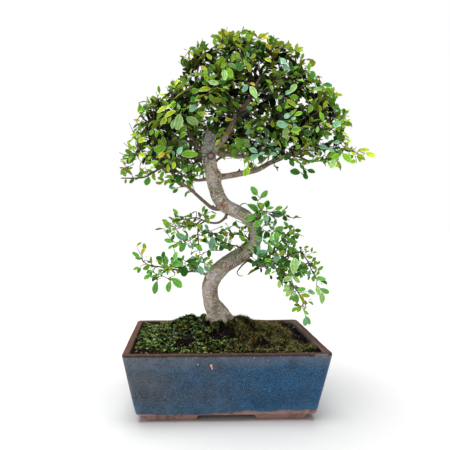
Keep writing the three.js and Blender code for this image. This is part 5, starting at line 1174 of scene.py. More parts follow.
def crumb_shape():
    """One crumb of potting mix, 1 mm across: a rounded lump with 20 faces."""
    shape = bmesh.new()
    bmesh.ops.create_icosphere(shape, subdivisions=1, radius=0.5)
    return shape_of(shape)


def scattered(shape, places, sizes, chance, flatten=1.0):
    """Copies of a shape at places, each turned at random and scaled by its sizes."""
    points, faces = shape
    turns = chance.normal(size=(len(places), 3, 3))
    turns = np.linalg.qr(turns)[0]
    flip = np.sign(np.linalg.det(turns))
    turns[:, :, 0] *= flip[:, None]
    copies = np.einsum("pk,nkj->npj", points, turns) * np.reshape(sizes, (-1, 1, 1))
    copies[:, :, 2] *= flatten
    copies += np.asarray(places)[:, None]
    return copies.reshape(-1, 3), faces_of_copies(faces, len(places), len(points))


def build_soil(look):
    """The potting mix: a heaped block with a rough top, and loose crumbs lying on it."""
    chance = np.random.default_rng(SOIL_SEED)
    plan, count = ground_grid(0.05)
    x, y = plan.T
    flat = on_plan(x, y)
    top = soil_height(x, y) + 0.9 * roughness_at(flat, 6, 31) + 0.7 * roughness_at(flat, 2.2, 32)
    top = np.where(ring_of(x, y) > 0.985, np.minimum(top, SOIL_EDGE + 0.5), top)
    block, block_faces = closed_sheet(plan, count, top, np.full(len(top), SOIL_EDGE - 3))
    # The block's foot narrows with the pot's walls
    low_half = np.array([POT_HALF_LENGTH, POT_HALF_DEPTH]) - WALL_THICKNESS
    low_lean = WALL_LEAN * (POT_HEIGHT - SCREEN_TOP) / (POT_HEIGHT - FOOT_HEIGHT)
    lower = slice(len(plan), 2 * len(plan))
    block[lower, :2] *= (low_half - low_lean - 3) / low_half
    block[lower, 2] = SCREEN_TOP + 0.2
    block[-1, 2] = SCREEN_TOP + 0.2
    loose = chance.uniform((-1, -1), (1, 1), (9000, 2)) * (POT_HALF_LENGTH, POT_HALF_DEPTH)
    loose = loose[ring_of(*loose.T) < NEAR_WALL]
    shown = moss_cover(*loose.T) < 0.55 + chance.uniform(-0.25, 0.1, len(loose))
    loose = loose[shown][:int(look.crumbs)]
    sizes = np.minimum(chance.lognormal(0.45, 0.4, len(loose)), 4)
    places = np.column_stack([loose, soil_height(*loose.T) + 0.35 * sizes])
    crumbs, crumb_faces = scattered(crumb_shape(), places, sizes, chance, 0.8)
    crumbs += 0.12 * np.repeat(sizes, CRUMB_POINTS)[:, None] * chance.normal(size=crumbs.shape)
    shades = np.array([look.soil_dark, look.soil_brown, look.soil_grit, look.soil_bark])
    picks = chance.choice(len(shades), len(loose), p=(0.5, 0.27, 0.08, 0.15))
    crumb_colours = np.repeat(shades[picks], CRUMB_POINTS, axis=0)
    colours = np.concatenate([np.tile(shades[0], (len(block), 1)), crumb_colours])
    points, faces = merged([(block, block_faces), (crumbs, crumb_faces)])
    mesh = new_mesh("potting_soil", points, faces)
    keep_colour(mesh, "crumb_colour", colours)
    return new_piece("potting_soil", mesh, potting_mix())


def moss_tint(places, look, chance):
    """The moss's colour at each place: fresh green at the left, reddish olive at the right, with
    patches darkened nearly to black as painted shade in the gaps between tufts.
    """
    x, y = places[:, 0], places[:, 1]
    flat = on_plan(x, y)
    drift = roughness_at(flat, 16, 25)
    bright = blended(look.moss_green, look.moss_yellow, eased(roughness_at(flat, 9, 26), -0.1, 0.35))
    dull = blended(look.moss_olive, look.moss_rust, eased(roughness_at(flat, 11, 27), -0.2, 0.3))
    to_right = eased(x + 22 * drift, -4, 26)
    colour = blended(bright, dull, to_right)
    colour = blended(colour, look.moss_blue, 0.8 * eased(roughness_at(flat, 8, 28), 0.34, 0.45))
    # Painted shade: the gaps between tufts are darkened nearly to black, and the tufts between them
    # brightened
    gaps = 0.05 + 2.6 * eased(roughness_at(flat, 3.5, 24) + 0.8 * roughness_at(flat, 1.6, 33), -0.15, 0.5)
    return colour * gaps[:, None] * chance.lognormal(0, 0.6, (len(places), 1))


def moss_height(x, y, cover):
    """The height of the moss carpet: cushions on the soil, and under it where the soil is bare."""
    flat = on_plan(x, y)
    cushions = 2.6 + 1.3 * roughness_at(flat, 15, 23) + 1.5 * roughness_at(flat, 5, 24)
    for (middle_x, middle_y), reach, height in MOSS_HUMPS:
        cushions += height * eased(np.hypot(x - middle_x, y - middle_y), reach, 0)
    risen = np.where(cover > 0, cushions * eased(cover, 0.15, 0.9), 0)
    return soil_height(x, y) + risen - 2.2 * (1 - eased(cover, 0.1, 0.5))


def shoot_shape():
    """One shoot of cushion moss, 1 mm high: a star of four narrow leaves that stand up from a foot."""
    points = [(0, 0, 0)]
    faces = []
    for k in range(4):
        turn = k * math.pi / 2
        out = np.array([math.cos(turn), math.sin(turn), 0])
        across = np.array([-math.sin(turn), math.cos(turn), 0])
        start = len(points)
        points.extend([out * 0.2 + across * 0.13 + (0, 0, 0.45), out * 0.2 - across * 0.13 + (0, 0, 0.45),
                       out * 0.5 + (0, 0, 0.9)])
        faces.extend([(0, start, start + 1), (start, start + 2, start + 1)])
    return np.array(points, float), np.array(faces)


def plantlet_shape(leaves, chance):
    """One small ground plant, 1 mm across: folded oval leaves that spread from its middle."""
    points = [(0, 0, 0)]
    faces = []
    for k in range(leaves):
        turn = k * 2.4 + chance.uniform(-0.2, 0.2)
        rise = chance.uniform(0.15, 0.6)
        out = np.array([math.cos(turn), math.sin(turn), rise])
        across = np.array([-math.sin(turn), math.cos(turn), 0])
        start = len(points)
        length = chance.uniform(0.4, 0.55)
        for part, width, lift in ((0.45, 0.11, 0.03), (0.75, 0.13, 0.05)):
            spine = out * length * part
            points.extend([spine + across * width + (0, 0, lift), spine - (0, 0, 0.01),
                           spine - across * width + (0, 0, lift)])
        points.append(out * length + (0, 0, -0.04))
        faces.extend([(0, start, start + 1), (0, start + 1, start + 2),
                      (start, start + 3, start + 4), (start, start + 4, start + 1),
                      (start + 1, start + 4, start + 5), (start + 1, start + 5, start + 2),
                      (start + 3, start + 6, start + 4), (start + 4, start + 6, start + 5)])
    return np.array(points, float), np.array(faces)


def upright(shape, places, heights, widths, tilts, chance):
    """Copies of a shape that stands up from places, turned about and tilted at random."""
    points, faces = shape
    count = len(places)
    turn = chance.uniform(0, 2 * math.pi, count)
    axis = np.column_stack([np.cos(turn), np.sin(turn), np.zeros(count)])
    up = unit(np.column_stack([chance.normal(size=(count, 2)) * np.reshape(tilts, (-1, 1)), np.ones(count)]))
    side = unit(np.cross(up, axis))
    front = np.cross(side, up)
    spread = points[None, :, 0:1] * front[:, None] + points[None, :, 1:2] * side[:, None]
    risen = points[None, :, 2:3] * up[:, None]
    copies = spread * np.reshape(widths, (-1, 1, 1)) + risen * np.reshape(heights, (-1, 1, 1))
    copies += np.asarray(places)[:, None]
    return copies.reshape(-1, 3), faces_of_copies(faces, count, len(points))


def strewn(count, least_cover, chance):
    """Places on the moss, more of them where it grows well."""
    spots = chance.uniform((-1, -1), (1, 1), (count * 2, 2)) * (POT_HALF_LENGTH, POT_HALF_DEPTH)
    spots = spots[ring_of(*spots.T) < NEAR_WALL]
    cover = moss_cover(*spots.T)
    kept = cover > least_cover + chance.uniform(0, 0.3, len(spots))
    spots, cover = spots[kept][:count], cover[kept][:count]
    return np.column_stack([spots, moss_height(*spots.T, cover)])


def build_moss(look):
    """The moss in three pieces: its carpet of cushions, its plantlets and its hair moss."""
    chance = np.random.default_rng(MOSS_SEED)
    material = living_moss()
    plan, count = ground_grid(0.6)
    cover = moss_cover(*plan.T)
    top = moss_height(*plan.T, cover)
    carpet, carpet_faces = closed_sheet(plan, count, top, np.minimum(top - 0.6, soil_height(*plan.T) - 2.5))
    spots = strewn(int(look.moss_shoots), 0.35, chance)
    heights = chance.uniform(1, 2.4, len(spots))
    shoots, shoot_faces = upright(shoot_shape(), spots - (0, 0, 0.5), heights, heights * 0.9, 0.35, chance)
    points, faces = merged([(carpet, carpet_faces), (shoots, shoot_faces)])
    mesh = new_mesh("moss_cushions", points, faces)
    tints = moss_tint(spots, look, chance)
    size = len(shoot_shape()[0])
    # Painted shade: each shoot is darkened towards its foot, down among the others, and brightened towards
    # its tip
    tops = np.tile(0.12 + 2.1 * shoot_shape()[0][:, 2] ** 2, len(spots))[:, None]
    # Painted shade: the carpet under the shoots is darkened nearly to black, as the shade between them
    ground = moss_tint(carpet, look, chance) * 0.06
    colours = np.concatenate([ground, np.repeat(tints, size, 0) * tops])
    keep_colour(mesh, "moss_colour", np.clip(colours, 0, 1))
    cushions = new_piece("moss_cushions", mesh, material)

    shapes = [plantlet_shape(leaves, chance) for leaves in (5, 6, 7, 8)]
    spots = strewn(int(look.plantlets), 0.3, chance)
    likely = 0.3 + 0.7 * eased(spots[:, 0] + 12 * roughness_at(spots, 12, 29), 22, -14)
    spots = spots[chance.uniform(size=len(spots)) < likely]
    parts, colours = [], []
    for k, shape in enumerate(shapes):
        here = spots[k::4]
        widths = chance.uniform(2, 4.2, len(here))
        feet = here + (0, 0, 1) * chance.uniform(-0.3, 1.4, (len(here), 1))
        parts.append(upright(shape, feet, widths, widths, 0.35, chance))
        greens = blended(look.plantlet_green, look.plantlet_lime, chance.beta(0.8, 0.8, len(here)))
        paler = eased(chance.uniform(size=len(here)), 0.9, 0.95)
        greens = blended(greens, look.moss_blue, paler)
        shade = chance.lognormal(0, 0.35, (len(here), 1))
        colours.append(np.repeat(greens * shade, len(shape[0]), axis=0))
    mesh = new_mesh("ground_plantlets", *merged(parts))
    keep_colour(mesh, "moss_colour", np.clip(np.concatenate(colours), 0, 1))
    plantlets = new_piece("ground_plantlets", mesh, material)

    spots = strewn(int(look.hair_moss), 0.25, chance)
    likely = 0.12 + 0.88 * eased(spots[:, 0] + 14 * roughness_at(spots, 12, 30), -8, 18)
    spots = spots[chance.uniform(size=len(spots)) < likely]
    hair = (np.array([(0.5, 0, 0), (-0.25, 0.43, 0), (-0.25, -0.43, 0), (0.15, 0, 1)]),
            np.array([(0, 1, 3), (1, 2, 3), (2, 0, 3), (2, 1, 0)]))
    heights = chance.uniform(2.5, 6.5, len(spots))
    hairs = upright(hair, spots - (0, 0, 0.6), heights, chance.uniform(0.3, 0.5, len(spots)), 0.5, chance)
    mesh = new_mesh("hair_moss", *hairs)
    reds = blended(look.moss_olive, look.moss_rust, chance.beta(0.8, 0.8, len(spots)))
    reds = reds * chance.lognormal(0, 0.25, (len(spots), 1))
    # Painted shade: each strand of hair moss is darkened at its foot and brightened at its tip
    lit = np.tile([0.25, 0.25, 0.25, 1.8], len(spots))[:, None]
    keep_colour(mesh, "moss_colour", np.clip(np.repeat(reds, 4, axis=0) * lit, 0, 1))
    return [cushions, plantlets, new_piece("hair_moss", mesh, material)]


# The flare where the trunk spreads into its roots: height and radius, and its five lobes
FLARE = [(58, 8), (74, 12), (81.5, 14), (87, 12), (94, 8.8)]
FLARE_MIDDLE = np.array([-2, 1.5])
FLARE_LOBES = 5
FLARE_LOBE_SHARE = 0.1

# The roots at the trunk's foot have the bark of wood of this radius
ROOT_GIRTH = 6

# How late along its length a limb thins: 1 is an even taper
LIMB_TAPER = 1.5

# The grid that the grown wood is fused on, the spacing of the points along its stems, and what its
# random draws start from
WOOD_GRID = 0.8
WOOD_STEP = 1.2
WOOD_SEED = 51

# How many sides the trunk has, its flare, a limb or root, and a stub
TRUNK_SIDES = 30
FLARE_SIDES = 40
LIMB_SIDES = 12
SPUR_SIDES = 8

# Marks on the wood: middle and radius. The pruning scar has healed, the knots are dark, and the
# cuts are fresh and pale
PRUNING_SCAR = ((-12.6, -6.8, 255), 3.6)
KNOTS = [((-11.5, -7, 217.5), 1.5), ((-5.5, -9, 210), 1.1), ((-1, -9, 205), 1.4), ((5, -7, 195.5), 1.5),
         ((-16, -9, 137), 1.2), ((-5, -10, 102), 1.6), ((5, -10, 94), 2), ((-13, -10, 92), 1.8)]
CUTS = [((-12.5, -0.5, 283), 4.6), ((16, -22, 304), 2)]

# Patches that show on the bark: lavender new skin, rusty flakes and green algae, with middle and reach
BARK_PATCHES = (
    [((-11, -11, 131), 7), ((-19, -7, 107), 6), ((-8, -10, 224), 6), ((33, -3, 181), 5), ((13, -8, 201), 7),
     ((-15, -8, 118), 6)],
    [((0, -8, 204), 7), ((5, -6, 196), 6), ((26, -3, 190), 6), ((42, 0, 172), 7), ((8, -6, 138), 6),
     ((-19, -6, 126), 5), ((-5, -8, 240), 6)],
    [((18, -6, 149), 10), ((-17, -4, 272), 7), ((-18, -5, 250), 7), ((16, -8, 197), 5), ((-4, -9, 100), 7),
     ((38, -4, 168), 6)])

# How far further along its grain the bark of each next stem and twig starts, so that no two are alike
STEM_GRAIN = 100
TWIG_GRAIN = 13


def along(path, share):
    """The point at a share of a path's length."""
    path = np.asarray(path, float)
    walked = walked_along(path)
    return np.array([np.interp(share * walked[-1], walked, column) for column in path.T])


def wood_stems():
    """Every stem of the grown wood: its middle line with the radius as a fourth column, and its
    number of sides."""
    stems = [(smooth_curve(TRUNK, WOOD_STEP), TRUNK_SIDES)]
    flare = [(-1 - 0.06 * (z - 58), 2 - 0.02 * (z - 58), z, r) for z, r in FLARE]
    stems.append((smooth_curve(flare, 1.5), FLARE_SIDES))
    for root in SURFACE_ROOTS:
        line = smooth_curve(root, 1.5)
        stems.append((np.column_stack([line, np.linspace(*ROOT_RADII, len(line))]), LIMB_SIDES))
    for (thick, thin), points in LIMBS.values():
        line = smooth_curve(points, WOOD_STEP)
        walked = np.arange(len(line)) * WOOD_STEP
        radius = thick + (thin - thick) * (walked / walked[-1]) ** LIMB_TAPER
        collar = 0.15 * thick * np.exp(-np.maximum(walked - 4, 0) / 5)
        stems.append((np.column_stack([line, radius + collar]), LIMB_SIDES))
    return stems


def spurs_on(stems, chance):
    """Short stubs along the limbs, where twigs have been nipped off."""
    spurs = []
    for line, _ in stems[2 + len(SURFACE_ROOTS):]:
        for k in range(9, len(line) - 6, 13):
            forward = unit(line[k + 1, :3] - line[k - 1, :3])
            aside = unit(np.cross(forward, chance.normal(size=3)))
            radius = line[k, 3]
            base = line[k, :3] + aside * radius * 0.5
            tip = base + (aside + forward * 0.5) * (radius + chance.uniform(0.2, 1))
            girth = radius * chance.uniform(0.35, 0.5)
            middle = (base + tip) / 2
            radii = [girth * 1.2, girth, girth * 0.8]
            spurs.append((np.column_stack([[base, middle, tip], radii]), SPUR_SIDES))
    return spurs


def fused(points, faces, grid):
    """One skin round overlapping shells, on a grid of the given size."""
    mesh = new_mesh("fusing", points, faces)
    shell = bpy.data.objects.new("fusing", mesh)
    bpy.context.scene.collection.objects.link(shell)
    remesh = shell.modifiers.new("fuse", "REMESH")
    remesh.mode = "VOXEL"
    remesh.voxel_size = grid * MM
    shapes = bpy.context.evaluated_depsgraph_get()
    skin = bpy.data.meshes.new_from_object(shell.evaluated_get(shapes))
    bpy.data.objects.remove(shell)
    bpy.data.meshes.remove(mesh)
    return skin


def relaxed(points, edges, steps, part):
    """Points moved towards the middle of their neighbours, a few times over."""
    reach = np.bincount(edges.ravel(), minlength=len(points))[:, None]
    for _ in range(steps):
        total = np.zeros_like(points)
        np.add.at(total, edges[:, 0], points[edges[:, 1]])
        np.add.at(total, edges[:, 1], points[edges[:, 0]])
        points = points + part * (total / np.maximum(reach, 1) - points)
    return points


def search_tree(points):
    """A tree that finds the point nearest to a place."""
    tree = kdtree.KDTree(len(points))
    for k, point in enumerate(points):
        tree.insert(point[:3], k)
    tree.balance()
    return tree


def grain_of(points, stems):
    """For each point of the wood, its place round and along the nearest stem, and the stem's radius."""
    lines = [line for line, _ in stems]
    samples = np.concatenate(lines)
    forwards = np.concatenate([frames_along(line[:, :3])[0] for line in lines])
    sides = np.concatenate([frames_along(line[:, :3])[1] for line in lines])
    walked = np.concatenate([STEM_GRAIN * k + np.arange(len(line)) * WOOD_STEP
                             for k, line in enumerate(lines)])
    tree = search_tree(samples)
    nearest = np.array([min(tree.find_n(point, 10), key=lambda hit: hit[2] - samples[hit[1], 3])[1]
                        for point in points])
    away = points - samples[nearest, :3]
    forward, side = forwards[nearest], sides[nearest]
    up = np.cross(forward, side)
    radius = samples[nearest, 3]
    angle = np.arctan2((away * up).sum(1), (away * side).sum(1))
    grain = np.column_stack([np.cos(angle) * radius, np.sin(angle) * radius,
                             walked[nearest] + (away * forward).sum(1)])
    return grain, radius


def from_trunk(points, line):
    """How far each point is from the skin of the trunk round its middle line."""
    tree = search_tree(line)
    hits = [tree.find(point) for point in points]
    return np.array([apart - line[k, 3] for _, k, apart in hits])


def build_trunk(look):
    """The trunk with its roots and limbs: one skin over all the wood, with bark relief and scars."""
    chance = np.random.default_rng(WOOD_SEED)
    stems = wood_stems()
    spurs = spurs_on(stems, chance)
    shapes = []
    for k, (line, sides) in enumerate([*stems, *spurs]):
        points, faces = tube(line[:, :3], line[:, 3], sides)
        if k == 1:
            turn = np.arctan2(*(points[:, :2] - FLARE_MIDDLE).T[::-1])
            wider = 1 + FLARE_LOBE_SHARE * np.cos(FLARE_LOBES * turn + 0.6)
            points[:, :2] = (points[:, :2] - FLARE_MIDDLE) * wider[:, None] + FLARE_MIDDLE
        shapes.append((points, faces))
    mesh = fused(*merged(shapes), WOOD_GRID)
    mesh.name = "elm_trunk"
    points = millimetres_of(mesh)
    edges = np.empty(len(mesh.edges) * 2, np.int32)
    mesh.edges.foreach_get("vertices", edges)
    points = relaxed(points, edges.reshape(-1, 2), 4, 0.5)
    grain, girth = grain_of(points, [*stems, *spurs])
    girth = np.maximum(girth, ROOT_GIRTH * eased(points[:, 2], 122, 106))
    girth = np.maximum(girth, ROOT_GIRTH * eased(from_trunk(points, stems[0][0]), 2.5, 0.8))
    move_points(mesh, points)
    normals = np.empty(len(points) * 3, np.float32)
    mesh.vertex_normals.foreach_get("vector", normals)
    normals = normals.reshape(-1, 3)
    stout = np.clip(girth / 6, 0, 1) ** 1.2
    around = grain * (1 / 3, 1 / 3, 1)
    relief = 0.55 * roughness_at(grain, 10, 51) + 0.26 * roughness_at(grain, 3.4, 52)
    relief += 0.16 * roughness_at(around, 1.2, 53)
    scar_middle, scar_radius = PRUNING_SCAR
    from_scar = distance_to(points, scar_middle)
    scar = eased(from_scar, scar_radius, scar_radius * 0.75)
    lip = eased(from_scar, scar_radius * 1.45, scar_radius) * (1 - scar)
    relief = relief * stout + 0.7 * lip - 0.45 * scar
    knots = np.zeros(len(points))
    for middle, radius in KNOTS:
        apart = distance_to(points, middle) / radius
        knots = np.maximum(knots, 0.8 * eased(apart + 0.4 * roughness_at(points, 1.5, 54), 1.2, 0.4))
        relief += 0.35 * eased(apart, 2.4, 1.2) * eased(apart, 0.7, 1.1) - 0.4 * eased(apart, 1.1, 0.4)
    knots = np.maximum(knots, 0.75 * eased(from_scar, scar_radius * 1.35, scar_radius * 1.1)
                       * eased(from_scar, scar_radius * 0.5, scar_radius * 0.85))
    # Painted shade: limbs deep in the crown are darkened nearly to black, through the knots' darkening
    deep = 0.65 * eased(points[:, 1], -2, 8) * eased(points[:, 2], 257, 268) * eased(girth, 4.6, 3.4)
    knots = np.maximum(knots, deep)
    weathered = 0.7 * eased(points[:, 2] + 4 * roughness_at(points, 5, 55), 250, 268)
    weathered *= eased(points[:, 0], -5, -9) * eased(girth, 4, 5)
    cuts = np.zeros(len(points))
    for middle, radius in CUTS:
        cuts = np.maximum(cuts, eased(distance_to(points, middle), radius * 1.05, radius * 0.9))
    points = points + normals * relief[:, None]
    move_points(mesh, points)
    mesh.shade_smooth()
    keep_vector(mesh, "bark_grain", grain)
    keep_number(mesh, "bark_girth", girth)
    keep_vector(mesh, "bark_wound", np.column_stack([scar, knots, cuts]))
    patches = [np.max([eased(distance_to(points, middle), reach * 1.2, reach * 0.4)
                       for middle, reach in kind], axis=0) for kind in BARK_PATCHES]
    keep_vector(mesh, "bark_patch", np.column_stack(patches))
    keep_number(mesh, "bark_weathered", weathered)
    return new_piece("elm_trunk", mesh, elm_bark(look))


# Limbs whose sprays hang low and thin: their leaves are laid one by one
LOW_LIMBS = ("low_left", "hanging", "knee_left", "knee_right", "low_right")

# The middle of the crown, which its leaves turn away from, and the tips that its sprays reach to
CROWN_MIDDLE = np.array([0, 8, 289])
CROWN_TIPS = np.array([tip for limb, sprays in SPRAYS.items() if limb not in LOW_LIMBS
                       for _, _, tips in sprays for tip in tips], float)

# How far apart two tips may be for another twig to reach between them, and the room it needs
NEIGHBOUR_REACH = 85
TWIG_ROOM = 12

# What the random draws start from for the crown's further twigs, and for the first limb. The other
# limbs count on from there
FILL_SEED = 99
FIRST_LIMB_SEED = 100

# Patches of leaves with a blue bloom: middle and reach
BLOOM_PATCHES = [((36, -50, 256), 17), ((59, -48, 282), 14), ((63, -32, 315), 12), ((19, -48, 317), 7),
                 ((-46, -46, 257), 9), ((-30, -44, 300), 6), ((-46, -38, 286), 6)]

# The spacing of the points along a twig, and how many sides a spray's stem has, a twig that grows
# from it, and the twigs on that one
TWIG_STEP = 2.2
STEM_SIDES = 6
TWIG_SIDES = 5
SIDE_TWIG_SIDES = 4

# A leaf blade: rows from its base to its tip, how far its teeth stand out, and its stalk
BLADE_ROWS = 7
TOOTH = 0.045
STALK = 0.14

# The columns of a grown leaf after its node, its direction and its face, which take three each
LENGTH, YOUTH, BREADTH = 9, 10, 11

# The kinds of blade: fold along the midrib, arch, twist, skew, and how far out it is widest
BLADES = ((0.3, 0.12, 0.1, 1, 0.92), (0.45, 0.22, -0.12, -1, 1.0), (0.16, 0.05, 0.2, 1, 1.15),
          (0.6, 0.3, -0.05, -1, 1.05), (0.25, -0.1, 0.25, -1, 1.1))

# How broad the leaves of the tables are, as a share of their length
BROAD = {"green": 0.5, "fresh": 0.52, "deep": 0.6, "dark": 0.45, "olive": 0.38, "lime": 0.46,
         "blue": 0.58, "pale": 0.5, "yellow": 0.55}

# How far a leaf's neighbours shade it, and the darkest that shade turns it inside the crown
SHADE_REACH = 26
DEEPEST_SHADE = 0.06

# The crown's outline, measured on the reference photograph, in whole millimetres on the plane
# through the middle of the pot
CROWN_OUTLINE = [
    (-109, 224), (-109, 233), (-104, 257), (-100, 271), (-95, 283), (-86, 294), (-89, 302), (-88, 311),
    (-78, 318), (-60, 321), (-55, 330), (-50, 338), (-43, 340), (-40, 352), (-45, 358), (-42, 366),
    (-34, 370), (-20, 377), (-8, 383), (0, 389), (22, 392), (35, 389), (49, 385), (59, 378), (81, 374),
    (86, 369), (90, 361), (100, 356), (91, 350), (99, 345), (109, 335), (116, 331), (128, 322),
    (118, 318), (124, 306), (135, 305), (138, 288), (135, 279), (139, 266), (156, 263), (161, 257),
    (138, 249), (127, 243), (114, 243), (102, 247), (100, 238), (104, 226), (78, 226), (60, 232),
    (50, 240), (-4, 228), (-40, 206), (-60, 222)]

# Places that the leaves leave open, measured in the same way: across, up, reach, and the
# depth in front of which no leaf hangs there
OPENINGS = [
    (-13, 279, 8, 0), (-14, 270, 9, 0), (-14, 261, 9, 0), (-13, 252, 8, 0), (-12, 243, 8, 0),
    (-27, 278, 8, 0), (-28, 266, 9, 0), (-29, 254, 9, 0), (-28, 243, 9, 0), (-25, 232, 9, 0),
    (-21, 221, 9, 0), (-14, 212, 9, 0), (-20, 289, 4, -18), (-14, 284, 4, -12), (-8, 278, 4, -5),
    (1, 274, 6, -4), (7, 284, 6, -8), (14, 295, 5.5, -12), (17, 300, 5, -14), (23, 307, 5, -17),
    (27, 313, 4.5, -19), (31, 320, 4, -21), (-4, 258, 4, 0), (8, 256, 4, 8), (20, 255, 4, 12),
    (-10, 248, 8, 90), (2, 246, 8, 90), (12, 246, 7, 90), (22, 248, 5, 90), (-12, 233, 4, 0),
    (0, 236, 4, -6), (12, 240, 4, -10), (24, 245, 4, -15), (36, 251, 4, -20), (-38, 214, 5, -20),
    (-48, 224, 4, -25), (-58, 236, 4, -30), (-44, 236, 7, 90), (-34, 289, 3.5, 90), (-44, 289, 3.5, 90),
    (2, 299, 3.5, 90), (14, 284, 4, 90), (40, 317, 3, 90), (-46, 276, 3, 90), (-92, 270, 4, 90),
    (-80, 275, 3, 90), (-81, 294, 4, 90), (31, 275, 4, 90)]

# Hollows between the sprays, where the leaves behind a depth stand in the deepest shade: across,
# up and reach, measured like the openings
HOLLOWS = [
    (33, 341, 11), (30, 328, 7), (13, 323, 8), (14, 334, 5), (45, 318, 9), (58, 309, 10), (40, 306, 7),
    (67, 320, 7), (75, 302, 8), (-26, 292, 6), (26, 296, 6), (55, 292, 7), (-60, 262, 7), (30, 270, 6)]
HOLLOW_DEPTH = -30

# How many of them, from the first on, have no leaf in front of them
CLEAR_HOLLOWS = 4


def half_width(t, fullness):
    """Half a blade's width at a share of its length: wedged at its base and blunt at its tip."""
    t = np.clip(t, 0, 1)
    return 0.5 * np.sin(np.pi * t ** fullness) ** (0.82 - 0.2 * t)


def leaf_blade(fold, arch, twist, skew, fullness):
    """One leaf, 1 long and 1 wide at its widest, with its base at the origin and its tip along Y.
    It gives the points, the triangles, and for each point its place across and along the blade and
    its closeness to the edge."""
    even = np.linspace(0, 1, BLADE_ROWS + 1)
    rows = 0.5 * even + 0.25 * (1 - np.cos(np.pi * even))
    points, marks, faces = [(0, t, 0) for t in rows], [(0, t, 0) for t in rows], []
    last = BLADE_ROWS - 2
    for side in (-1, 1):
        notch = len(points)
        for t in rows[1:-1]:
            w = half_width(t, fullness)
            points.append((side * w * (1 - TOOTH), t + 0.02 + skew * side * 0.03, 0))
            marks.append((side * w, t + 0.03, 0.9))
        tooth = len(points)
        for k in range(1, BLADE_ROWS):
            t = rows[k] + 0.7 * (rows[k + 1] - rows[k])
            points.append((side * (half_width(t, fullness) + TOOTH), t + 0.03 + skew * side * 0.03, 0))
            marks.append((side * half_width(t, fullness), t, 1))
        half = [(0, notch, 1), (last + 1, notch + last, tooth + last), (last + 1, tooth + last, last + 2)]
        for k in range(last):
            half.extend([(k + 1, notch + k, tooth + k), (k + 1, tooth + k, k + 2),
                         (k + 2, tooth + k, notch + k + 1)])
        faces.extend(face if side == 1 else face[::-1] for face in half)
    points, marks = np.array(points, float), np.array(marks, float)
    points[:, 1] = np.minimum(points[:, 1], 1)
    across, t = points[:, 0], points[:, 1].copy()
    lift = fold * np.abs(across) - arch * (t - 0.25) * np.abs(t - 0.25)
    wave = 0.07 * np.sin(9 * t + 2 * np.sign(across)) * np.abs(across)
    points[:, 2] = lift + wave + twist * across * t
    stalk = len(points)
    turns = np.arange(3) * 2 * math.pi / 3
    for y, r in ((-STALK, 0.028), (0.05, 0.018)):
        ring = np.column_stack([r * 1.7 * np.cos(turns), np.full(3, y), r * np.sin(turns) - 0.015])
        points, marks = np.vstack([points, ring]), np.vstack([marks, np.zeros((3, 3))])
    for k in range(3):
        beside = (k + 1) % 3
        faces.append((stalk + k, stalk + beside, stalk + 3 + beside))
        faces.append((stalk + k, stalk + 3 + beside, stalk + 3 + k))
    return points, np.array(faces), marks


class Foliage:
    """Gathers the twigs and leaves of one limb, to make them into one mesh each."""

    def __init__(self):
        self.twigs = []
        self.leaves = []
        self.tones = []
        self.bearers = []

    def twig(self, path, thick, thin, sides=TWIG_SIDES):
        """A twig along a path, that thins towards its end."""
        line = smooth_curve(path, TWIG_STEP)
        self.twigs.append((line, np.linspace(thick, thin, len(line)), sides))
        return line

    def leaf(self, node, direction, face, length, youth, tone="", broad=0.53):
        """A leaf on a twig's node, with its face turned the given way. A tone names its colour, and
        broad is its width as a share of its length."""
        self.leaves.append((*node, *direction, *face, length, youth, broad))
        self.tones.append(tone)
        self.bearers.append(len(self.twigs) - 1)

    def prune(self, laid, outline):
        """Takes out the leaves that grew past the crown's outline, into its openings or in front of
        the tables' leaves, and the twigs that this leaves bare."""
        leaves = np.array(self.leaves)
        kept = open_to_view(leaves, laid)
        if outline:
            kept &= inside_outline(points_on(leaves, 0.95))
        bearing = set(np.array(self.bearers)[kept])
        self.leaves = [leaf for leaf, stays in zip(self.leaves, kept) if stays]
        self.tones = [tone for tone, stays in zip(self.tones, kept) if stays]
        twigs, carried = [], False
        for k in reversed(range(len(self.twigs))):
            sides = self.twigs[k][2]
            stays = sides == STEM_SIDES or k in bearing or (sides == TWIG_SIDES and carried)
            carried = (carried or stays) and sides < TWIG_SIDES
            if stays:
                twigs.append(self.twigs[k])
        self.twigs = twigs[::-1]


def points_on(leaves, share):
    """The point at a share of the length of each leaf."""
    return leaves[:, :3] + leaves[:, 3:6] * leaves[:, LENGTH, None] * share


def leaf_face(node, direction, low, chance):
    """The way a leaf's upper side faces: up to the light and out of the crown."""
    if low:
        wish = np.array([0, -0.85, 0.45])
    else:
        wish = np.array([0, -0.1, 0.7]) + 0.45 * unit(node - CROWN_MIDDLE)
    wish = wish + chance.normal(size=3) * 0.42
    return unit(wish - direction * wish.dot(direction))


def leaves_along(foliage, line, first, step, length, spread, low, youth, chance):
    """Alternate leaves in two rows along a twig, at a step in millimetres from the first one."""
    walked = walked_along(line)
    forward = frames_along(line)[0]
    side = 1 if chance.uniform() < 0.5 else -1
    place = first
    while place < walked[-1] - 1:
        k = int(np.searchsorted(walked, place))
        up = leaf_face(line[k], forward[k], low, chance)
        out = np.cross(forward[k], up) * side
        angle = math.radians(chance.uniform(*spread)) * (1 - 0.25 * place / walked[-1])
        lift = up * chance.uniform(-0.15, 0.2)
        direction = unit(forward[k] * math.cos(angle) + out * math.sin(angle) + lift)
        size = length * chance.uniform(0.65, 1.2) * (0.82 + 0.18 * min(place / 8, 1))
        face = unit(up - direction * up.dot(direction))
        foliage.leaf(line[k], direction, face, size, youth)
        side = -side
        place += step * chance.uniform(0.85, 1.2)


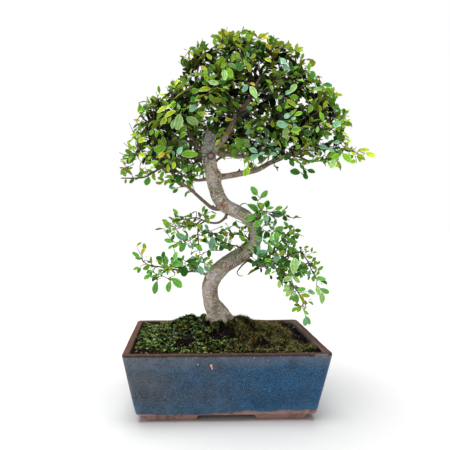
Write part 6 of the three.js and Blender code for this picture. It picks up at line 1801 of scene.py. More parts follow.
def twig_to(foliage, stem, tip, thick, length, low, youth, chance):
    """A twig from the stem to a terminal leaf that ends at the tip."""
    apart = distance_to(stem, tip)
    near = int(apart.argmin())
    start = max(near - int(0.3 * apart[near] / TWIG_STEP), 0)
    forward = unit(stem[min(start + 1, len(stem) - 1)] - stem[max(start - 1, 0)])
    root = stem[start]
    reach = np.linalg.norm(tip - root)
    last = unit(tip - root + (0, 0, 0.12 * reach))
    end = tip - last * length * (1 + STALK)
    middle = (root + end) / 2 + forward * 0.1 * reach + (0, 0, 0.03 * reach)
    if reach < length * 1.5:
        direction = unit(tip - root)
        face = leaf_face(root, direction, low, chance)
        foliage.leaf(root, direction, face, min(length, reach / 1.1), youth)
        return None
    line = foliage.twig([root, middle, end], thick, thick * 0.55)
    foliage.leaf(end, last, leaf_face(end, last, low, chance), length, youth)
    return line


def stem_of(limb, at, points):
    """The path of a spray's stem, from the wood that it springs from."""
    if at is not None:
        return [along(LIMBS[limb][1], at), *points]
    wood = smooth_curve(TRUNK, WOOD_STEP)[:, :3]
    near = wood[distance_to(wood, points[0]).argmin()]
    return [near, *points]


def crown_fill(count, chance):
    """More places in the crown for twigs to reach, each between two of its tips and clear of the
    others, listed by the limb and spray whose stem is nearest."""
    pairs = chance.integers(len(CROWN_TIPS), size=(count * 60, 2))
    shares = chance.uniform(0.15, 0.85, len(pairs))
    one, other = CROWN_TIPS[pairs[:, 0]], CROWN_TIPS[pairs[:, 1]]
    near = distance_to(one, other) < NEIGHBOUR_REACH
    between = one + (other - one) * shares[:, None]
    taken = list(CROWN_TIPS)
    for place in between[near & inside_outline(between)]:
        if distance_to(np.array(taken), place).min() > TWIG_ROOM:
            taken.append(place)
        if len(taken) == len(CROWN_TIPS) + count:
            break
    return by_spray(taken[len(CROWN_TIPS):])


def by_spray(rows):
    """Rows that start with a place, listed by the crown limb and spray whose stem is nearest."""
    stems, owners = [], []
    for limb, sprays in SPRAYS.items():
        if limb not in LOW_LIMBS:
            for number, (at, points, _) in enumerate(sprays):
                line = smooth_curve(stem_of(limb, at, points), 4)
                stems.append(line)
                owners.extend([(limb, number)] * len(line))
    stems = np.concatenate(stems)
    found = {}
    for row in rows:
        owner = owners[distance_to(stems, row[:3]).argmin()]
        found.setdefault(owner, []).append(row)
    return found


def side_twig(foliage, line, k, reach, size, low, youth, chance):
    """A short leafy twig from a point of a stem's line, with a leaf at its end."""
    forward = unit(line[k + 1] - line[k - 1])
    aside = unit(np.cross(forward, chance.normal(size=3)) + (0, 0, 0.15))
    end = line[k] + (aside + forward * 0.7) * chance.uniform(*reach)
    path = foliage.twig([line[k], (line[k] + end) / 2 + forward, end], 0.38, 0.22, SIDE_TWIG_SIDES)
    leaves_along(foliage, path, 2.5, 4, size * 0.88, (42, 62), low, youth, chance)
    last = unit(end - line[k])
    foliage.leaf(end, last, leaf_face(end, last, low, chance), size * chance.uniform(0.7, 1), youth)


def grow_crown(limb, fill, laid, look, chance):
    """The twigs and leaves of a crown limb."""
    foliage = Foliage()
    size = look.crown_leaf / MM
    rows = []
    for number, (at, points, tips) in enumerate(SPRAYS[limb]):
        stem = foliage.twig(stem_of(limb, at, points), 1.15, 0.6, STEM_SIDES)
        leaves_along(foliage, stem, 5, 6, size, (42, 62), False, 0.2, chance)
        for tip in np.array([*tips, *fill.get((limb, number), [])], float):
            youth = chance.beta(1.3, 1.5)
            length = size * chance.uniform(0.8, 1.15)
            line = twig_to(foliage, stem, tip, 0.5, length, False, youth, chance)
            if line is None:
                continue
            leaves_along(foliage, line, 3, 4.6, size, (42, 60), False, youth, chance)
            for k in range(3, len(line) - 1, 3):
                side_twig(foliage, line, k, (7, 13), size, False, youth, chance)
        rows.extend(laid.get((limb, number), []))
    wood = smooth_curve(LIMBS[limb][1], WOOD_STEP)
    for k in range(int(len(wood) * 0.35), len(wood) - 1, 6):
        side_twig(foliage, wood, k, (9, 17), size, False, 0.1, chance)
    foliage.prune(CROWN_LEAVES, True)
    wood = np.concatenate([line for line, _, _ in foliage.twigs])
    lay_leaves(foliage, wood, [*rows, *cluster_rows(limb, wood, chance)], chance)
    return foliage


def lay_leaves(foliage, reached, rows, chance):
    """The leaves of a table's rows. Each springs from the nearest twig or leaf that is already
    there, by a twig of its own."""
    waiting = [(np.array(row[:3], float), np.array((row[3], row[1], row[4]), float), row[5]) for row in rows]
    while waiting:
        apart = [distance_to(reached, row[0]) for row in waiting]
        pick = int(np.argmin([gaps.min() for gaps in apart]))
        base, tip, tone = waiting.pop(pick)
        start = reached[apart[pick].argmin()]
        along_it = tip - base
        base = base + (0, chance.uniform(-3, 3), 0)
        gap = np.linalg.norm(base - start)
        if gap > 1:
            bend = (0, chance.uniform(-0.1, 0.1) * gap, chance.uniform(-0.12, 0.12) * gap)
            foliage.twig([start, (start + base) / 2 + bend, base], 0.4, 0.28, SIDE_TWIG_SIDES)
        along_it = along_it + (0, chance.uniform(-0.5, 0.25) * np.linalg.norm(along_it), 0)
        long = np.linalg.norm(along_it)
        direction = along_it / long
        wish = np.array([0, -0.3, 1]) if tone == "olive" else np.array([0, -1, 0.35])
        wish = wish + chance.normal(size=3) * 0.22
        face = unit(wish - direction * wish.dot(direction))
        foliage.leaf(base - direction * STALK * long, direction, face, long, 0.5, tone, BROAD[tone])
        reached = np.vstack([reached, base, (start + base) / 2])


# Clusters of small leaves on some limbs, measured on the reference photograph: the middle
# across and up, the reach both ways, the number and the tones
# The tone dark is painted shade, for leaves that stand deep among the sprays
CLUSTERS = {
    "right_low": [
        (65, 263, 7, 6, 14, "dark olive"), (93, 268, 10, 6, 14, "dark green olive"),
        (104, 262, 8, 5, 8, "fresh deep"), (114, 262, 6, 4, 6, "fresh lime"),
        (97, 252, 6, 3, 5, "deep olive"), (106, 250, 4, 3, 3, "deep")],
    "lead_right": [
        (37, 349, 9, 8, 28, "dark"), (48, 353, 6, 6, 14, "dark"), (75, 304, 8, 6, 12, "dark deep")],
    "left_low": [
        (-85, 245, 9, 5, 10, "green lime olive"), (-95, 240, 6, 3, 5, "olive green"),
        (-40, 236, 7, 4, 9, "green deep olive"), (-27, 233, 6, 3, 6, "deep olive")],
    "left_mid": [
        (-62, 316, 5, 4, 5, "green lime")],
    "lead_up": [
        (-4, 364, 7, 7, 10, "dark deep")],
    "low_right": [
        (43, 160, 9, 8, 10, "blue deep green"), (61, 147, 9, 8, 18, "deep green"),
        (60, 145, 7, 6, 12, "dark deep"), (37, 150, 6, 4, 7, "dark deep"),
        (36, 159, 6, 4, 5, "deep fresh"), (47, 160, 4, 6, 6, "deep olive"),
        (63, 137, 6, 5, 7, "dark deep"), (73, 138, 5, 5, 6, "deep fresh"),
        (78, 147, 5, 9, 12, "olive deep"), (87, 137, 4, 7, 9, "olive green"),
        (68, 126, 7, 7, 9, "green pale"), (31, 154, 6, 4, 7, "deep olive"),
        (30, 150, 4, 3, 5, "dark deep"), (40, 166, 5, 4, 5, "deep fresh"),
        (40, 142, 5, 3, 4, "dark deep"), (50, 135, 5, 4, 5, "deep fresh")],
    "knee_right": [
        (65, 164, 7, 9, 13, "green deep pale"), (52, 177, 6, 6, 8, "green blue"),
        (70, 178, 6, 4, 6, "deep olive"), (45, 197, 10, 4, 8, "green deep"),
        (42, 183, 5, 4, 6, "fresh deep"), (44, 179, 5, 4, 5, "fresh deep")],
    "low_left": [
        (-22, 145, 8, 7, 15, "blue green lime"), (-56, 147, 8, 5, 8, "green deep"),
        (-60, 134, 8, 4, 6, "green olive"), (-38, 144, 7, 5, 7, "green deep")],
    "hanging": [
        (-34, 164, 7, 6, 10, "blue green"), (-20, 194, 8, 4, 9, "olive green"),
        (-38, 188, 12, 4, 12, "olive green"), (-48, 182, 7, 4, 5, "green olive")],
    "knee_left": [
        (1, 164, 9, 4, 9, "olive deep"), (-11, 177, 7, 3, 7, "deep blue"),
        (8, 180, 6, 4, 6, "deep olive"), (-10, 162, 6, 6, 7, "blue deep")],
}


def cluster_rows(limb, wood, chance):
    """Rows of leaves that fill a limb's clusters, at the depth of the nearest wood."""
    rows = []
    for across, up, wide, high, count, names in CLUSTERS.get(limb, ()):
        tones = names.split()
        for _ in range(count):
            aside = chance.uniform(-1, 1, 2) * (wide, high)
            base = (across, up) + aside
            depth = wood[np.hypot(*(wood[:, [0, 2]] - base).T).argmin(), 1] + chance.uniform(1, 7)
            turn = math.atan2(aside[1], aside[0]) + chance.normal() * 0.9
            tip = base + chance.uniform(4.5, 8.5) * np.array([math.cos(turn), math.sin(turn)])
            rows.append((base[0], depth, base[1], *tip, tones[chance.integers(len(tones))]))
    return rows


def grow_low(limb, look, chance):
    """The twigs and leaves of a low limb."""
    foliage = Foliage()
    size = look.low_leaf / MM
    ends = np.array([(row[3], row[1], row[4]) for row in LOW_LEAVES[limb]], float)
    wood = []
    for at, points, tips in SPRAYS[limb]:
        stem = foliage.twig(stem_of(limb, at, points), 0.85, 0.45, STEM_SIDES)
        wood.extend(stem)
        leaves_along(foliage, stem, 4, 4, size * 0.65, (40, 65), True, 0.3, chance)
        for k in range(3, len(stem) - 1, 3):
            side_twig(foliage, stem, k, (4, 8), size * 0.65, True, 0.4, chance)
        for tip in np.array(tips, float):
            if np.linalg.norm((ends - tip)[:, [0, 2]], axis=1).min() > SAME_LEAF:
                line = twig_to(foliage, stem, tip, 0.4, size * chance.uniform(0.5, 0.8), True, 0.5, chance)
                if line is not None:
                    leaves_along(foliage, line, 4, 5, size * 0.6, (40, 60), True, 0.5, chance)
    foliage.prune(LOW_LEAVES[limb], False)
    wood = np.array(wood)
    lay_leaves(foliage, wood, [*LOW_LEAVES[limb], *cluster_rows(limb, wood, chance)], chance)
    return foliage


def seen_from_front(points):
    """Where points stand when they are seen from the camera, across and up on the plane through
    the middle of the pot."""
    away = (points[..., 1:2] - CAMERA_PLACE[1]) / -CAMERA_PLACE[1]
    middle = np.array([CAMERA_PLACE[0], CAMERA_PLACE[2]])
    return middle + (points[..., [0, 2]] - middle) / away


def inside_outline(places):
    """Which places stand inside the crown's outline, seen from the front."""
    x, z = seen_from_front(places).T
    inside = np.zeros(len(x), bool)
    for (x0, z0), (x1, z1) in zip(CROWN_OUTLINE, [*CROWN_OUTLINE[1:], CROWN_OUTLINE[0]]):
        if z0 != z1:
            inside ^= ((z0 > z) != (z1 > z)) & (x < x0 + (x1 - x0) * (z - z0) / (z1 - z0))
    return inside


def open_to_view(leaves, laid):
    """Which leaves stay out of the openings and don't hide the leaves of the tables."""
    middles = points_on(leaves, 0.6)
    across = seen_from_front(middles)
    shut = np.zeros(len(leaves), bool)
    for x, z, reach, depth in OPENINGS:
        shut |= (np.hypot(across[:, 0] - x, across[:, 1] - z) < reach) & (middles[:, 1] < depth)
    for x, z, reach in HOLLOWS[:CLEAR_HOLLOWS]:
        shut |= (np.hypot(across[:, 0] - x, across[:, 1] - z) < reach * 0.8) & (middles[:, 1] < HOLLOW_DEPTH)
    spots = np.array([(0.5 * (row[0] + row[3]), row[1], 0.5 * (row[2] + row[4])) for row in laid], float)
    reach = np.array([0.32 * math.hypot(row[3] - row[0], row[4] - row[2]) + 1.5 for row in laid])
    for spot, radius, place in zip(spots, reach, seen_from_front(spots)):
        shut |= (np.hypot(*(across - place).T) < radius) & (middles[:, 1] < spot[1] + 4)
    return ~shut


def crown_shade(middles, others):
    """How light it is at each leaf: 1 at the outside of the crown and little inside it."""
    light = []
    for chunk in np.array_split(middles, max(len(middles) // 200, 1)):
        offset = others[None] - chunk[:, None]
        near = (np.linalg.norm(offset, axis=2) < SHADE_REACH)[..., None]
        lean = np.linalg.norm((offset * near).sum(1) / np.maximum(near.sum(1), 1), axis=1)
        light.append(eased(lean / (0.375 * SHADE_REACH), 0.35, 1))
    return DEEPEST_SHADE + (1 - DEEPEST_SHADE) * np.concatenate(light)


def leaf_tints(leaves, tones, light, look, chance):
    """A colour for each leaf: its named tone, or by its age, its place in the crown and its bloom,
    darkened by painted shade where little light reaches it inside the crown and in its hollows."""
    count = len(leaves)
    places, youth = points_on(leaves, 0.5), leaves[:, YOUTH]
    drift = roughness_at(places, 26, 61)
    fresh = np.clip(0.35 * youth + 0.5 * drift + 0.24 * chance.normal(size=count) + 0.4, 0, 1)
    colour = blended(look.leaf_deep, look.leaf_green, eased(fresh, 0.1, 0.5))
    high = eased(places[:, 2], 259, 364)
    colour = blended(colour, look.leaf_lime, eased(fresh + 0.2 * high, 0.66, 1.1))
    olive = eased(roughness_at(places, 14, 62) + 0.3 * chance.normal(size=count), 0.25, 0.6)
    colour = blended(colour, look.leaf_olive, olive)
    bloom = np.zeros(count)
    for middle, reach in BLOOM_PATCHES:
        apart = distance_to(places, middle)
        bloom = np.maximum(bloom, eased(apart, reach * 1.2, reach * 0.6))
    bloom = np.maximum(bloom * chance.uniform(0.4, 1, count), eased(chance.uniform(size=count), 0.95, 0.99))
    colour = blended(colour, look.leaf_blue, bloom)
    aged = chance.uniform(size=count) < look.yellow_share
    colour = np.where(aged[:, None], look.leaf_yellow, colour)
    for k, tone in enumerate(tones):
        if tone:
            colour[k] = getattr(look, "leaf_" + tone)
    front = seen_from_front(places)
    # Painted shade: leaves behind the hollows are darkened nearly to black
    for x, z, reach in HOLLOWS:
        inside = eased(np.hypot(front[:, 0] - x, front[:, 1] - z), reach, reach * 0.7)
        light = light * (1 - 0.9 * inside * (places[:, 1] > HOLLOW_DEPTH))
    # Painted shade: shaded leaves lose some of their blue, and every leaf is darkened by the light that
    # reaches it
    colour = colour * np.column_stack([np.ones(count), np.ones(count), 0.45 + 0.55 * light])
    return np.clip(colour * 1.2 * light[:, None] ** 1.4 * chance.lognormal(0, 0.2, (count, 1)), 0, 1)


def leaf_mesh(name, leaves, tints, chance):
    """One mesh of all the leaves, each a copy of one of a few blades."""
    blades = [leaf_blade(*shape) for shape in BLADES]
    size = len(blades[0][0])
    shapes = np.array([blade[0] for blade in blades])
    kind = chance.integers(len(blades), size=len(leaves))
    forward, up, length = leaves[:, 3:6], leaves[:, 6:9], leaves[:, LENGTH]
    side = np.cross(forward, up)
    width = length * leaves[:, BREADTH] * chance.uniform(0.85, 1.15, len(leaves))
    base = leaves[:, :3] + forward * (length * STALK)[:, None]
    local = shapes[kind]
    points = base[:, None] + local[:, :, 0:1] * (side * width[:, None])[:, None] \
        + local[:, :, 1:2] * (forward * length[:, None])[:, None] \
        + local[:, :, 2:3] * (up * (0.55 * length)[:, None])[:, None]
    mesh = new_mesh(name, points.reshape(-1, 3), faces_of_copies(blades[0][1], len(leaves), size))
    keep_vector(mesh, "blade", np.concatenate([blades[k][2] for k in kind]))
    keep_colour(mesh, "leaf_colour", np.repeat(tints, size, axis=0))
    return mesh


def twig_mesh(name, twigs, light):
    """One mesh of all the twigs of a limb, with the grain of their bark. Twigs deep in the crown
    are darkened by painted shade, as little light reaches them."""
    shapes, grains, girths, damp = [], [], [], []
    for k, (line, radii, sides) in enumerate(twigs):
        # Painted shade: the less light reaches a twig, the darker its bark
        damp.append(np.full(len(line) * sides + 2, 0.9 * (1 - light[k])))
        shapes.append(tube(line, radii, sides))
        turn = np.arange(sides) / sides * 2 * math.pi
        walked = TWIG_GRAIN * k + TWIG_STEP * np.arange(len(line))
        round_it = np.stack([radii[:, None] * np.cos(turn), radii[:, None] * np.sin(turn),
                             np.repeat(walked[:, None], sides, axis=1)], -1).reshape(-1, 3)
        grains.append(np.vstack([round_it, (0, 0, walked[0]), (0, 0, walked[-1])]))
        girths.append(np.concatenate([np.repeat(radii, sides), radii[:1], radii[-1:]]))
    mesh = new_mesh(name, *merged(shapes))
    keep_vector(mesh, "bark_grain", np.concatenate(grains))
    keep_number(mesh, "bark_girth", np.concatenate(girths))
    damp = np.concatenate(damp)
    keep_vector(mesh, "bark_wound", np.column_stack([np.zeros_like(damp), damp, np.zeros_like(damp)]))
    return mesh


def build_sprays(look, bark_look):
    """The twigs and the leaves of every limb, as two pieces for each limb."""
    bark, leaf = elm_bark(bark_look), elm_leaf(look)
    fill = crown_fill(look.crown_fill, np.random.default_rng(FILL_SEED))
    laid = by_spray(CROWN_LEAVES)
    grown = {}
    for number, limb in enumerate(SPRAYS):
        chance = np.random.default_rng(FIRST_LIMB_SEED + number)
        low = limb in LOW_LIMBS
        foliage = grow_low(limb, look, chance) if low else grow_crown(limb, fill, laid, look, chance)
        grown[limb] = (foliage.twigs, np.array(foliage.leaves), np.array(foliage.tones), chance)
    middles = {limb: points_on(leaves, 0.5) for limb, (_, leaves, _, _) in grown.items()}
    everywhere = np.concatenate(list(middles.values()))
    pieces = []
    for limb, (twigs, leaves, tones, chance) in grown.items():
        light, twig_light = np.ones(len(leaves)), np.ones(len(twigs))
        if limb not in LOW_LIMBS:
            # Painted shade for the leaves and twigs inside the crown, from how their neighbours shade them
            light = crown_shade(middles[limb], everywhere)
            light = np.where(tones != "", np.maximum(light, 0.85), light)
            twig_light = crown_shade(np.array([line[len(line) // 2] for line, _, _ in twigs]), everywhere)
        tints = leaf_tints(leaves, tones, light, look, chance)
        wood = new_piece(limb + "_twigs", twig_mesh(limb + "_twigs", twigs, twig_light), bark)
        blades = new_piece(limb + "_leaves", leaf_mesh(limb + "_leaves", leaves, tints, chance), leaf)
        pieces.append((limb, wood, blades))
    return pieces


# The camera that takes the reference view: its place about the middle of the pot, in millimetres,
# its turns in degrees, its lens in millimetres and its sideways shift
CAMERA_PLACE = (-37.4, -498.7, 192.2)
CAMERA_PITCH = -1.02
CAMERA_YAW = 1.6
CAMERA_LENS = 37.8
CAMERA_SHIFT = 0.0556

# The white floor: its reach, its rings and the points on each
FLOOR_REACH = 6000
FLOOR_RINGS = 24
FLOOR_STEPS = 96


def build_stage(look):
    """A plain white floor, soft studio light and the camera at the photograph's angle."""
    turns = np.linspace(0, 2 * math.pi, FLOOR_STEPS, endpoint=False)
    rings = [on_plan(reach * np.cos(turns), reach * np.sin(turns))
             for reach in np.geomspace(20, FLOOR_REACH, FLOOR_RINGS)]
    points = np.concatenate([*rings, [[0, 0, 0]]])
    spot = np.arange(FLOOR_STEPS)
    hub = np.stack([np.roll(spot, -1), spot, np.full(FLOOR_STEPS, len(points) - 1)], -1)
    floor_faces = np.concatenate([ring_faces(FLOOR_RINGS, FLOOR_STEPS)[:, ::-1], hub[:, ::-1]])
    floor = new_piece("studio_floor", new_mesh("studio_floor", points, floor_faces), studio_paper(look))

    scene = bpy.context.scene
    world = bpy.data.worlds.new("studio_air")
    scene.world = world
    world.use_nodes = True
    tree = world.node_tree
    tree.nodes.clear()
    seen = add(tree, "LightPath", out="Is Camera Ray")
    around = add(tree, "Background", {"Color": solid(look.air), "Strength": look.air_strength})
    behind = add(tree, "Background", {"Color": solid(look.backdrop), "Strength": 1})
    add(tree, "OutputWorld", {"Surface": add(tree, "MixShader", {0: seen, 1: around, 2: behind})})

    for name, from_side, angle, power in (("key", look.key_side, look.key_angle, look.key_power),
                                          ("fill", look.fill_side, look.fill_angle, look.fill_power)):
        light = bpy.data.lights.new(name, "SUN")
        light.angle = angle
        light.energy = power
        lamp = bpy.data.objects.new(name, light)
        lamp.rotation_euler = Vector(from_side).to_track_quat("Z", "Y").to_euler()
        scene.collection.objects.link(lamp)

    lens = bpy.data.cameras.new("camera")
    lens.lens = CAMERA_LENS
    lens.sensor_width = 36
    lens.shift_x = CAMERA_SHIFT
    lens.clip_end = 100
    camera = bpy.data.objects.new("camera", lens)
    camera.location = to_frame(CAMERA_PLACE)
    camera.rotation_euler = (math.radians(90 + CAMERA_PITCH), 0, math.radians(-CAMERA_YAW))
    scene.collection.objects.link(camera)
    scene.camera = camera
    scene.view_settings.view_transform = "Standard"
    return floor


def tint(name, code, description):
    """A colour that a user can change, from its sRGB hex code."""
    return FloatVectorProperty(name=name, description=description, subtype="COLOR", min=0, max=1,
                               default=linear(code))


def amount(name, value, description, **limits):
    """A plain number that a user can change."""
    return FloatProperty(name=name, description=description, default=value, **limits)


def length(name, value, description):
    """A length in metres that a user can change."""
    return FloatProperty(name=name, description=description, default=value, min=0, unit="LENGTH",
                         subtype="DISTANCE")


class PotLook(bpy.types.PropertyGroup):
    """The colours of the pot's glaze and clay, and of the mesh over its drain holes."""
    glaze_left: tint("Thin glaze", "#3b4654", "Grey-violet of the glaze towards the left")
    glaze_right: tint("Full glaze", "#04436a", "Blue of the glaze towards the right")
    glaze_bronze: tint("Broken glaze", "#5c5450", "Bronze brown where the glaze is thin")
    glaze_rim: tint("Milky glaze", "#5e636c", "Lavender of the glaze below the rim")
    glaze_foot: tint("Pooled glaze", "#316083", "Lighter blue of the glaze pooled along the foot")
    glaze_speckle: tint("Light speckle", "#6f8895", "Fine light speckle in the glaze")
    glaze_iron: tint("Iron speckle", "#0b1822", "Dark iron blots in the glaze")
    lime_speck: tint("Lime specks", "#cfcfca", "Single white specks in the glaze")
    clay_rim: tint("Rim clay", "#614235", "Brown of the bare clay on the rim")
    clay_foot: tint("Foot clay", "#a8847a", "Pinkish brown of the bare clay on the feet")
    clay_stain: tint("Stained clay", "#2b201b", "Soil stain on the bare clay")
    clay_bloom: tint("Chalky clay", "#b39c90", "Chalky grain in the bare clay")
    lime_crust: tint("Lime crust", "#eef2f6", "Lime that has dried on the inside of the wall")
    clay_rim_band: tint("Burnt clay", "#2a1c16", "Clay that the fire darkened along the rim")
    clay_fresh: tint("Fresh clay", "#dcb2a6", "Pale pink clay inside the chip")
    screen: tint("Drain mesh", "#1f2422", "Dark green plastic of the drain mesh")
    screen_dust: tint("Mesh dust", "#4a4238", "Soil dust on the drain mesh")


class GroundLook(bpy.types.PropertyGroup):
    """The colours of the soil and moss, and how much of each there is."""
    soil_dark: tint("Peat", "#0c0a08", "Nearly black damp peat")
    soil_brown: tint("Brown crumbs", "#2a1f18", "Brown crumbs of the mix")
    soil_grit: tint("Grit", "#7d7468", "Pale grit in the mix")
    soil_bark: tint("Bark crumbs", "#4d3427", "Reddish bark crumbs")
    crumbs: IntProperty(name="Crumbs", description="Loose crumbs on the soil", default=1900, min=0)
    moss_green: tint("Moss", "#6a7f40", "Fresh green of the cushion moss")
    moss_yellow: tint("Young moss", "#9ea058", "Yellow-green of young moss")
    moss_olive: tint("Olive moss", "#82854c", "Olive of the drier moss")
    moss_rust: tint("Rusty moss", "#846545", "Reddish brown of the moss's stalks")
    moss_blue: tint("Blue moss", "#7f9f86", "Pale blue-green tufts")
    plantlet_green: tint("Plantlets", "#4c7434", "Green of the tiny ground plants")
    plantlet_lime: tint("Young plantlets", "#93ad66", "Lime green of their youngest leaves")
    moss_shoots: IntProperty(name="Moss shoots", description="Shoots of cushion moss", default=7500, min=0)
    plantlets: IntProperty(name="Plantlets", description="Tiny ground plants", default=900, min=0)
    hair_moss: IntProperty(name="Hair moss", description="Strands of hair moss", default=6500, min=0)


class BarkLook(bpy.types.PropertyGroup):
    """The colours of the elm's bark and wood."""
    bark_grey: tint("Grey bark", "#c3b5a3", "Grey of the trunk's skin")
    bark_green: tint("Green bark", "#86836a", "Greenish grey of algae on the bark")
    bark_lavender: tint("Lavender bark", "#c0aabb", "Lavender-pink of the newest skin")
    bark_rust: tint("Rusty bark", "#8a5530", "Orange-brown where the bark flakes")
    bark_pore: tint("Pores", "#35291f", "Dark pores, wrinkles and knots")
    bark_bloom: tint("Bloom", "#ece4dc", "Pale bloom on the raised bark")
    bark_brown: tint("Limb bark", "#745a49", "Brown skin of the limbs")
    twig_brown: tint("Twig bark", "#3e261e", "Dark brown skin of the twigs")
    bark_scar: tint("Healed scar", "#b89290", "Pinkish wood of the healed pruning scar")
    bark_weathered: tint("Weathered top", "#9aa2a6", "Blue-grey of the trunk's weathered top")
    cut_wood: tint("Cut wood", "#d9c49c", "Pale wood of fresh cuts")


class LeafLook(bpy.types.PropertyGroup):
    """The sizes and colours of the elm's leaves."""
    crown_leaf: length("Crown leaf", 0.0098, "Length of a leaf blade in the crown")
    crown_fill: IntProperty(name="Crown fill", description="Most twigs added between the crown's tips",
                            default=800, min=0)
    low_leaf: length("Low leaf", 0.012, "Length of a leaf blade on the low limbs")
    leaf_deep: tint("Deep green", "#356824", "Dark green of the oldest leaves")
    leaf_dark: tint("Shade green", "#1e3810", "Leaves that stand in deep shade")
    leaf_green: tint("Leaf green", "#6d9c2e", "Mid green of most leaves")
    leaf_fresh: tint("Fresh green", "#69a34b", "Fresh green of the leaves on the low limbs")
    leaf_lime: tint("Young green", "#9db22a", "Yellow-green of the youngest leaves")
    leaf_olive: tint("Olive green", "#727a1c", "Olive of leaves that were scorched a little")
    leaf_blue: tint("Blue bloom", "#76a583", "Pale blue-green of leaves with a waxy bloom")
    leaf_pale: tint("Pale leaf", "#8fb56c", "Pale green of thin leaves on the hanging twigs")
    leaf_yellow: tint("Yellow leaf", "#b8ae30", "Yellow of the few fading leaves")
    yellow_share: amount("Yellow share", 0.005, "Share of the leaves that have turned yellow", min=0, max=1)
    see_through: amount("See-through", 0.16, "Share of the light that passes through a blade", min=0, max=1)
    vein_pairs: IntProperty(name="Vein pairs", description="Side veins on each half of a blade",
                            default=8, min=1)


class StageLook(bpy.types.PropertyGroup):
    """The studio: its floor, its air and its two soft lamps."""
    paper: tint("Floor paper", "#d4d4d4", "White of the floor")
    backdrop: tint("Backdrop", "#ffffff", "White that the camera sees behind the floor")
    air: tint("Studio air", "#ffffff", "Colour of the light from all round")
    air_strength: amount("Air strength", 0.2, "Strength of the light from all round", min=0)
    key_side: FloatVectorProperty(name="Key side", description="The way from the bonsai to the key lamp",
                                  default=(-0.05, 0.03, 1), subtype="DIRECTION")
    key_angle: FloatProperty(name="Key softness", description="How wide the key lamp looks from the bonsai",
                             default=math.radians(50), min=0, subtype="ANGLE")
    key_power: amount("Key power", 4.4, "Light that the key lamp sheds, in watts a square metre", min=0)
    fill_side: FloatVectorProperty(name="Fill side", description="The way from the bonsai to the fill lamp",
                                   default=(-0.55, -0.7, 0.5), subtype="DIRECTION")
    fill_angle: FloatProperty(name="Fill softness",
                              description="How wide the fill lamp looks from the bonsai",
                              default=math.radians(80), min=0, subtype="ANGLE")
    fill_power: amount("Fill power", 1.2, "Light that the fill lamp sheds, in watts a square metre", min=0)


class BonsaiLook(bpy.types.PropertyGroup):
    """Everything that a user can change on the bonsai."""
    pot: PointerProperty(type=PotLook)
    ground: PointerProperty(type=GroundLook)
    bark: PointerProperty(type=BarkLook)
    leaf: PointerProperty(type=LeafLook)
    stage: PointerProperty(type=StageLook)


class BONSAI_OT_pot(bpy.types.Operator):
    """Make the glazed pot with its feet"""
    bl_idname = "bonsai.pot"
    bl_label = "Pot"

    def execute(self, context):
        piece = build_pot(context.scene.bonsai.pot)
        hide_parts("pot")
        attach(piece, "root")
        return {"FINISHED"}


class BONSAI_OT_screens(bpy.types.Operator):
    """Finish the mesh screens over the drain holes in moulded plastic"""
    bl_idname = "bonsai.screens"
    bl_label = "Drain Screens"

    def execute(self, context):
        material = moulded_mesh(context.scene.bonsai.pot)
        for name in ("drain_screen_left", "drain_screen_right"):
            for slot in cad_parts[name].material_slots:
                slot.material = material
        return {"FINISHED"}


class BONSAI_OT_soil(bpy.types.Operator):
    """Make the potting soil with its crumbs"""
    bl_idname = "bonsai.soil"
    bl_label = "Soil"

    def execute(self, context):
        piece = build_soil(context.scene.bonsai.ground)
        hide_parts("soil")
        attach(piece, "root")
        return {"FINISHED"}


class BONSAI_OT_moss(bpy.types.Operator):
    """Make the moss cushions, the plantlets and the hair moss"""
    bl_idname = "bonsai.moss"
    bl_label = "Moss"

    def execute(self, context):
        for piece in build_moss(context.scene.bonsai.ground):
            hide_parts("moss")
            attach(piece, "root")
        return {"FINISHED"}


class BONSAI_OT_trunk(bpy.types.Operator):
    """Make the trunk with its roots and limbs"""
    bl_idname = "bonsai.trunk"
    bl_label = "Trunk"

    def execute(self, context):
        piece = build_trunk(context.scene.bonsai.bark)
        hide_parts("trunk")
        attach(piece, "root")
        return {"FINISHED"}


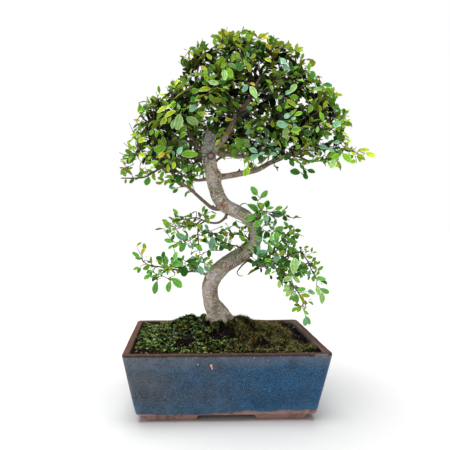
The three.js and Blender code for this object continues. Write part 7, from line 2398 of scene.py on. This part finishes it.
class BONSAI_OT_sprays(bpy.types.Operator):
    """Make the twigs and leaves of every limb"""
    bl_idname = "bonsai.sprays"
    bl_label = "Sprays"

    def execute(self, context):
        looks = context.scene.bonsai
        for limb, twigs, leaves in build_sprays(looks.leaf, looks.bark):
            nodes = [f"spray_{limb}_{k + 1}" for k in range(len(SPRAYS[limb]))]
            for piece in (twigs, leaves):
                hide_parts(*nodes)
                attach(piece, "root")
        return {"FINISHED"}


class BONSAI_OT_stage(bpy.types.Operator):
    """Make the studio floor, its light and the camera"""
    bl_idname = "bonsai.stage"
    bl_label = "Stage"

    def execute(self, context):
        build_stage(context.scene.bonsai.stage)
        return {"FINISHED"}


OPERATORS = (BONSAI_OT_pot, BONSAI_OT_screens, BONSAI_OT_soil, BONSAI_OT_moss, BONSAI_OT_trunk,
             BONSAI_OT_sprays, BONSAI_OT_stage)


class BONSAI_PT_panel(bpy.types.Panel):
    """Lists the bonsai's pieces and what can be changed on them"""
    bl_idname = "BONSAI_PT_panel"
    bl_label = "Chinese Elm Bonsai"
    bl_space_type = "VIEW_3D"
    bl_region_type = "UI"
    bl_category = "Bonsai"

    def draw(self, context):
        for operator in OPERATORS:
            self.layout.operator(operator.bl_idname)
        looks = context.scene.bonsai
        for group in (looks.pot, looks.ground, looks.bark, looks.leaf, looks.stage):
            box = self.layout.box()
            for name in group.bl_rna.properties.keys():
                if name not in ("rna_type", "name"):
                    box.prop(group, name)


CLASSES = (PotLook, GroundLook, BarkLook, LeafLook, StageLook, BonsaiLook, *OPERATORS, BONSAI_PT_panel)


def register():
    """Adds the bonsai's classes and its settings to Blender."""
    for item in CLASSES:
        bpy.utils.register_class(item)
    bpy.types.Scene.bonsai = PointerProperty(type=BonsaiLook)


def unregister():
    """Takes them out again."""
    del bpy.types.Scene.bonsai
    for item in reversed(CLASSES):
        bpy.utils.unregister_class(item)


def main():
    """Builds the whole bonsai."""
    register()
    bpy.ops.bonsai.pot()
    bpy.ops.bonsai.screens()
    bpy.ops.bonsai.soil()
    bpy.ops.bonsai.moss()
    bpy.ops.bonsai.trunk()
    bpy.ops.bonsai.sprays()
    bpy.ops.bonsai.stage()


if __name__ == "__main__":
    main()
